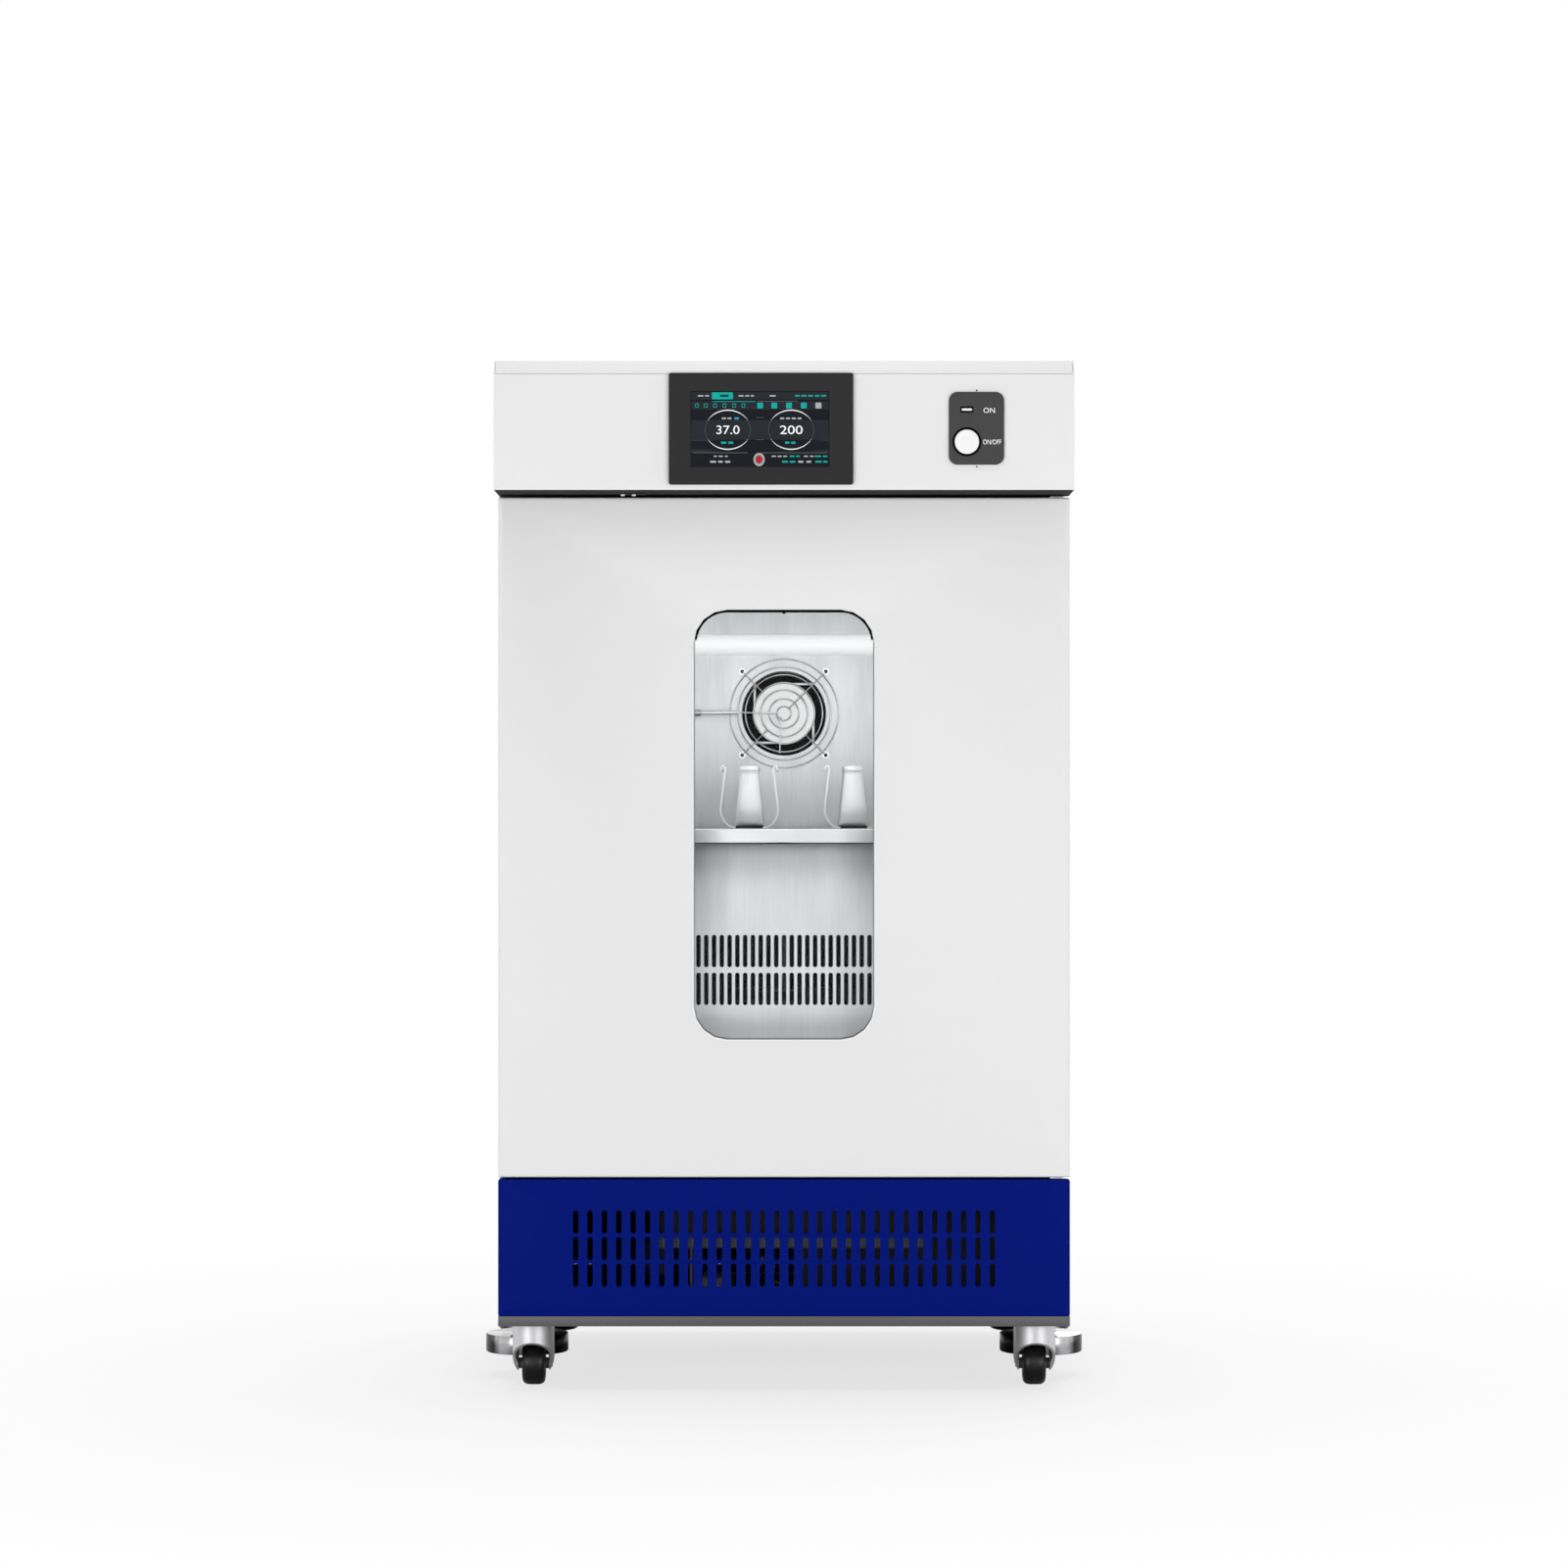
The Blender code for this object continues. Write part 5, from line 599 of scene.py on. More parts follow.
def flat_circle(bm, centre, radius, segments=32, facing=UPRIGHT):
    """A circle of edges, upright in the x-z plane."""
    place = Matrix.Translation(centre) @ facing
    return bmesh.ops.create_circle(bm, cap_ends=False, radius=radius, segments=segments,
                                   matrix=place)["verts"]


def fill_and_thicken(bm, travel):
    """Fill the loops of edges, with their holes, and draw the sheet out along a vector."""
    filled = bmesh.ops.triangle_fill(bm, use_beauty=True, use_dissolve=False, edges=bm.edges[:])
    faces = [item for item in filled["geom"] if isinstance(item, bmesh.types.BMFace)]
    grown = bmesh.ops.extrude_face_region(bm, geom=faces, use_keep_orig=True)["geom"]
    verts = [item for item in grown if isinstance(item, bmesh.types.BMVert)]
    bmesh.ops.translate(bm, verts=verts, vec=travel)
    bmesh.ops.recalc_face_normals(bm, faces=bm.faces)


def lathe(bm, profile, place=Matrix.Identity(4), segments=48):
    """Spin a profile of (radius, height) points full round z, place it and add it."""
    part = bmesh.new()
    points = [part.verts.new((radius, 0.0, height)) for radius, height in profile]
    edges = [part.edges.new(pair) for pair in zip(points, points[1:])]
    bmesh.ops.spin(part, geom=points + edges, cent=(0, 0, 0), axis=(0, 0, 1), dvec=(0, 0, 0),
                   angle=2 * math.pi, steps=segments, use_merge=True)
    bmesh.ops.remove_doubles(part, verts=part.verts, dist=1e-6)
    bmesh.ops.transform(part, matrix=place, verts=part.verts)
    add_to(bm, part)


def add_to(bm, part):
    """Move one bmesh's shape into another."""
    mesh = bpy.data.meshes.new("part")
    part.to_mesh(mesh)
    part.free()
    bm.from_mesh(mesh)
    bpy.data.meshes.remove(mesh)


def block(bm, low, high, edge=0.0, segments=2):
    """A box between two corners, with its edges rounded."""
    low, high = Vector(low), Vector(high)
    size = high - low
    place = Matrix.Translation((low + high) / 2) @ Matrix.Diagonal((*size, 1.0))
    verts = bmesh.ops.create_cube(bm, size=1.0, matrix=place)["verts"]
    if edge:
        rounded(bm, list({e for v in verts for e in v.link_edges}), edge, segments)
    return verts


def rod(bm, start, end, radius, sides=12, end_radius=None):
    """A round bar between two points."""
    start, end = Vector(start), Vector(end)
    way = end - start
    turn = way.to_track_quat("Z", "Y").to_matrix().to_4x4()
    place = Matrix.Translation((start + end) / 2) @ turn
    last = radius if end_radius is None else end_radius
    return bmesh.ops.create_cone(bm, cap_ends=True, cap_tris=False, segments=sides,
                                 radius1=radius, radius2=last, depth=way.length, matrix=place)["verts"]


def smooth_path(points, steps=6):
    """Points on a smooth curve that passes through the given ones."""
    points = [Vector(p) for p in points]
    ends = [2 * points[0] - points[1]] + points + [2 * points[-1] - points[-2]]
    made = []
    for a, b, c, d in zip(ends, ends[1:], ends[2:], ends[3:]):
        for step in range(steps):
            t = step / steps
            made.append(0.5 * (2 * b + (c - a) * t + (2 * a - 5 * b + 4 * c - d) * t * t
                               + (3 * b - a - 3 * c + d) * t ** 3))
    made.append(points[-1])
    return made


def bent_wire(bm, path, radius, sides=8, closed=False):
    """A round wire along a path, with closed ends."""
    rings = []
    count = len(path)
    up = None
    for number, point in enumerate(path):
        before = path[number - 1] if number or closed else path[0]
        after = path[(number + 1) % count] if number < count - 1 or closed else path[-1]
        way = (Vector(after) - Vector(before)).normalized()
        if up is None:
            up = way.orthogonal().normalized()
        up = (up - way * up.dot(way)).normalized()
        side = way.cross(up)
        frame_of = Matrix((side, up, way)).transposed().to_4x4()
        ring = bmesh.ops.create_circle(bm, cap_ends=False, radius=radius, segments=sides,
                                       matrix=Matrix.Translation(point) @ frame_of)["verts"]
        rings.append(ring)
    pairs = list(zip(rings, rings[1:]))
    if closed:
        pairs.append((rings[-1], rings[0]))
    for one, two in pairs:
        for number in range(sides):
            following = (number + 1) % sides
            bm.faces.new((one[number], one[following], two[following], two[number]))
    if not closed:
        bm.faces.new(rings[0])
        bm.faces.new(list(reversed(rings[-1])))


def screws(name, places, radius, height, finish, body, facing, slot="zinc"):
    """Pan-head screws with a cross recess: a group at the given places."""
    bm = bmesh.new()
    profile = [(0, -0.0002), (radius, -0.0002), (radius, height * 0.35), (radius * 0.9, height * 0.75),
               (radius * 0.62, height), (radius * 0.30, height), (radius * 0.22, height * 0.55),
               (0, height * 0.45)]
    for place in places:
        lathe(bm, profile, Matrix.Translation(place) @ facing, 20)
    return piece(name, bm, finish, body, slot=slot)


# front of the machine
def build_display():
    """The display: a black glass with its picture, inside a charcoal bezel."""
    low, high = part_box("screen_bezel")
    glass_low, glass_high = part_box("screen_glass")
    middle = ((low[0] + high[0]) / 2, HEAD_Y - 0.0003, (low[2] + high[2]) / 2)
    bm = bmesh.new()
    flat_shape(bm, middle, high[0] - low[0], high[2] - low[2], 0.0028, 5)
    hole = ((glass_low[0] + glass_high[0]) / 2, middle[1], (glass_low[2] + glass_high[2]) / 2)
    gap = 0.0006
    flat_shape(bm, hole, glass_high[0] - glass_low[0] + gap, glass_high[2] - glass_low[2] + gap, 0.0008, 2)
    face_y = low[1]
    fill_and_thicken(bm, (0, face_y - middle[1], 0))
    rim = edges_of(bm, lambda co: abs(co.y - face_y) < 1e-5)
    outer = [e for e in rim if e.calc_face_angle(0.0) > 0.5]
    rounded(bm, outer, 0.0007, 3)
    body_low = (low[0] + 0.0045, middle[1] + 0.0001, low[2] + 0.0045)
    body_high = (high[0] - 0.0045, high[1], high[2] - 0.0045)
    block(bm, body_low, body_high, 0.001)
    piece("display_bezel", bm, DARK_PLASTIC, "cabinet", ("screen_bezel",))

    bm = bmesh.new()
    block(bm, glass_low, glass_high, 0.0003)
    piece("display_glass", bm, SCREEN_BLACK, "cabinet", ("screen_glass",))
    centre = Vector((hole[0], glass_low[1], hole[2]))
    layers = {"black": 0.00002, "band": 0.00004, "mark": 0.00007}

    def marks(name, finish, shapes, lift):
        """Flat marks on the glass: (x, z, width, height, corner) in millimetres from its middle."""
        bm = bmesh.new()
        for x, z, width, height, corner in shapes:
            place = centre + Vector((x, 0.0, z)) * 0.001
            flat_shape(bm, place, width * 0.001, height * 0.001, corner * 0.001, 3, keep_face=True)
        grown = bmesh.ops.extrude_face_region(bm, geom=bm.faces[:], use_keep_orig=True)["geom"]
        verts = [item for item in grown if isinstance(item, bmesh.types.BMVert)]
        bmesh.ops.translate(bm, verts=verts, vec=(0, -lift, 0))
        return piece(name, bm, finish, "cabinet", slot="glass")

    marks("display_bands", SCREEN_BAND, [
        (0.0, 37.6, 156.0, 8.6, 0.0), (0.0, 26.6, 156.0, 9.0, 0.0), (0.0, -1.0, 156.0, 22.0, 0.0),
    ], layers["band"])
    marks("display_dark_bands", SCREEN_DARK, [
        (0.0, 17.4, 156.0, 8.2, 0.0), (0.0, -18.6, 156.0, 9.4, 0.0), (0.0, -34.6, 156.0, 15.6, 0.0),
    ], layers["band"])
    def words(z, height, corner, share, spans):
        """A row of bars that stand for words, from their places and widths."""
        return [(x, z, width * share, height, corner) for x, width in spans]

    icons = (-71.6, -61.4, -51.0, -40.4, -29.2, -18.8)
    teal = [(-42.6, 37.6, 24.0, 8.0, 1.2)]
    teal += [(x, 26.6, 4.0, 4.4, 0.8) for x in icons]
    teal += [(x, 26.6, 6.6, 6.6, 0.8) for x in (0.2, 16.2, 33.0, 49.8)]
    teal += [(-29.4, 31.2, 49.0, 0.7, 0.0)]
    teal += words(37.6, 1.8, 0.3, 0.9, ((42.5, 6.0), (49.8, 6.4), (57.4, 6.0), (65.0, 5.6), (72.2, 6.2)))
    teal += words(-15.6, 2.5, 0.4, 0.9, ((-41.2, 6.8), (-33.2, 6.2), (31.0, 5.4), (37.8, 5.4)))
    teal += words(-31.0, 1.7, 0.3, 0.9, ((36.4, 6.0), (43.2, 5.0), (66.0, 8.0), (74.0, 5.6)))
    teal += words(-37.2, 2.1, 0.3, 0.9, ((28.4, 7.4), (37.0, 7.0), (66.4, 7.8), (74.2, 5.4)))
    marks("display_teal_marks", SCREEN_TEAL, teal, layers["mark"])
    inner = [(x, 26.6, 2.6, 3.0, 0.5) for x in icons]
    inner += [(-40.4, 37.6, 9.6, 2.2, 0.3)]
    marks("display_icon_hollows", SCREEN_DARK, inner, layers["mark"] + 0.00003)
    marks("display_silver_mark", SCREEN_SILVER, [(66.4, 26.6, 6.8, 6.6, 0.8)], layers["mark"])
    pale = words(37.6, 1.6, 0.3, 0.85, (
        (-67.4, 7.4), (-60.2, 5.0), (-21.4, 6.6), (-14.4, 5.4), (-8.6, 4.2), (14.6, 8.0)))
    pale += words(12.0, 1.9, 0.3, 0.85, (
        (-41.0, 5.6), (-34.6, 5.2), (25.2, 5.6), (31.8, 5.6), (38.4, 5.6), (45.0, 5.0)))
    pale += words(-31.0, 1.5, 0.3, 0.85, (
        (-50.6, 4.2), (-44.4, 5.8), (-38.2, 3.6), (15.8, 5.8), (22.4, 5.4), (28.6, 5.0), (52.2, 5.4),
        (58.8, 5.0)))
    pale += words(-37.2, 2.2, 0.3, 0.85, (
        (-53.2, 8.0), (-44.8, 6.0), (-36.6, 6.8), (46.4, 6.8), (55.4, 6.4)))
    marks("display_pale_marks", SCREEN_TEXT, pale, layers["mark"])
    marks("display_blue_mark", SCREEN_BLUE, [(-26.4, 12.0, 5.0, 2.6, 0.4)], layers["mark"])
    marks("display_lines", SCREEN_GREY, [
        (-45.0, -27.0, 62.0, 0.6, 0.0), (39.0, -27.0, 74.0, 0.6, 0.0), (20.0, 31.6, 46.0, 0.5, 0.0),
        (0.0, 13.0, 9.0, 0.4, 0.0), (0.0, -12.2, 9.0, 0.4, 0.0),
    ], layers["mark"])

    for side, x in (("left", -36.5), ("right", 35.4)):
        middle = centre + Vector((x, 0.0, -0.9)) * 0.001
        bm = bmesh.new()
        for start in (-90.0, 90.0):
            crescent_into(bm, middle, 0.0259, 0.0228, 0.0011, start, 62.0)
        grow_marks(bm, layers["mark"])
        piece("display_ring_" + side, bm, SCREEN_PALE, "cabinet", slot="glass")
        bm = bmesh.new()
        ring = flat_circle(bm, middle, 0.0258, 64)
        inner_ring = flat_circle(bm, middle, 0.0255, 64)
        for group in (ring, inner_ring):
            bmesh.ops.scale(bm, verts=group, vec=(1, 1, 0.885), space=Matrix.Translation(-middle))
        fill_and_thicken(bm, (0, -layers["mark"] * 0.7, 0))
        piece("display_dial_" + side, bm, SCREEN_GREY, "cabinet", slot="glass")
    lettering("display_temperature", "37.0", centre + Vector((-0.0363, 0, -0.0010)), 0.0262, 0.0098,
              SCREEN_PALE, 0.0001, "glass")
    lettering("display_speed", "200", centre + Vector((0.0356, 0, -0.0010)), 0.0258, 0.0098,
              SCREEN_PALE, 0.0001, "glass")

    spot = centre + Vector((-0.0010, 0.0, -0.0347))
    for name, radius, finish, lift in (
        ("display_status_ring", 0.0068, SCREEN_SILVER, 0.00009),
        ("display_status_well", 0.0046, SCREEN_GREY, 0.00013),
        ("display_status_light", 0.0036, SCREEN_RED, 0.00018),
    ):
        bm = bmesh.new()
        oval = flat_circle(bm, spot, radius, 40)
        bmesh.ops.scale(bm, verts=oval, vec=(0.94, 1, 1.10), space=Matrix.Translation(-spot))
        fill_and_thicken(bm, (0, -lift, 0))
        piece(name, bm, finish, "cabinet", slot="glass")


def crescent_into(bm, middle, across, up, thickness, start, half_sweep, steps=28):
    """A flat crescent on an oval, thickest in the middle of its sweep."""
    rows = []
    for step in range(steps + 1):
        share = step / steps * 2 - 1
        angle = math.radians(start + share * half_sweep)
        wide = thickness * (1 - share * share) + 0.00012
        pair = []
        for grow in (0.0, -wide):
            x = (across + grow) * math.cos(angle)
            z = (up + grow) * math.sin(angle)
            pair.append(bm.verts.new(middle + Vector((x, 0.0, z))))
        rows.append(pair)
    for one, two in zip(rows, rows[1:]):
        bm.faces.new((one[0], two[0], two[1], one[1]))


def grow_marks(bm, lift):
    """Draw flat marks out towards the front."""
    grown = bmesh.ops.extrude_face_region(bm, geom=bm.faces[:], use_keep_orig=True)["geom"]
    verts = [item for item in grown if isinstance(item, bmesh.types.BMVert)]
    bmesh.ops.translate(bm, verts=verts, vec=(0, -lift, 0))


def lettering(name, words, centre, width, height, finish, lift, slot, bold=0.004):
    """Plain figures or ON and OFF, facing the front, fitted to a width and height."""
    text = bpy.data.curves.new(name, "FONT")
    text.body = words
    text.size = 1.0
    text.offset = bold
    text.extrude = 0.5
    text.resolution_u = 6
    holder = bpy.data.objects.new(name + "_text", text)
    bpy.context.scene.collection.objects.link(holder)
    bpy.context.view_layer.update()
    mesh = bpy.data.meshes.new_from_object(holder.evaluated_get(bpy.context.evaluated_depsgraph_get()))
    bpy.data.objects.remove(holder)
    bm = bmesh.new()
    bm.from_mesh(mesh)
    bpy.data.meshes.remove(mesh)
    xs = [v.co.x for v in bm.verts]
    ys = [v.co.y for v in bm.verts]
    shift = Vector((-(min(xs) + max(xs)) / 2, -(min(ys) + max(ys)) / 2, 0.5))
    bmesh.ops.translate(bm, verts=bm.verts, vec=shift)
    size = (width / (max(xs) - min(xs)), height / (max(ys) - min(ys)), lift)
    bmesh.ops.scale(bm, verts=bm.verts, vec=size)
    bmesh.ops.transform(bm, verts=bm.verts, matrix=Matrix.Translation(centre) @ UPRIGHT)
    return piece(name, bm, finish, "cabinet", slot=slot)


def build_switch():
    """The switch plate with its lamp, painted shade round the lamp and the button, and its two small pins.
    """
    low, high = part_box("switch_plate")
    button_low, button_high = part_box("power_button")
    lens_low, lens_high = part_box("indicator_lens")
    face_y = low[1]
    middle = ((low[0] + high[0]) / 2, high[1], (low[2] + high[2]) / 2)
    button = Vector(((button_low[0] + button_high[0]) / 2, 0.0, (button_low[2] + button_high[2]) / 2))
    lens = Vector(((lens_low[0] + lens_high[0]) / 2, 0.0, (lens_low[2] + lens_high[2]) / 2))
    bm = bmesh.new()
    flat_shape(bm, middle, high[0] - low[0], high[2] - low[2], 0.0100, 10)
    flat_circle(bm, (button.x, middle[1], button.z), 0.0146, 64)
    flat_shape(bm, (lens.x, middle[1], lens.z), 0.0150, 0.0070, 0.0012, 3)
    fill_and_thicken(bm, (0, face_y - middle[1], 0))
    rim = [e for e in edges_of(bm, lambda co: abs(co.y - face_y) < 1e-5) if e.calc_face_angle(0.0) > 0.5]
    rounded(bm, rim, 0.0004, 2)
    piece("switch_plate_finished", bm, SWITCH_BLACK, "cabinet", ("switch_plate",))

    # A black ring in the lamp's recess: painted shade.
    bm = bmesh.new()
    middle_y = HEAD_Y - 0.0002
    flat_shape(bm, (lens.x, middle_y, lens.z), 0.0148, 0.0068, 0.0012, 3)
    flat_shape(bm, (lens.x, middle_y, lens.z), 0.0119, 0.0027, 0.0006, 3)
    fill_and_thicken(bm, (0, -0.0006, 0))
    piece("indicator_shade_well", bm, FLAT_BLACK_AND_SHADE, "cabinet", slot="black_plastic")

    bm = bmesh.new()
    block(bm, (lens_low[0] + 0.0003, face_y - 0.0004, lens_low[2] + 0.0004),
          (lens_high[0] - 0.0003, lens_high[1], lens_high[2] - 0.0004), 0.0006, 3)
    piece("indicator_light", bm, LIT_WHITE, "cabinet", ("indicator_lens",))

    # A black ring round the button: painted shadow in its gap.
    bm = bmesh.new()
    profile = [(0.01415, 0.0), (0.0146, 0.0), (0.0164, 0.0), (0.0164, 0.0003), (0.0156, 0.0007),
               (0.0146, 0.0008), (0.01415, 0.0005), (0.01415, 0.0)]
    lathe(bm, profile, Matrix.Translation((button.x, face_y, button.z)) @ UPRIGHT, 64)
    piece("button_shadow_ring", bm, FLAT_BLACK_AND_SHADE, "cabinet", slot="black_plastic")

    bm = bmesh.new()
    reach = HEAD_Y - button_low[1]
    inside = button_high[1] - HEAD_Y
    profile = [(0.0, reach - 0.0003), (0.0040, reach - 0.0002), (0.0080, reach - 0.0001),
               (0.0115, reach), (0.0130, reach - 0.0002), (0.0137, reach - 0.0008),
               (0.0140, reach - 0.0018), (0.0140, -0.0018), (0.0165, -0.0018), (0.0165, -0.0043),
               (0.0140, -0.0043), (0.0140, -inside), (0.0, -inside)]
    lathe(bm, profile, Matrix.Translation((button.x, HEAD_Y, button.z)) @ UPRIGHT, 64)
    piece("power_button_cap", bm, LIT_WHITE, "power_button", ("power_button",))

    bm = bmesh.new()
    for z in (1.1480, 1.0613):
        place = Matrix.Translation((0.2190, HEAD_Y, z)) @ UPRIGHT
        profile = [(0, -0.0002), (0.0010, -0.0002), (0.0010, 0.0002), (0.0006, 0.0004), (0, 0.0004)]
        lathe(bm, profile, place, 16)
    piece("switch_pins", bm, BLACK_PLASTIC, "cabinet", slot="black_plastic")
    lettering("indicator_mark", "ON", Vector((0.2330, face_y, lens.z - 0.0010)), 0.0130, 0.0058,
              SCREEN_PALE, 0.00006, "dark_plastic")
    lettering("switch_mark", "ON/OFF", Vector((0.2364, face_y, button.z - 0.0002)), 0.0206, 0.0054,
              SCREEN_PALE, 0.00006, "dark_plastic")


def build_grille():
    """The blue panel with three rows of upright slots, and the rail and felt behind them."""
    low, high = (Vector(corner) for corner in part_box("grille_panel"))
    sheet = 0.0015
    columns, pitch, row_pitch = 30, 0.01658, 0.0307
    bm = bmesh.new()
    middle = Vector(((low.x + high.x) / 2, low.y + sheet, (low.z + high.z) / 2))
    flat_shape(bm, middle, high.x - low.x, high.z - low.z, 0.0024, 4)
    for row in (-1, 0, 1):
        for column in range(columns):
            centre = (pitch * (column - (columns - 1) / 2), middle.y, 0.1654 + row_pitch * row)
            flat_shape(bm, centre, 0.0062, 0.0268, 0.0031, 4)
    fill_and_thicken(bm, (0, -sheet, 0))
    rim = [e for e in edges_of(bm, lambda co: abs(co.y - low.y) < 1e-5) if e.calc_face_angle(0.0) > 0.5]
    rim = [e for e in rim if abs(abs(e.verts[0].co.x) - high.x) < 0.003
           or min(abs(e.verts[0].co.z - low.z), abs(e.verts[0].co.z - high.z)) < 0.003]
    rounded(bm, rim, 0.0009, 3)
    for x in (low.x, high.x - sheet):
        block(bm, (x, low.y + sheet - 0.0002, low.z + 0.0008), (x + sheet, high.y, high.z - 0.0008), 0.0003)
    for z in (low.z, high.z - sheet):
        block(bm, (low.x + 0.0008, low.y + sheet - 0.0002, z), (high.x - 0.0008, high.y, z + sheet), 0.0003)
    piece("grille_panel_finished", bm, BLUE_PAINT, "cabinet", ("grille_panel",))

    left, right, front, back = -0.1485, 0.1655, -0.2500, -0.2388
    foot, shelf, top = 0.1653, 0.1800, 0.2150
    thick, edge = 0.0012, 0.0003
    bm = bmesh.new()
    block(bm, (left, front, foot), (right, front + thick, shelf), edge)
    block(bm, (left, front, shelf - thick), (right, back, shelf), edge)
    block(bm, (-0.1090, front, 0.1020), (-0.1060, front + thick, 0.1660), edge)
    for x in (left, right - sheet):
        block(bm, (x, low.y + sheet, foot), (x + sheet, back, top), edge)
    piece("panel_rail", bm, RAIL_PAINT, "cabinet", slot="frame_paint")
    bm = bmesh.new()
    block(bm, (left + sheet, back - 0.0040, shelf), (right - sheet, back, top), 0.0006)
    piece("panel_felt", bm, FELT, "cabinet", slot="foam")


def build_sensor():
    """The door sensor under the head: a dark strip with two bright studs."""
    low, high = (Vector(corner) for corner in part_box("door_switch"))
    middle_y = (low.y + high.y) / 2
    bm = bmesh.new()
    block(bm, (-0.1885, low.y, high.z - 0.0008), (high.x, high.y, high.z), 0.0002)
    piece("door_switch_finished", bm, BLACK_PLASTIC, "cabinet", ("door_switch",))
    bm = bmesh.new()
    profile = [(0, 0.0), (0.0019, 0.0), (0.0023, 0.0003), (0.0023, 0.0017), (0, 0.0017)]
    for x in (-0.1852, -0.1725):
        lathe(bm, profile, Matrix.Translation((x, middle_y, low.z)), 24)
    piece("door_switch_studs", bm, WHITE_PLASTIC, "cabinet", slot="bright_steel")


def build_drive_housing():
    """The steel cover over the drive: two rows of slots, painted shade on its inside faces and an upturned
    rim.
    """
    low, high = (Vector(corner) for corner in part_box("drive_housing"))
    sheet = 0.0015
    rim_z = high.z + 0.0064
    bm = bmesh.new()
    middle = Vector((0.0, low.y + sheet, (low.z + rim_z) / 2))
    flat_shape(bm, middle, high.x - low.x, rim_z - low.z)
    for row in (0.4605, 0.5053):
        for column in range(25):
            flat_shape(bm, (0.0092 * (column - 12), middle.y, row), 0.00545, 0.0385, 0.00272, 5)
    fill_and_thicken(bm, (0, -sheet, 0))
    folds = [e for e in edges_of(bm, lambda co: abs(co.y - low.y) < 1e-5)
             if e.calc_face_angle(0.0) > 0.5 and (abs(abs(e.verts[0].co.x) - high.x) < 1e-4
                                                  and abs(abs(e.verts[1].co.x) - high.x) < 1e-4
                                                  or abs(e.verts[0].co.z - rim_z) < 1e-4
                                                  and abs(e.verts[1].co.z - rim_z) < 1e-4)]
    rounded(bm, folds, 0.0010, 3)
    for x in (low.x, high.x - sheet):
        block(bm, (x, low.y + sheet - 0.0001, low.z), (x + sheet, high.y, rim_z), 0.0004)
    block(bm, (low.x + sheet, high.y - sheet, low.z), (high.x - sheet, high.y, rim_z), 0.0004)
    top = bmesh.new()
    flat = Matrix.Identity(4)
    flat_shape(top, (0.0, (low.y + high.y) / 2 + sheet / 2, high.z - sheet), high.x - low.x - 2 * sheet,
               high.y - low.y - sheet, 0.0, 2, flat)
    for x, y, radius in ((0.0, 0.072, 0.0130), (-0.150, -0.083, 0.0110), (0.150, -0.083, 0.0110)):
        flat_circle(top, (x, y, high.z - sheet), radius, 40, flat)
    fill_and_thicken(top, (0, 0, sheet))
    add_to(bm, top)
    inside_low = low + Vector((sheet, sheet, 0)) * 0.9
    inside_high = high - Vector((sheet, sheet, sheet)) * 0.9
    # Faces inside the housing take painted shade black, so the slots read dark.
    for face in bm.faces:
        middle = face.calc_center_median()
        within = (inside_low.x < middle.x < inside_high.x and inside_low.y < middle.y < inside_high.y
                  and middle.z < inside_high.z)
        face.material_index = 1 if within else 0
    piece("drive_housing_finished", bm, [HOUSING_STEEL, SHADE_BLACK], "cabinet", ("drive_housing",))


# door and chamber
def build_window_seal():
    """The seal that holds both panes: black along the top bend, painted light grey below it."""
    bm = bmesh.new()
    bm.from_mesh(frame["nodes"]["window_seal"].data)
    bmesh.ops.remove_doubles(bm, verts=bm.verts, dist=2e-6)
    bmesh.ops.bisect_plane(bm, geom=bm.verts[:] + bm.edges[:] + bm.faces[:], dist=1e-6,
                           plane_co=(0, 0, WINDOW_TOP_BEND), plane_no=(0, 0, 1))
    for face in bm.faces:
        face.material_index = 0 if face.calc_center_median().z > WINDOW_TOP_BEND else 1
    piece("window_seal_finished", bm, [FLAT_BLACK_AND_SHADE, SEAL_LIT_GREY], "door", ("window_seal",), turned_out=False)


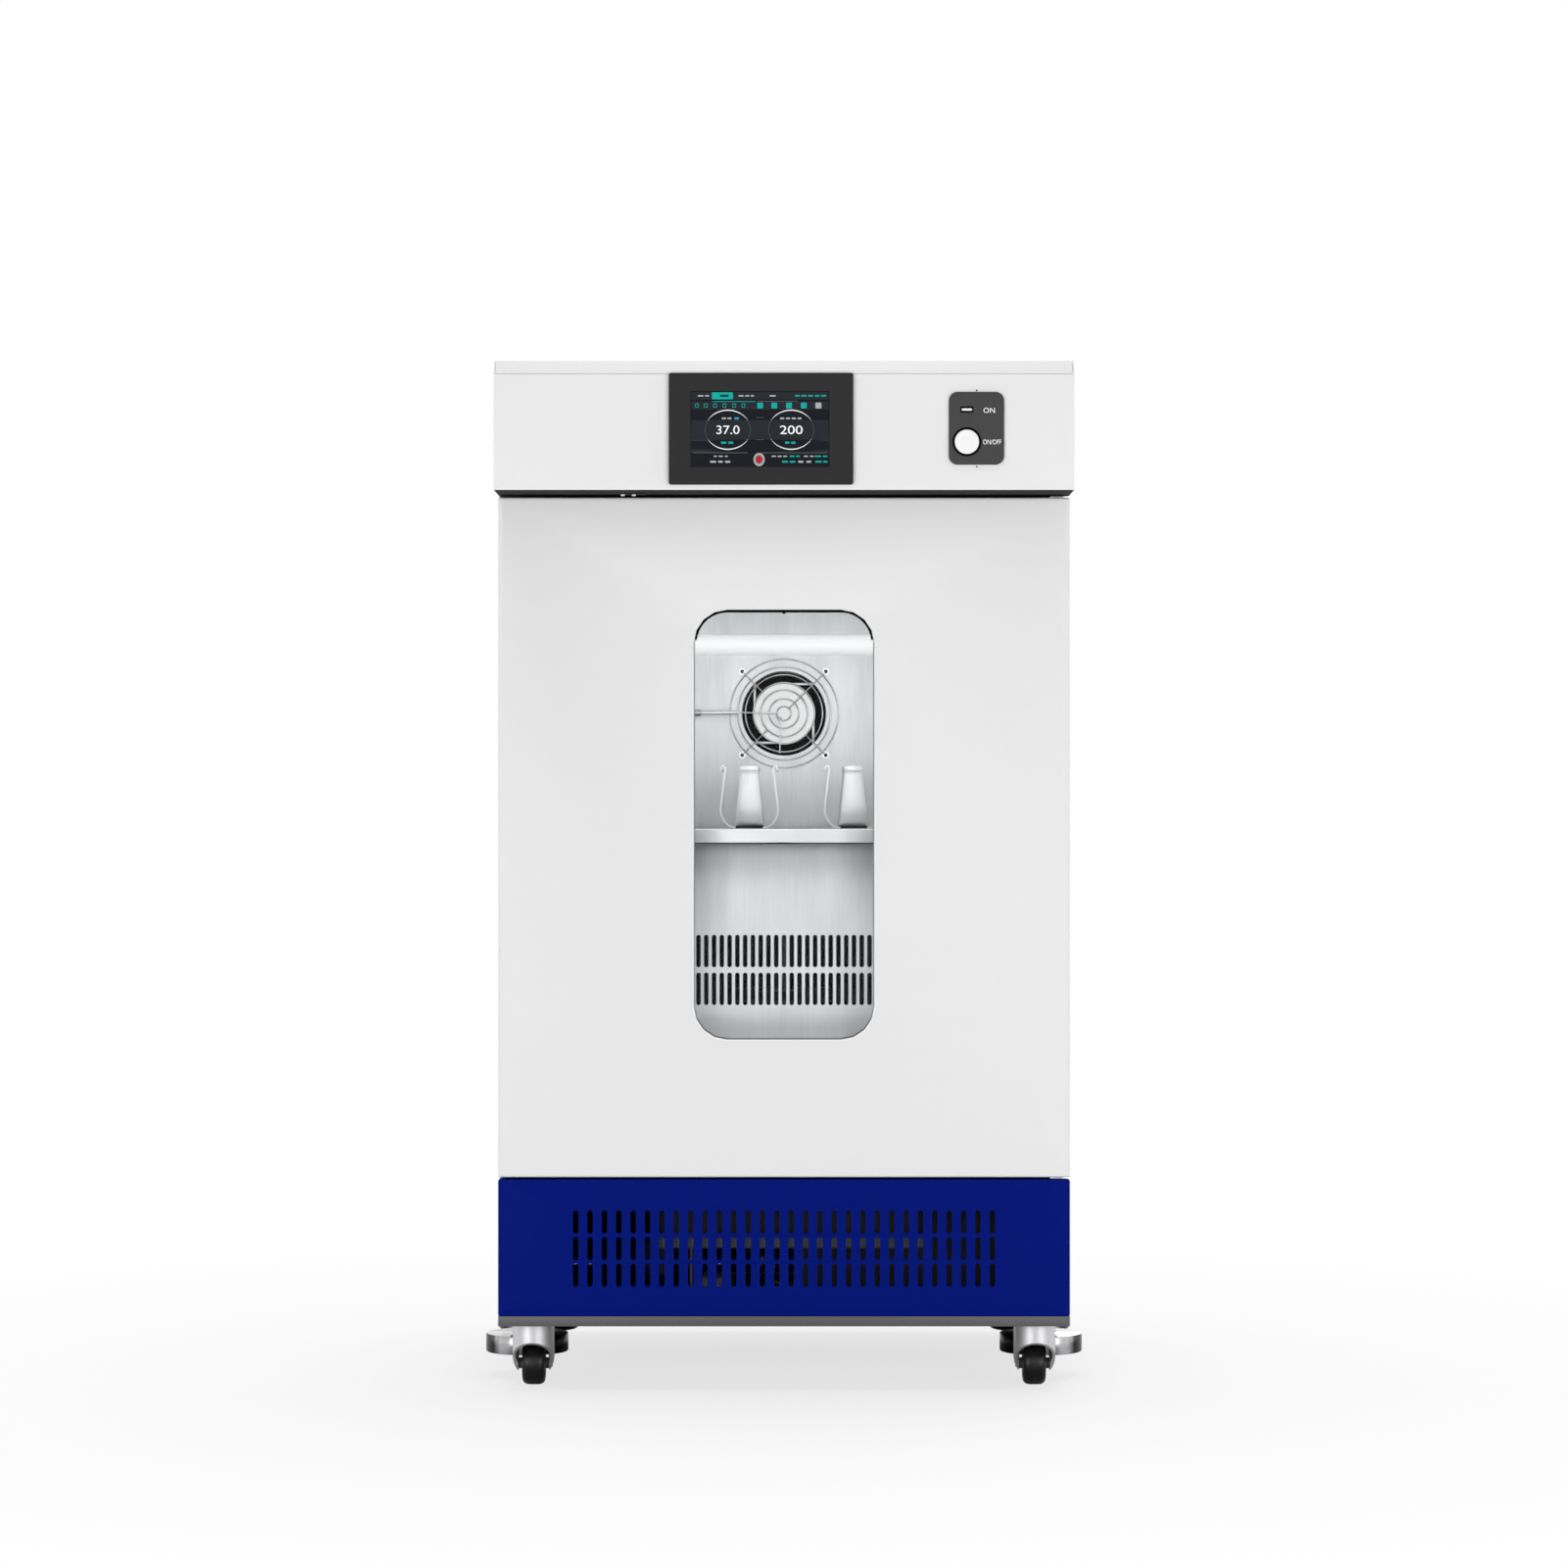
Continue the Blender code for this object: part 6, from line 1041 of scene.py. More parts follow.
def build_window_bead():
    """The bead against the outer pane: a broad painted shadow over the top bend, thin painted light grey
    below.
    """
    pane_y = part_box("window_outer_pane")[0][1]
    middle = Vector((0.0, pane_y - 0.0001, WINDOW_Z))
    for name, width, finish, upper in (
        ("upper", 0.0031, FLAT_BLACK_AND_SHADE, True),
        ("lower", 0.0010, SEAL_LIT_GREY, False),
    ):
        bm = bmesh.new()
        flat_shape(bm, middle, BEAD_WIDTH, BEAD_HEIGHT, BEAD_CORNER, 12)
        flat_shape(bm, middle, BEAD_WIDTH - 2 * width, BEAD_HEIGHT - 2 * width, BEAD_CORNER - width, 12)
        fill_and_thicken(bm, (0, -0.0011, 0))
        cut = bmesh.ops.bisect_plane(bm, geom=bm.verts[:] + bm.edges[:] + bm.faces[:], dist=1e-6,
                                     plane_co=(0, 0, WINDOW_TOP_BEND), plane_no=(0, 0, 1),
                                     clear_inner=upper, clear_outer=not upper)["geom_cut"]
        bmesh.ops.holes_fill(bm, edges=[e for e in cut if isinstance(e, bmesh.types.BMEdge)], sides=0)
        if upper:
            top = middle.z + BEAD_HEIGHT / 2 - width
            block(bm, (-0.0016, middle.y - 0.0011, top - 0.0016), (0.0016, middle.y, top + 0.0002), 0.0003)
        piece("window_bead_" + name, bm, finish, "door", slot="rubber")
    # A pale lip round the lower part of the window: a painted highlight on the opening's edge.
    bm = bmesh.new()
    middle.y = DOOR_Y - 0.0001
    flat_shape(bm, middle, 0.2112, 0.4992, 0.0401, 12)
    flat_shape(bm, middle, 0.2084, 0.4964, 0.0387, 12)
    fill_and_thicken(bm, (0, -0.0004, 0))
    cut = bmesh.ops.bisect_plane(bm, geom=bm.verts[:] + bm.edges[:] + bm.faces[:], dist=1e-6,
                                 plane_co=(0, 0, WINDOW_TOP_BEND - 0.010), plane_no=(0, 0, 1),
                                 clear_outer=True)["geom_cut"]
    bmesh.ops.holes_fill(bm, edges=[e for e in cut if isinstance(e, bmesh.types.BMEdge)], sides=0)
    piece("window_highlight_lip", bm, WHITE_PLASTIC, "door", slot="white_plastic")


def build_fan():
    """The fan's open frame with its still hub, its struts and its dark wheel."""
    low, high = (Vector(corner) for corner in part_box("fan_frame"))
    centre = Vector((0.0, low.y, FAN_CENTRE.z))
    depth = high.y - low.y
    back = Matrix.Translation(centre) @ Matrix.Rotation(math.radians(-90), 4, "X")
    bm = bmesh.new()
    flat_shape(bm, (0, centre.y, centre.z), 0.119, 0.119, 0.008, 5)
    flat_circle(bm, (0, centre.y, centre.z), 0.0540, 72)
    fill_and_thicken(bm, (0, depth, 0))
    piece("fan_frame_finished", bm, FLAT_BLACK_AND_SHADE, "cabinet", ("fan_frame",))

    bm = bmesh.new()
    profile = [(0, 0.0004), (0.0340, 0.0004), (0.0374, 0.0004), (0.0380, 0.0008), (0.0380, 0.0078),
               (0, 0.0078)]
    lathe(bm, profile, back, 64)
    for number in range(4):
        strut = bmesh.new()
        block(strut, (-0.004, -0.0012, 0.0354), (0.0395, 0.0060, 0.0384), 0.0004)
        turn = Matrix.Rotation(math.radians(90 * number), 4, "Y")
        bmesh.ops.transform(strut, verts=strut.verts,
                            matrix=Matrix.Translation((0, centre.y + 0.0018, centre.z)) @ turn)
        add_to(bm, strut)
    piece("fan_hub", bm, FAN_HUB, "cabinet", slot="black_plastic", smooth=25)

    low, high = (Vector(corner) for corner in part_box("fan_rotor"))
    bm = bmesh.new()
    middle = Matrix.Translation((0, low.y, centre.z)) @ Matrix.Rotation(math.radians(-90), 4, "X")
    depth = high.y - low.y
    lathe(bm, [(0, 0.0), (0.0355, 0.0), (0.0365, 0.001), (0.0365, depth), (0, depth)], middle, 48)
    for number in range(7):
        blade = bmesh.ops.create_grid(bm, x_segments=5, y_segments=10, size=0.5)["verts"]
        for vertex in blade:
            share = vertex.co.x + 0.5
            radius = 0.0355 + share * 0.0168
            around = 1.04 * vertex.co.y + 0.25 * share + 2 * math.pi * number / 7
            height = depth / 2 + (0.019 - 0.003 * share) * vertex.co.y
            height += 0.0016 * (0.25 - vertex.co.y ** 2) * 4
            point = Vector((radius * math.cos(around), radius * math.sin(around), height))
            vertex.co = middle @ point
        faces = list({f for v in blade for f in v.link_faces})
        bmesh.ops.solidify(bm, geom=faces, thickness=0.0012)
    piece("fan_wheel", bm, FLAT_BLACK_AND_SHADE, "fan_rotor", ("fan_rotor",))

    low, high = (Vector(corner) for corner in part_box("fan_guard"))
    plane = 0.1851
    facing = Matrix.Translation((0, plane, centre.z)) @ UPRIGHT
    bm = bmesh.new()
    for radius in (0.0089, 0.0186, 0.0293, 0.0386, 0.0485, 0.0584, 0.0682):
        wire_radius = 0.0008
        ring = [(radius + wire_radius * math.cos(a), wire_radius * math.sin(a))
                for a in (2 * math.pi * n / 8 for n in range(9))]
        lathe(bm, ring, facing, 72)
    far = 0.0742
    for turn, near in ((45, 0.0089), (135, 0.0386), (225, 0.0293), (315, 0.0386)):
        way = Vector((math.cos(math.radians(turn)), 0, math.sin(math.radians(turn))))
        middle = Vector((0, plane + 0.0011, centre.z))
        rod(bm, middle + way * near, middle + way * far, 0.0008, 8)
        foot = middle + way * far
        profile = [(0.0024, 0.0), (0.0042, 0.0), (0.0044, 0.0005), (0.0044, 0.0011), (0.0024, 0.0011),
                   (0.0024, 0.0)]
        lathe(bm, profile, Matrix.Translation(foot + Vector((0, 0.0008, 0))) @ UPRIGHT, 20)
    piece("fan_guard_finished", bm, GUARD_WIRE, "cabinet", ("fan_guard",))
    places = [(x, BAFFLE_Y, FAN_CENTRE.z + z) for x in (-0.0525, 0.0525) for z in (-0.0525, 0.0525)]
    screws("fan_screws", places, 0.0030, 0.0022, FLAT_BLACK_AND_SHADE, "cabinet", UPRIGHT, "black_plastic")


def build_baffle():
    """The steel baffle before the air duct, with its round opening for the fan."""
    low, high = (Vector(corner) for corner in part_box("rear_baffle"))
    sheet = 0.0015
    bm = bmesh.new()
    middle = Vector((0.0, low.y + sheet, (low.z + high.z) / 2))
    flat_shape(bm, middle, high.x - low.x, high.z - low.z)
    flat_circle(bm, (0, middle.y, FAN_CENTRE.z), 0.0531, 80)
    fill_and_thicken(bm, (0, -sheet, 0))
    for x in (low.x, high.x - sheet):
        block(bm, (x, low.y + sheet - 0.0001, low.z), (x + sheet, high.y, high.z), 0.0004)
    piece("rear_baffle_finished", bm, BAFFLE_STEEL, "cabinet", ("rear_baffle",))


def build_probe():
    """The temperature probe: a sheathed lead from the wall, a clip and its thin tip."""
    low = Vector(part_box("sensor_probe")[0])
    y = 0.169
    z = FAN_CENTRE.z
    bm = bmesh.new()
    lead = smooth_path([(low.x + 0.004, y, z), (-0.20, y, z), (-0.10, y, z), (-0.062, y, z + 0.0004)], 4)
    bent_wire(bm, lead, 0.0020, 12)
    rod(bm, (-0.062, y, z + 0.0004), (-0.056, y, z + 0.0006), 0.0020, 12, end_radius=0.0009)
    rod(bm, (low.x + 0.002, y, z), (-0.1056, y, z), 0.0040, 20)
    rod(bm, (-0.1056, y, z), (-0.1034, y, z), 0.0040, 20, end_radius=0.0022)
    tip = smooth_path([(-0.0565, y, z + 0.0006), (-0.030, y, z - 0.0002), (-0.0125, y, z - 0.0008),
                       (-0.0088, y, z - 0.0030), (-0.0068, y, z - 0.0070)], 5)
    bent_wire(bm, tip, 0.0008, 8)
    tail = smooth_path([(-0.0048, y, z - 0.0082), (-0.0040, y, z - 0.022), (-0.0055, y, z - 0.0505)], 6)
    bent_wire(bm, tail, 0.0008, 8)
    profile = [(0, 0), (0.0066, 0), (0.0070, 0.0006), (0.0070, 0.0030), (0.0045, 0.0042), (0.0022, 0.0046),
               (0.0022, 0.0100), (0.0016, 0.0110), (0, 0.0110)]
    wall = Matrix.Translation((low.x, y, z)) @ Matrix.Rotation(math.radians(90), 4, "Y")
    lathe(bm, profile, wall, 32)
    piece("sensor_probe_finished", bm, BRIGHT_STEEL, "cabinet", ("sensor_probe",))
    bm = bmesh.new()
    block(bm, (-0.0080, y - 0.0020, z - 0.0088), (-0.0030, y + 0.0012, z - 0.0054), 0.0006)
    rod(bm, (-0.0054, y - 0.0022, z - 0.0071), (-0.0054, y - 0.0030, z - 0.0071), 0.0012, 12)
    block(bm, (-0.0095, y - 0.0010, z - 0.0066), (-0.0078, y + 0.0008, z - 0.0040), 0.0004)
    piece("probe_clip", bm, DARK_METAL, "cabinet", slot="bright_steel")


def build_lamp():
    """The opal cover of the lamp, bowed to the front, with its end caps."""
    low, high = (Vector(corner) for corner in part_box("lamp_diffuser"))
    height = high.z - low.z
    depth = high.y - low.y
    bm = bmesh.new()
    rim = []
    for step in range(15):
        angle = math.radians(-90 + 180 * step / 14)
        y = high.y - depth * math.cos(angle) ** 0.8 if abs(step - 7) < 7 else high.y
        rim.append(bm.verts.new((low.x + 0.004, y, (low.z + high.z) / 2 + height / 2 * math.sin(angle))))
    face = bm.faces.new(rim)
    grown = bmesh.ops.extrude_face_region(bm, geom=[face], use_keep_orig=True)["geom"]
    verts = [item for item in grown if isinstance(item, bmesh.types.BMVert)]
    bmesh.ops.translate(bm, verts=verts, vec=(high.x - low.x - 0.008, 0, 0))
    piece("lamp_cover", bm, LAMP_COVER, "cabinet", ("lamp_diffuser",), smooth=50)
    bm = bmesh.new()
    for x in (low.x, high.x - 0.0038):
        block(bm, (x, low.y + 0.001, low.z + 0.0006), (x + 0.0038, high.y, high.z - 0.0006), 0.0012)
    piece("lamp_end_caps", bm, WHITE_PLASTIC, "cabinet", slot="white_plastic")


# shaker
def build_platform():
    """The platform: a tray with a turned-down lip and a grid of tapped holes."""
    node = frame["nodes"]["platform"]
    low, high = (Vector(corner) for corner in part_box("platform"))
    bm = bmesh.new()
    bm.from_mesh(node.data)
    bmesh.ops.remove_doubles(bm, verts=bm.verts, dist=2e-6)
    bmesh.ops.dissolve_limit(bm, angle_limit=math.radians(0.5), verts=bm.verts, edges=bm.edges)
    crown = [e for e in edges_of(bm, lambda co: co.z > high.z - 1e-5) if e.calc_face_angle(0.0) > 0.5]
    rounded(bm, crown, 0.0016, 4)
    piece("platform_tray", bm, PLATFORM_METAL, "platform", ("platform",), turned_out=False)
    bm = bmesh.new()
    profile = [(0, 0.00005), (0.0026, 0.00005), (0.0026, 0.0003), (0.0034, 0.0006), (0.0042, 0.0004),
               (0.0046, 0.0), (0, 0.0)]
    for column in range(-5, 6):
        for row in range(-3, 5):
            x, y = HOLE_PITCH * column, -HOLE_SHIFT + HOLE_PITCH * row - HOLE_PITCH
            if low.x + 0.012 < x < high.x - 0.012 and low.y + 0.012 < y < high.y - 0.012:
                lathe(bm, profile, Matrix.Translation((x, y, high.z)), 12)
    # The middles of the hole rings take painted shade black, standing for the holes' depth.
    for face in bm.faces:
        middle = face.calc_center_median()
        across, along = middle.x, middle.y + HOLE_SHIFT
        across -= HOLE_PITCH * round(across / HOLE_PITCH)
        along -= HOLE_PITCH * round(along / HOLE_PITCH)
        near = Vector((across, along, 0)).length
        face.material_index = 1 if near < 0.0026 and middle.z < high.z + 0.00025 else 0
    piece("platform_holes", bm, [PLATFORM_METAL, SHADE_BLACK], "platform", slot="platform_aluminium")


CLAMP_ARM = ((0.0165, 0.0, 0.0158), (0.0225, 0.0012, 0.0158), (0.0295, 0.0068, 0.0157),
             (0.0342, 0.0160, 0.0154), (0.0350, 0.0240, 0.0149), (0.0336, 0.0360, 0.0137),
             (0.0318, 0.0500, 0.0123), (0.0300, 0.0660, 0.0110))


def build_clamps():
    """The flask clamps: a foot and four spring arms with a folded lip, of one sheet."""
    for name in ("front_left", "front_middle", "front_right", "rear_left", "rear_middle", "rear_right"):
        node = "flask_clamp_" + name
        low, high = (Vector(corner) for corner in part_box(node))
        centre = Vector(((low.x + high.x) / 2, (low.y + high.y) / 2, low.z))
        top = high.z - low.z
        path = smooth_path([(u, v, w) for u, v, w in CLAMP_ARM], 3)
        lip = [Vector((0.0296, top - 0.0070, 0.0109)), Vector((0.0297, top - 0.0032, 0.0108)),
               Vector((0.0302, top - 0.0014, 0.0107)), Vector((0.0310, top - 0.0010, 0.0106)),
               Vector((0.0318, top - 0.0016, 0.0105)), Vector((0.0322, top - 0.0032, 0.0104)),
               Vector((0.0323, top - 0.0052, 0.0103))]
        rail = path + [p for p in lip if p.y > path[-1].y]
        bm = bmesh.new()
        half = 0.0158
        bmesh.ops.create_grid(bm, x_segments=1, y_segments=1, size=half)
        for number in range(4):
            turn = Matrix.Rotation(math.radians(90 * number), 3, "Z")
            bow = 0.0046 if number % 2 else 0.0
            row = [bm.verts.new(turn @ Vector((rail[0].x, side * rail[0].z, rail[0].y)))
                   for side in (-1, 1)]
            for reach, height, wide in rail[1:]:
                last = row
                pull = bow * min(1.0, height / 0.010)
                row = [bm.verts.new(turn @ Vector((reach - pull * across ** 2, across * wide, height)))
                       for across in (-1.0, -0.6, 0.0, 0.6, 1.0)]
                if len(last) == 2:
                    bm.faces.new([last[0]] + row + [last[1]])
                else:
                    for place in range(4):
                        bm.faces.new((last[place], row[place], row[place + 1], last[place + 1]))
        for number in range(4):
            turn = Matrix.Rotation(math.radians(90 * number), 3, "Z")
            edge = [turn @ Vector((half, side * half, 0)) for side in (-1, 1)]
            first = [turn @ Vector((rail[0].x, side * rail[0].z, 0)) for side in (-1, 1)]
            bm.faces.new([bm.verts.new(p) for p in (edge[0], first[0], first[1], edge[1])])
        bmesh.ops.remove_doubles(bm, verts=bm.verts, dist=1e-5)
        bmesh.ops.recalc_face_normals(bm, faces=bm.faces)
        base = min(bm.faces, key=lambda f: f.calc_center_median().length)
        if base.normal.z > 0:
            bmesh.ops.reverse_faces(bm, faces=bm.faces)
        bmesh.ops.solidify(bm, geom=bm.faces[:], thickness=0.0020)
        lift = min(v.co.z for v in bm.verts)
        bmesh.ops.translate(bm, verts=bm.verts, vec=centre - Vector((0, 0, lift)))
        bmesh.ops.recalc_face_normals(bm, faces=bm.faces)
        rim = [e for e in bm.edges if e.calc_face_angle(0.0) > math.radians(60)]
        rounded(bm, rim, 0.00035, 2)
        piece("clamp_" + name, bm, SPRING_STEEL, "platform", (node,), smooth=25)
        # Black strips at the foot of the front and back arms: rubber pads, and painted shadow under the
        # arms.
        bm = bmesh.new()
        for number in (0, 2):
            pad = bmesh.new()
            block(pad, (-0.0160, -0.0318, 0.0), (0.0160, -0.0272, 0.0036), 0.0004)
            turn = Matrix.Rotation(math.radians(90 * number), 4, "Z")
            bmesh.ops.transform(pad, verts=pad.verts, matrix=Matrix.Translation(centre) @ turn)
            add_to(bm, pad)
        piece("clamp_pads_and_shade_" + name, bm, RUBBER, "platform", slot="rubber")
        screws("clamp_screw_" + name, [centre + Vector((0, 0, 0.0016))], 0.0046, 0.0030, ZINC, "platform",
               Matrix.Identity(4), "bright_steel")


# back and machine room
BACKWARD = Matrix.Rotation(math.radians(-90), 4, "X")


def build_fasteners():
    """Pan-head screws of the rear panel, the baffle and the drive housing."""
    rear = [(side * 0.3180, REAR_Y, z) for side in (-1, 1)
            for z in (0.112, 0.300, 0.490, 0.680, 0.870, 1.060)]
    rear += [(x, REAR_Y, 0.102) for x in (-0.16, 0.0, 0.16)]
    rear += [(x, REAR_Y, 1.166) for x in (-0.24, -0.08, 0.08, 0.24)]
    screws("rear_screws", rear, 0.0042, 0.0022, ZINC, "cabinet", BACKWARD)
    inlet_low, inlet_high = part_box("power_inlet")
    middle_z = (inlet_low[2] + inlet_high[2]) / 2
    inlet = [(x, inlet_high[1], middle_z) for x in (inlet_low[0] - 0.0060, inlet_high[0] + 0.0060)]
    screws("inlet_screws", inlet, 0.0030, 0.0018, ZINC, "cabinet", BACKWARD)
    baffle = [(side * 0.2500, BAFFLE_Y, z) for side in (-1, 1) for z in (0.690, 0.930)]
    screws("baffle_screws", baffle, 0.0034, 0.0020, BRIGHT_STEEL, "cabinet", UPRIGHT, "bright_steel")
    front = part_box("drive_housing")[0][1]
    housing = [(side * 0.2200, front, z) for side in (-1, 1) for z in (0.415, 0.610)]
    screws("housing_screws", housing, 0.0034, 0.0020, BRIGHT_STEEL, "cabinet", UPRIGHT, "bright_steel")


def build_cooling_lines():
    """Copper lines between the compressor and the condenser, the drier, and the wiring box."""
    deck = 0.2600
    low, high = (Vector(corner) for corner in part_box("compressor"))
    middle = (low + high) / 2
    cool_low = Vector(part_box("condenser")[0])
    bm = bmesh.new()
    discharge = [(high.x - 0.012, middle.y - 0.030, 0.165), (high.x + 0.012, middle.y - 0.034, 0.170),
                 (high.x + 0.040, middle.y - 0.060, 0.192), (high.x + 0.062, -0.020, 0.204),
                 (cool_low.x - 0.008, -0.110, 0.204), (cool_low.x + 0.004, -0.138, 0.200)]
    bent_wire(bm, smooth_path(discharge, 7), 0.0030, 10)
    suction = [(low.x + 0.020, low.y + 0.016, 0.180), (low.x + 0.010, low.y - 0.006, 0.186),
               (low.x + 0.012, low.y - 0.022, 0.214), (low.x + 0.014, low.y - 0.024, deck)]
    bent_wire(bm, smooth_path(suction, 7), 0.0038, 10)
    liquid = [(cool_low.x + 0.004, -0.138, 0.108), (cool_low.x - 0.014, -0.138, 0.108),
              (cool_low.x - 0.034, -0.124, 0.116), (cool_low.x - 0.040, -0.098, 0.120)]
    bent_wire(bm, smooth_path(liquid, 7), 0.0026, 10)
    drier_top = cool_low.x - 0.040
    fine = [(drier_top, -0.004, 0.126), (drier_top + 0.002, 0.020, 0.132),
            (drier_top + 0.010, 0.034, 0.170), (drier_top + 0.008, 0.034, deck)]
    bent_wire(bm, smooth_path(fine, 7), 0.0014, 8)
    profile = [(0.0024, 0.0), (0.0040, 0.0030), (0.0085, 0.0120), (0.0095, 0.0160), (0.0095, 0.0780),
               (0.0085, 0.0820), (0.0040, 0.0900), (0.0016, 0.0940)]
    lean = Matrix.Translation((drier_top, -0.098, 0.120)) @ Matrix.Rotation(math.radians(-86), 4, "X")
    lathe(bm, profile, lean, 28)
    piece("cooling_lines", bm, COPPER, "cabinet", slot="zinc")

    bm = bmesh.new()
    box_low, box_high = Vector((-0.0680, 0.2350, 0.0875)), Vector((0.0240, 0.3000, 0.2240))
    block(bm, box_low, box_high, 0.0030, 3)
    block(bm, (box_low.x + 0.004, box_low.y - 0.0020, box_low.z + 0.006),
          (box_high.x - 0.004, box_low.y + 0.0008, box_high.z - 0.006), 0.0010)
    for x in (box_low.x + 0.020, box_high.x - 0.020):
        y, top = box_low.y + 0.030, box_high.z
        rod(bm, (x, y, top - 0.001), (x, y, top + 0.012), 0.0075, 20)
        rod(bm, (x, y, top + 0.010), (x, y, top + 0.018), 0.0060, 6)
    piece("wiring_box", bm, COMPRESSOR_PAINT, "cabinet", slot="black_plastic")
    places = [(x, box_low.y - 0.0020, z) for x in (box_low.x + 0.011, box_high.x - 0.011)
              for z in (box_low.z + 0.014, box_high.z - 0.014)]
    screws("wiring_box_screws", places, 0.0028, 0.0018, ZINC, "cabinet", UPRIGHT)


# casters and feet
def solid_of(bm, cutters):
    """The shape less its cutters, as a new bmesh."""
    mesh = bpy.data.meshes.new("cut_shape")
    bm.to_mesh(mesh)
    bm.free()
    holder = bpy.data.objects.new("cut_shape", mesh)
    bpy.context.scene.collection.objects.link(holder)
    used = []
    for number, cutter in enumerate(cutters):
        tool_mesh = bpy.data.meshes.new("cutter_%d" % number)
        cutter.to_mesh(tool_mesh)
        cutter.free()
        tool = bpy.data.objects.new("cutter_%d" % number, tool_mesh)
        bpy.context.scene.collection.objects.link(tool)
        cut = holder.modifiers.new("cut_%d" % number, "BOOLEAN")
        cut.operation = "DIFFERENCE"
        cut.solver = "EXACT"
        cut.object = tool
        used.append(tool)
    bpy.context.view_layer.update()
    made = bpy.data.meshes.new_from_object(holder.evaluated_get(bpy.context.evaluated_depsgraph_get()))
    for old in [holder] + used:
        bpy.data.objects.remove(old)
    result = bmesh.new()
    result.from_mesh(made)
    bpy.data.meshes.remove(made)
    return result


def drawn_out(bm, outline, travel):
    """A closed outline drawn out into a solid."""
    face = bm.faces.new([bm.verts.new(point) for point in outline])
    grown = bmesh.ops.extrude_face_region(bm, geom=[face], use_keep_orig=True)["geom"]
    verts = [item for item in grown if isinstance(item, bmesh.types.BMVert)]
    bmesh.ops.translate(bm, verts=verts, vec=travel)
    bmesh.ops.recalc_face_normals(bm, faces=bm.faces)


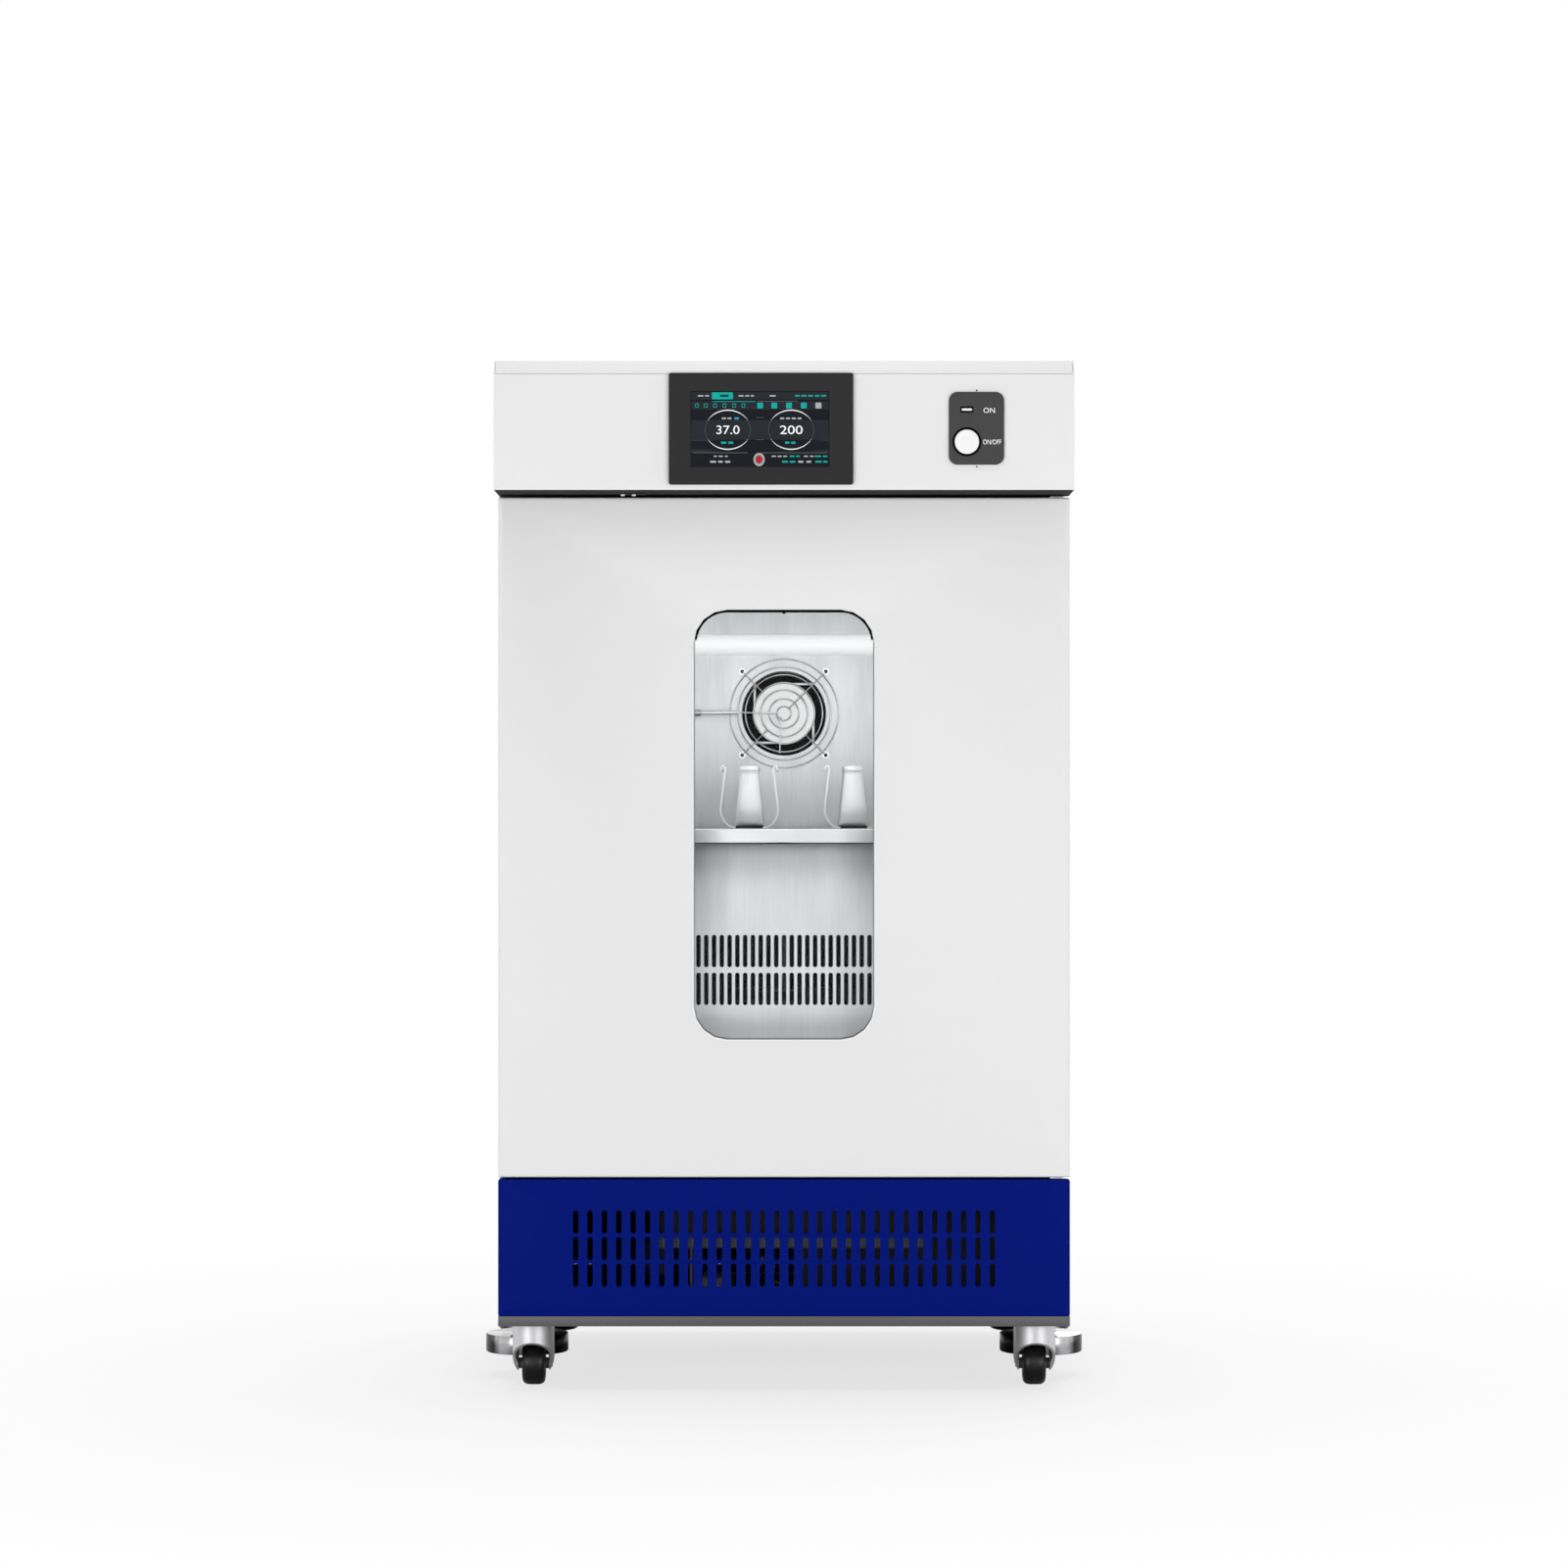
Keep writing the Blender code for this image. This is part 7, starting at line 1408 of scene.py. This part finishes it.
def build_casters():
    """The casters: a hooded fork of cast zinc, a rubber wheel and its hub caps."""
    for name in ("front_left", "front_right", "rear_left", "rear_right"):
        fork_node = "caster_fork_" + name
        wheel_node = "caster_wheel_" + name
        low, high = (Vector(corner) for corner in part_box(wheel_node))
        axle = (low + high) / 2
        fork_low, fork_high = (Vector(corner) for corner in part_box(fork_node))
        inward = 1 if name.startswith("front") else -1
        swivel_y = axle.y - inward * 0.025
        half = (fork_high.x - fork_low.x) / 2

        def at(forward, height):
            return (fork_low.x, swivel_y + inward * forward, height)

        outline = [at(-half, fork_high.z), at(-half, 0.0538), at(0.0, 0.0360), at(0.0110, 0.0262)]
        for step in range(9):
            angle = math.radians(215 + (375 - 215) * step / 8)
            outline.append(at(0.025 + 0.0100 * math.cos(angle), 0.025 + 0.0100 * math.sin(angle)))
        outline += [at(0.0335, 0.0440), at(0.0300, 0.0600), at(0.0250, fork_high.z)]
        bm = bmesh.new()
        drawn_out(bm, outline, (2 * half, 0, 0))
        leg = 0.0180
        turn = Matrix.Rotation(math.radians(90), 4, "Y")
        wheel_room = bmesh.new()
        bmesh.ops.create_cone(wheel_room, cap_ends=True, cap_tris=False, segments=48, radius1=0.0268,
                              radius2=0.0268, depth=2 * leg, matrix=Matrix.Translation(axle) @ turn)
        hollow = bmesh.new()
        bmesh.ops.create_cone(hollow, cap_ends=True, cap_tris=False, segments=56, radius1=half - 0.0030,
                              radius2=half - 0.0030, depth=0.0665,
                              matrix=Matrix.Translation((axle.x, swivel_y, 0.02325)))
        below = bmesh.new()
        block(below, (axle.x - leg, swivel_y - 0.06, -0.01), (axle.x + leg, swivel_y + 0.06, 0.0350))
        cutters = [wheel_room, hollow, below]
        for side in (-1, 1):
            corner = bmesh.new()
            curve = [(0.0155 + 0.0080 * math.cos(a), 0.0350 - 0.0190 * math.sin(a))
                     for a in (math.radians(10 * n) for n in range(10))]
            curve = [(half + 0.002, 0.0350)] + curve + [(0.0155, 0.010), (half + 0.002, 0.010)]
            drawn_out(corner, [(axle.x + side * x, swivel_y - 0.06, z) for x, z in curve], (0, 0.12, 0))
            shoulder = bmesh.new()
            curve = [(half * math.cos(a), half * math.sin(a))
                     for a in (math.radians(7.5 * n) for n in range(13))]
            curve = [(half + 0.002, 0.0)] + curve + [(0.0, half + 0.002), (half + 0.002, half + 0.002)]
            outline = [(axle.x + side * x, swivel_y - inward * y, -0.01) for x, y in curve]
            drawn_out(shoulder, outline, (0, 0, 0.1))
            cutters += [corner, shoulder]
        bm = solid_of(bm, cutters)
        rod(bm, (axle.x - 0.0205, axle.y, axle.z), (axle.x + 0.0205, axle.y, axle.z), 0.0038, 20)
        for side in (-1, 1):
            rod(bm, (axle.x + side * 0.0200, axle.y, axle.z),
                (axle.x + side * 0.0217, axle.y, axle.z), 0.0046, 6)
        body = NODE_BODY[fork_node]
        piece("caster_fork_%s_finished" % name, bm, CAST_ZINC, body, (fork_node,), smooth=35)

        sideways = Matrix.Translation(axle) @ turn
        boss = leg - 0.0005
        edge = (high.x - low.x) / 2
        bm = bmesh.new()
        profile = [(0.0178, edge - 0.0010), (0.0195, edge - 0.0004), (0.0215, edge - 0.0010),
                   (0.0236, edge - 0.0030), (0.0246, edge - 0.0055), (0.0250, edge - 0.0080)]
        profile += [(radius, -height) for radius, height in reversed(profile)]
        profile += [(0.0160, -edge + 0.0040), (0.0160, edge - 0.0040), profile[0]]
        lathe(bm, profile, sideways, 48)
        piece("caster_tread_" + name, bm, WHEEL_RUBBER, NODE_BODY[wheel_node], (wheel_node,))
        bm = bmesh.new()
        profile = [(0.0043, boss), (0.0060, boss), (0.0064, boss - 0.0004), (0.0066, edge), (0.0085, edge),
                   (0.0100, edge - 0.0010), (0.0130, edge - 0.0030),
                   (0.0168, edge - 0.0032), (0.0176, edge - 0.0014), (0.0176, -(edge - 0.0014)),
                   (0.0168, -(edge - 0.0032)), (0.0130, -(edge - 0.0030)), (0.0100, -(edge - 0.0010)),
                   (0.0085, -edge), (0.0066, -edge), (0.0064, 0.0004 - boss), (0.0060, -boss),
                   (0.0043, -boss), (0.0043, boss)]
        lathe(bm, profile, sideways, 40)
        piece("caster_hub_" + name, bm, HUB_GREY, NODE_BODY[wheel_node], slot="rubber")


def build_feet():
    """The levelling feet: a turned steel pad on a threaded stem."""
    for name in ("front_left", "front_right", "rear_left", "rear_right"):
        node = "levelling_foot_" + name
        low, high = (Vector(corner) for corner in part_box(node))
        x, y = (low.x + high.x) / 2, (low.y + high.y) / 2
        bm = bmesh.new()
        profile = [(0, high.z), (0.0046, high.z), (0.0058, high.z - 0.0012)]
        height = high.z - 0.0012
        while height > 0.0665:
            profile += [(0.0058, height), (0.0053, height - 0.0009)]
            height -= 0.0018
        profile += [(0.0058, 0.0625), (0.0110, 0.0545), (0.0125, 0.0508), (0.0150, 0.0500),
                    (0.0475, 0.0500), (0.0486, 0.0497), (0.0490, 0.0490), (0.0490, 0.0300),
                    (0.0486, 0.0287), (0.0474, 0.0280), (0.0440, 0.0280), (0.0430, 0.0288), (0, 0.0288)]
        lathe(bm, profile, Matrix.Translation((x, y, 0)), 72)
        # The pad's rim takes its own finish; both finishes carry painted reflection bands.
        for face in bm.faces:
            middle = face.calc_center_median()
            reach = (Vector((middle.x - x, middle.y - y, 0))).length
            face.material_index = 1 if reach > 0.0478 and middle.z < 0.0498 else 0
        piece("levelling_foot_%s_finished" % name, bm, [FOOT_STEEL_PAINTED_REFLECTION, FOOT_RIM_PAINTED_REFLECTION], NODE_BODY[node], (node,))


set_camera()
set_studio()
bpy.context.scene.view_settings.view_transform = "Standard"

build_display()
build_switch()
build_grille()
build_sensor()
build_window_seal()
build_window_bead()
build_fan()
build_baffle()
build_probe()
build_lamp()
build_drive_housing()
build_platform()
build_clamps()
build_casters()
build_feet()
build_fasteners()
build_cooling_lines()
# The head's downward faces take painted shade black.
softened("control_head", 0.0006, 3, finish=[WHITE_PAINT, SHADE_BLACK],
         second=lambda middle, normal: normal.z < -0.9 and middle.z < HEAD_Z + 0.001)
# The casing's inner faces in the machine room, and the rear panel's inner face, take painted shade.
softened("outer_casing", 0.0005, finish=[WHITE_PAINT, MACHINE_ROOM_SHADE],
         second=lambda middle, normal: middle.z < 0.263 and abs(middle.x) < 0.3288)
softened("rear_panel", 0.0003, finish=[WHITE_PAINT, MACHINE_ROOM_SHADE],
         second=lambda middle, normal: normal.y < -0.9)
# The frame's downward faces take painted shade black, which the feet mirror.
softened("base_frame", 0.0005, finish=[FRAME_PAINT, SHADE_BLACK],
         second=lambda middle, normal: normal.z < -0.5)
for node in ("top_cover", "door_skin", "door_inner_panel", "upper_hinge", "lower_hinge"):
    softened(node, 0.0005)

for node in ("chamber_liner", "drive_plate", "power_inlet", "condenser"):
    softened(node, 0.0004)
for node in ("compressor", "drive_motor", "motor_pulley", "drive_belt", "main_crank", "idler_crank_left",
             "idler_crank_right", "heater_element", "condenser_fan", "door_gasket", "insulation"):
    softened(node, 0.0)
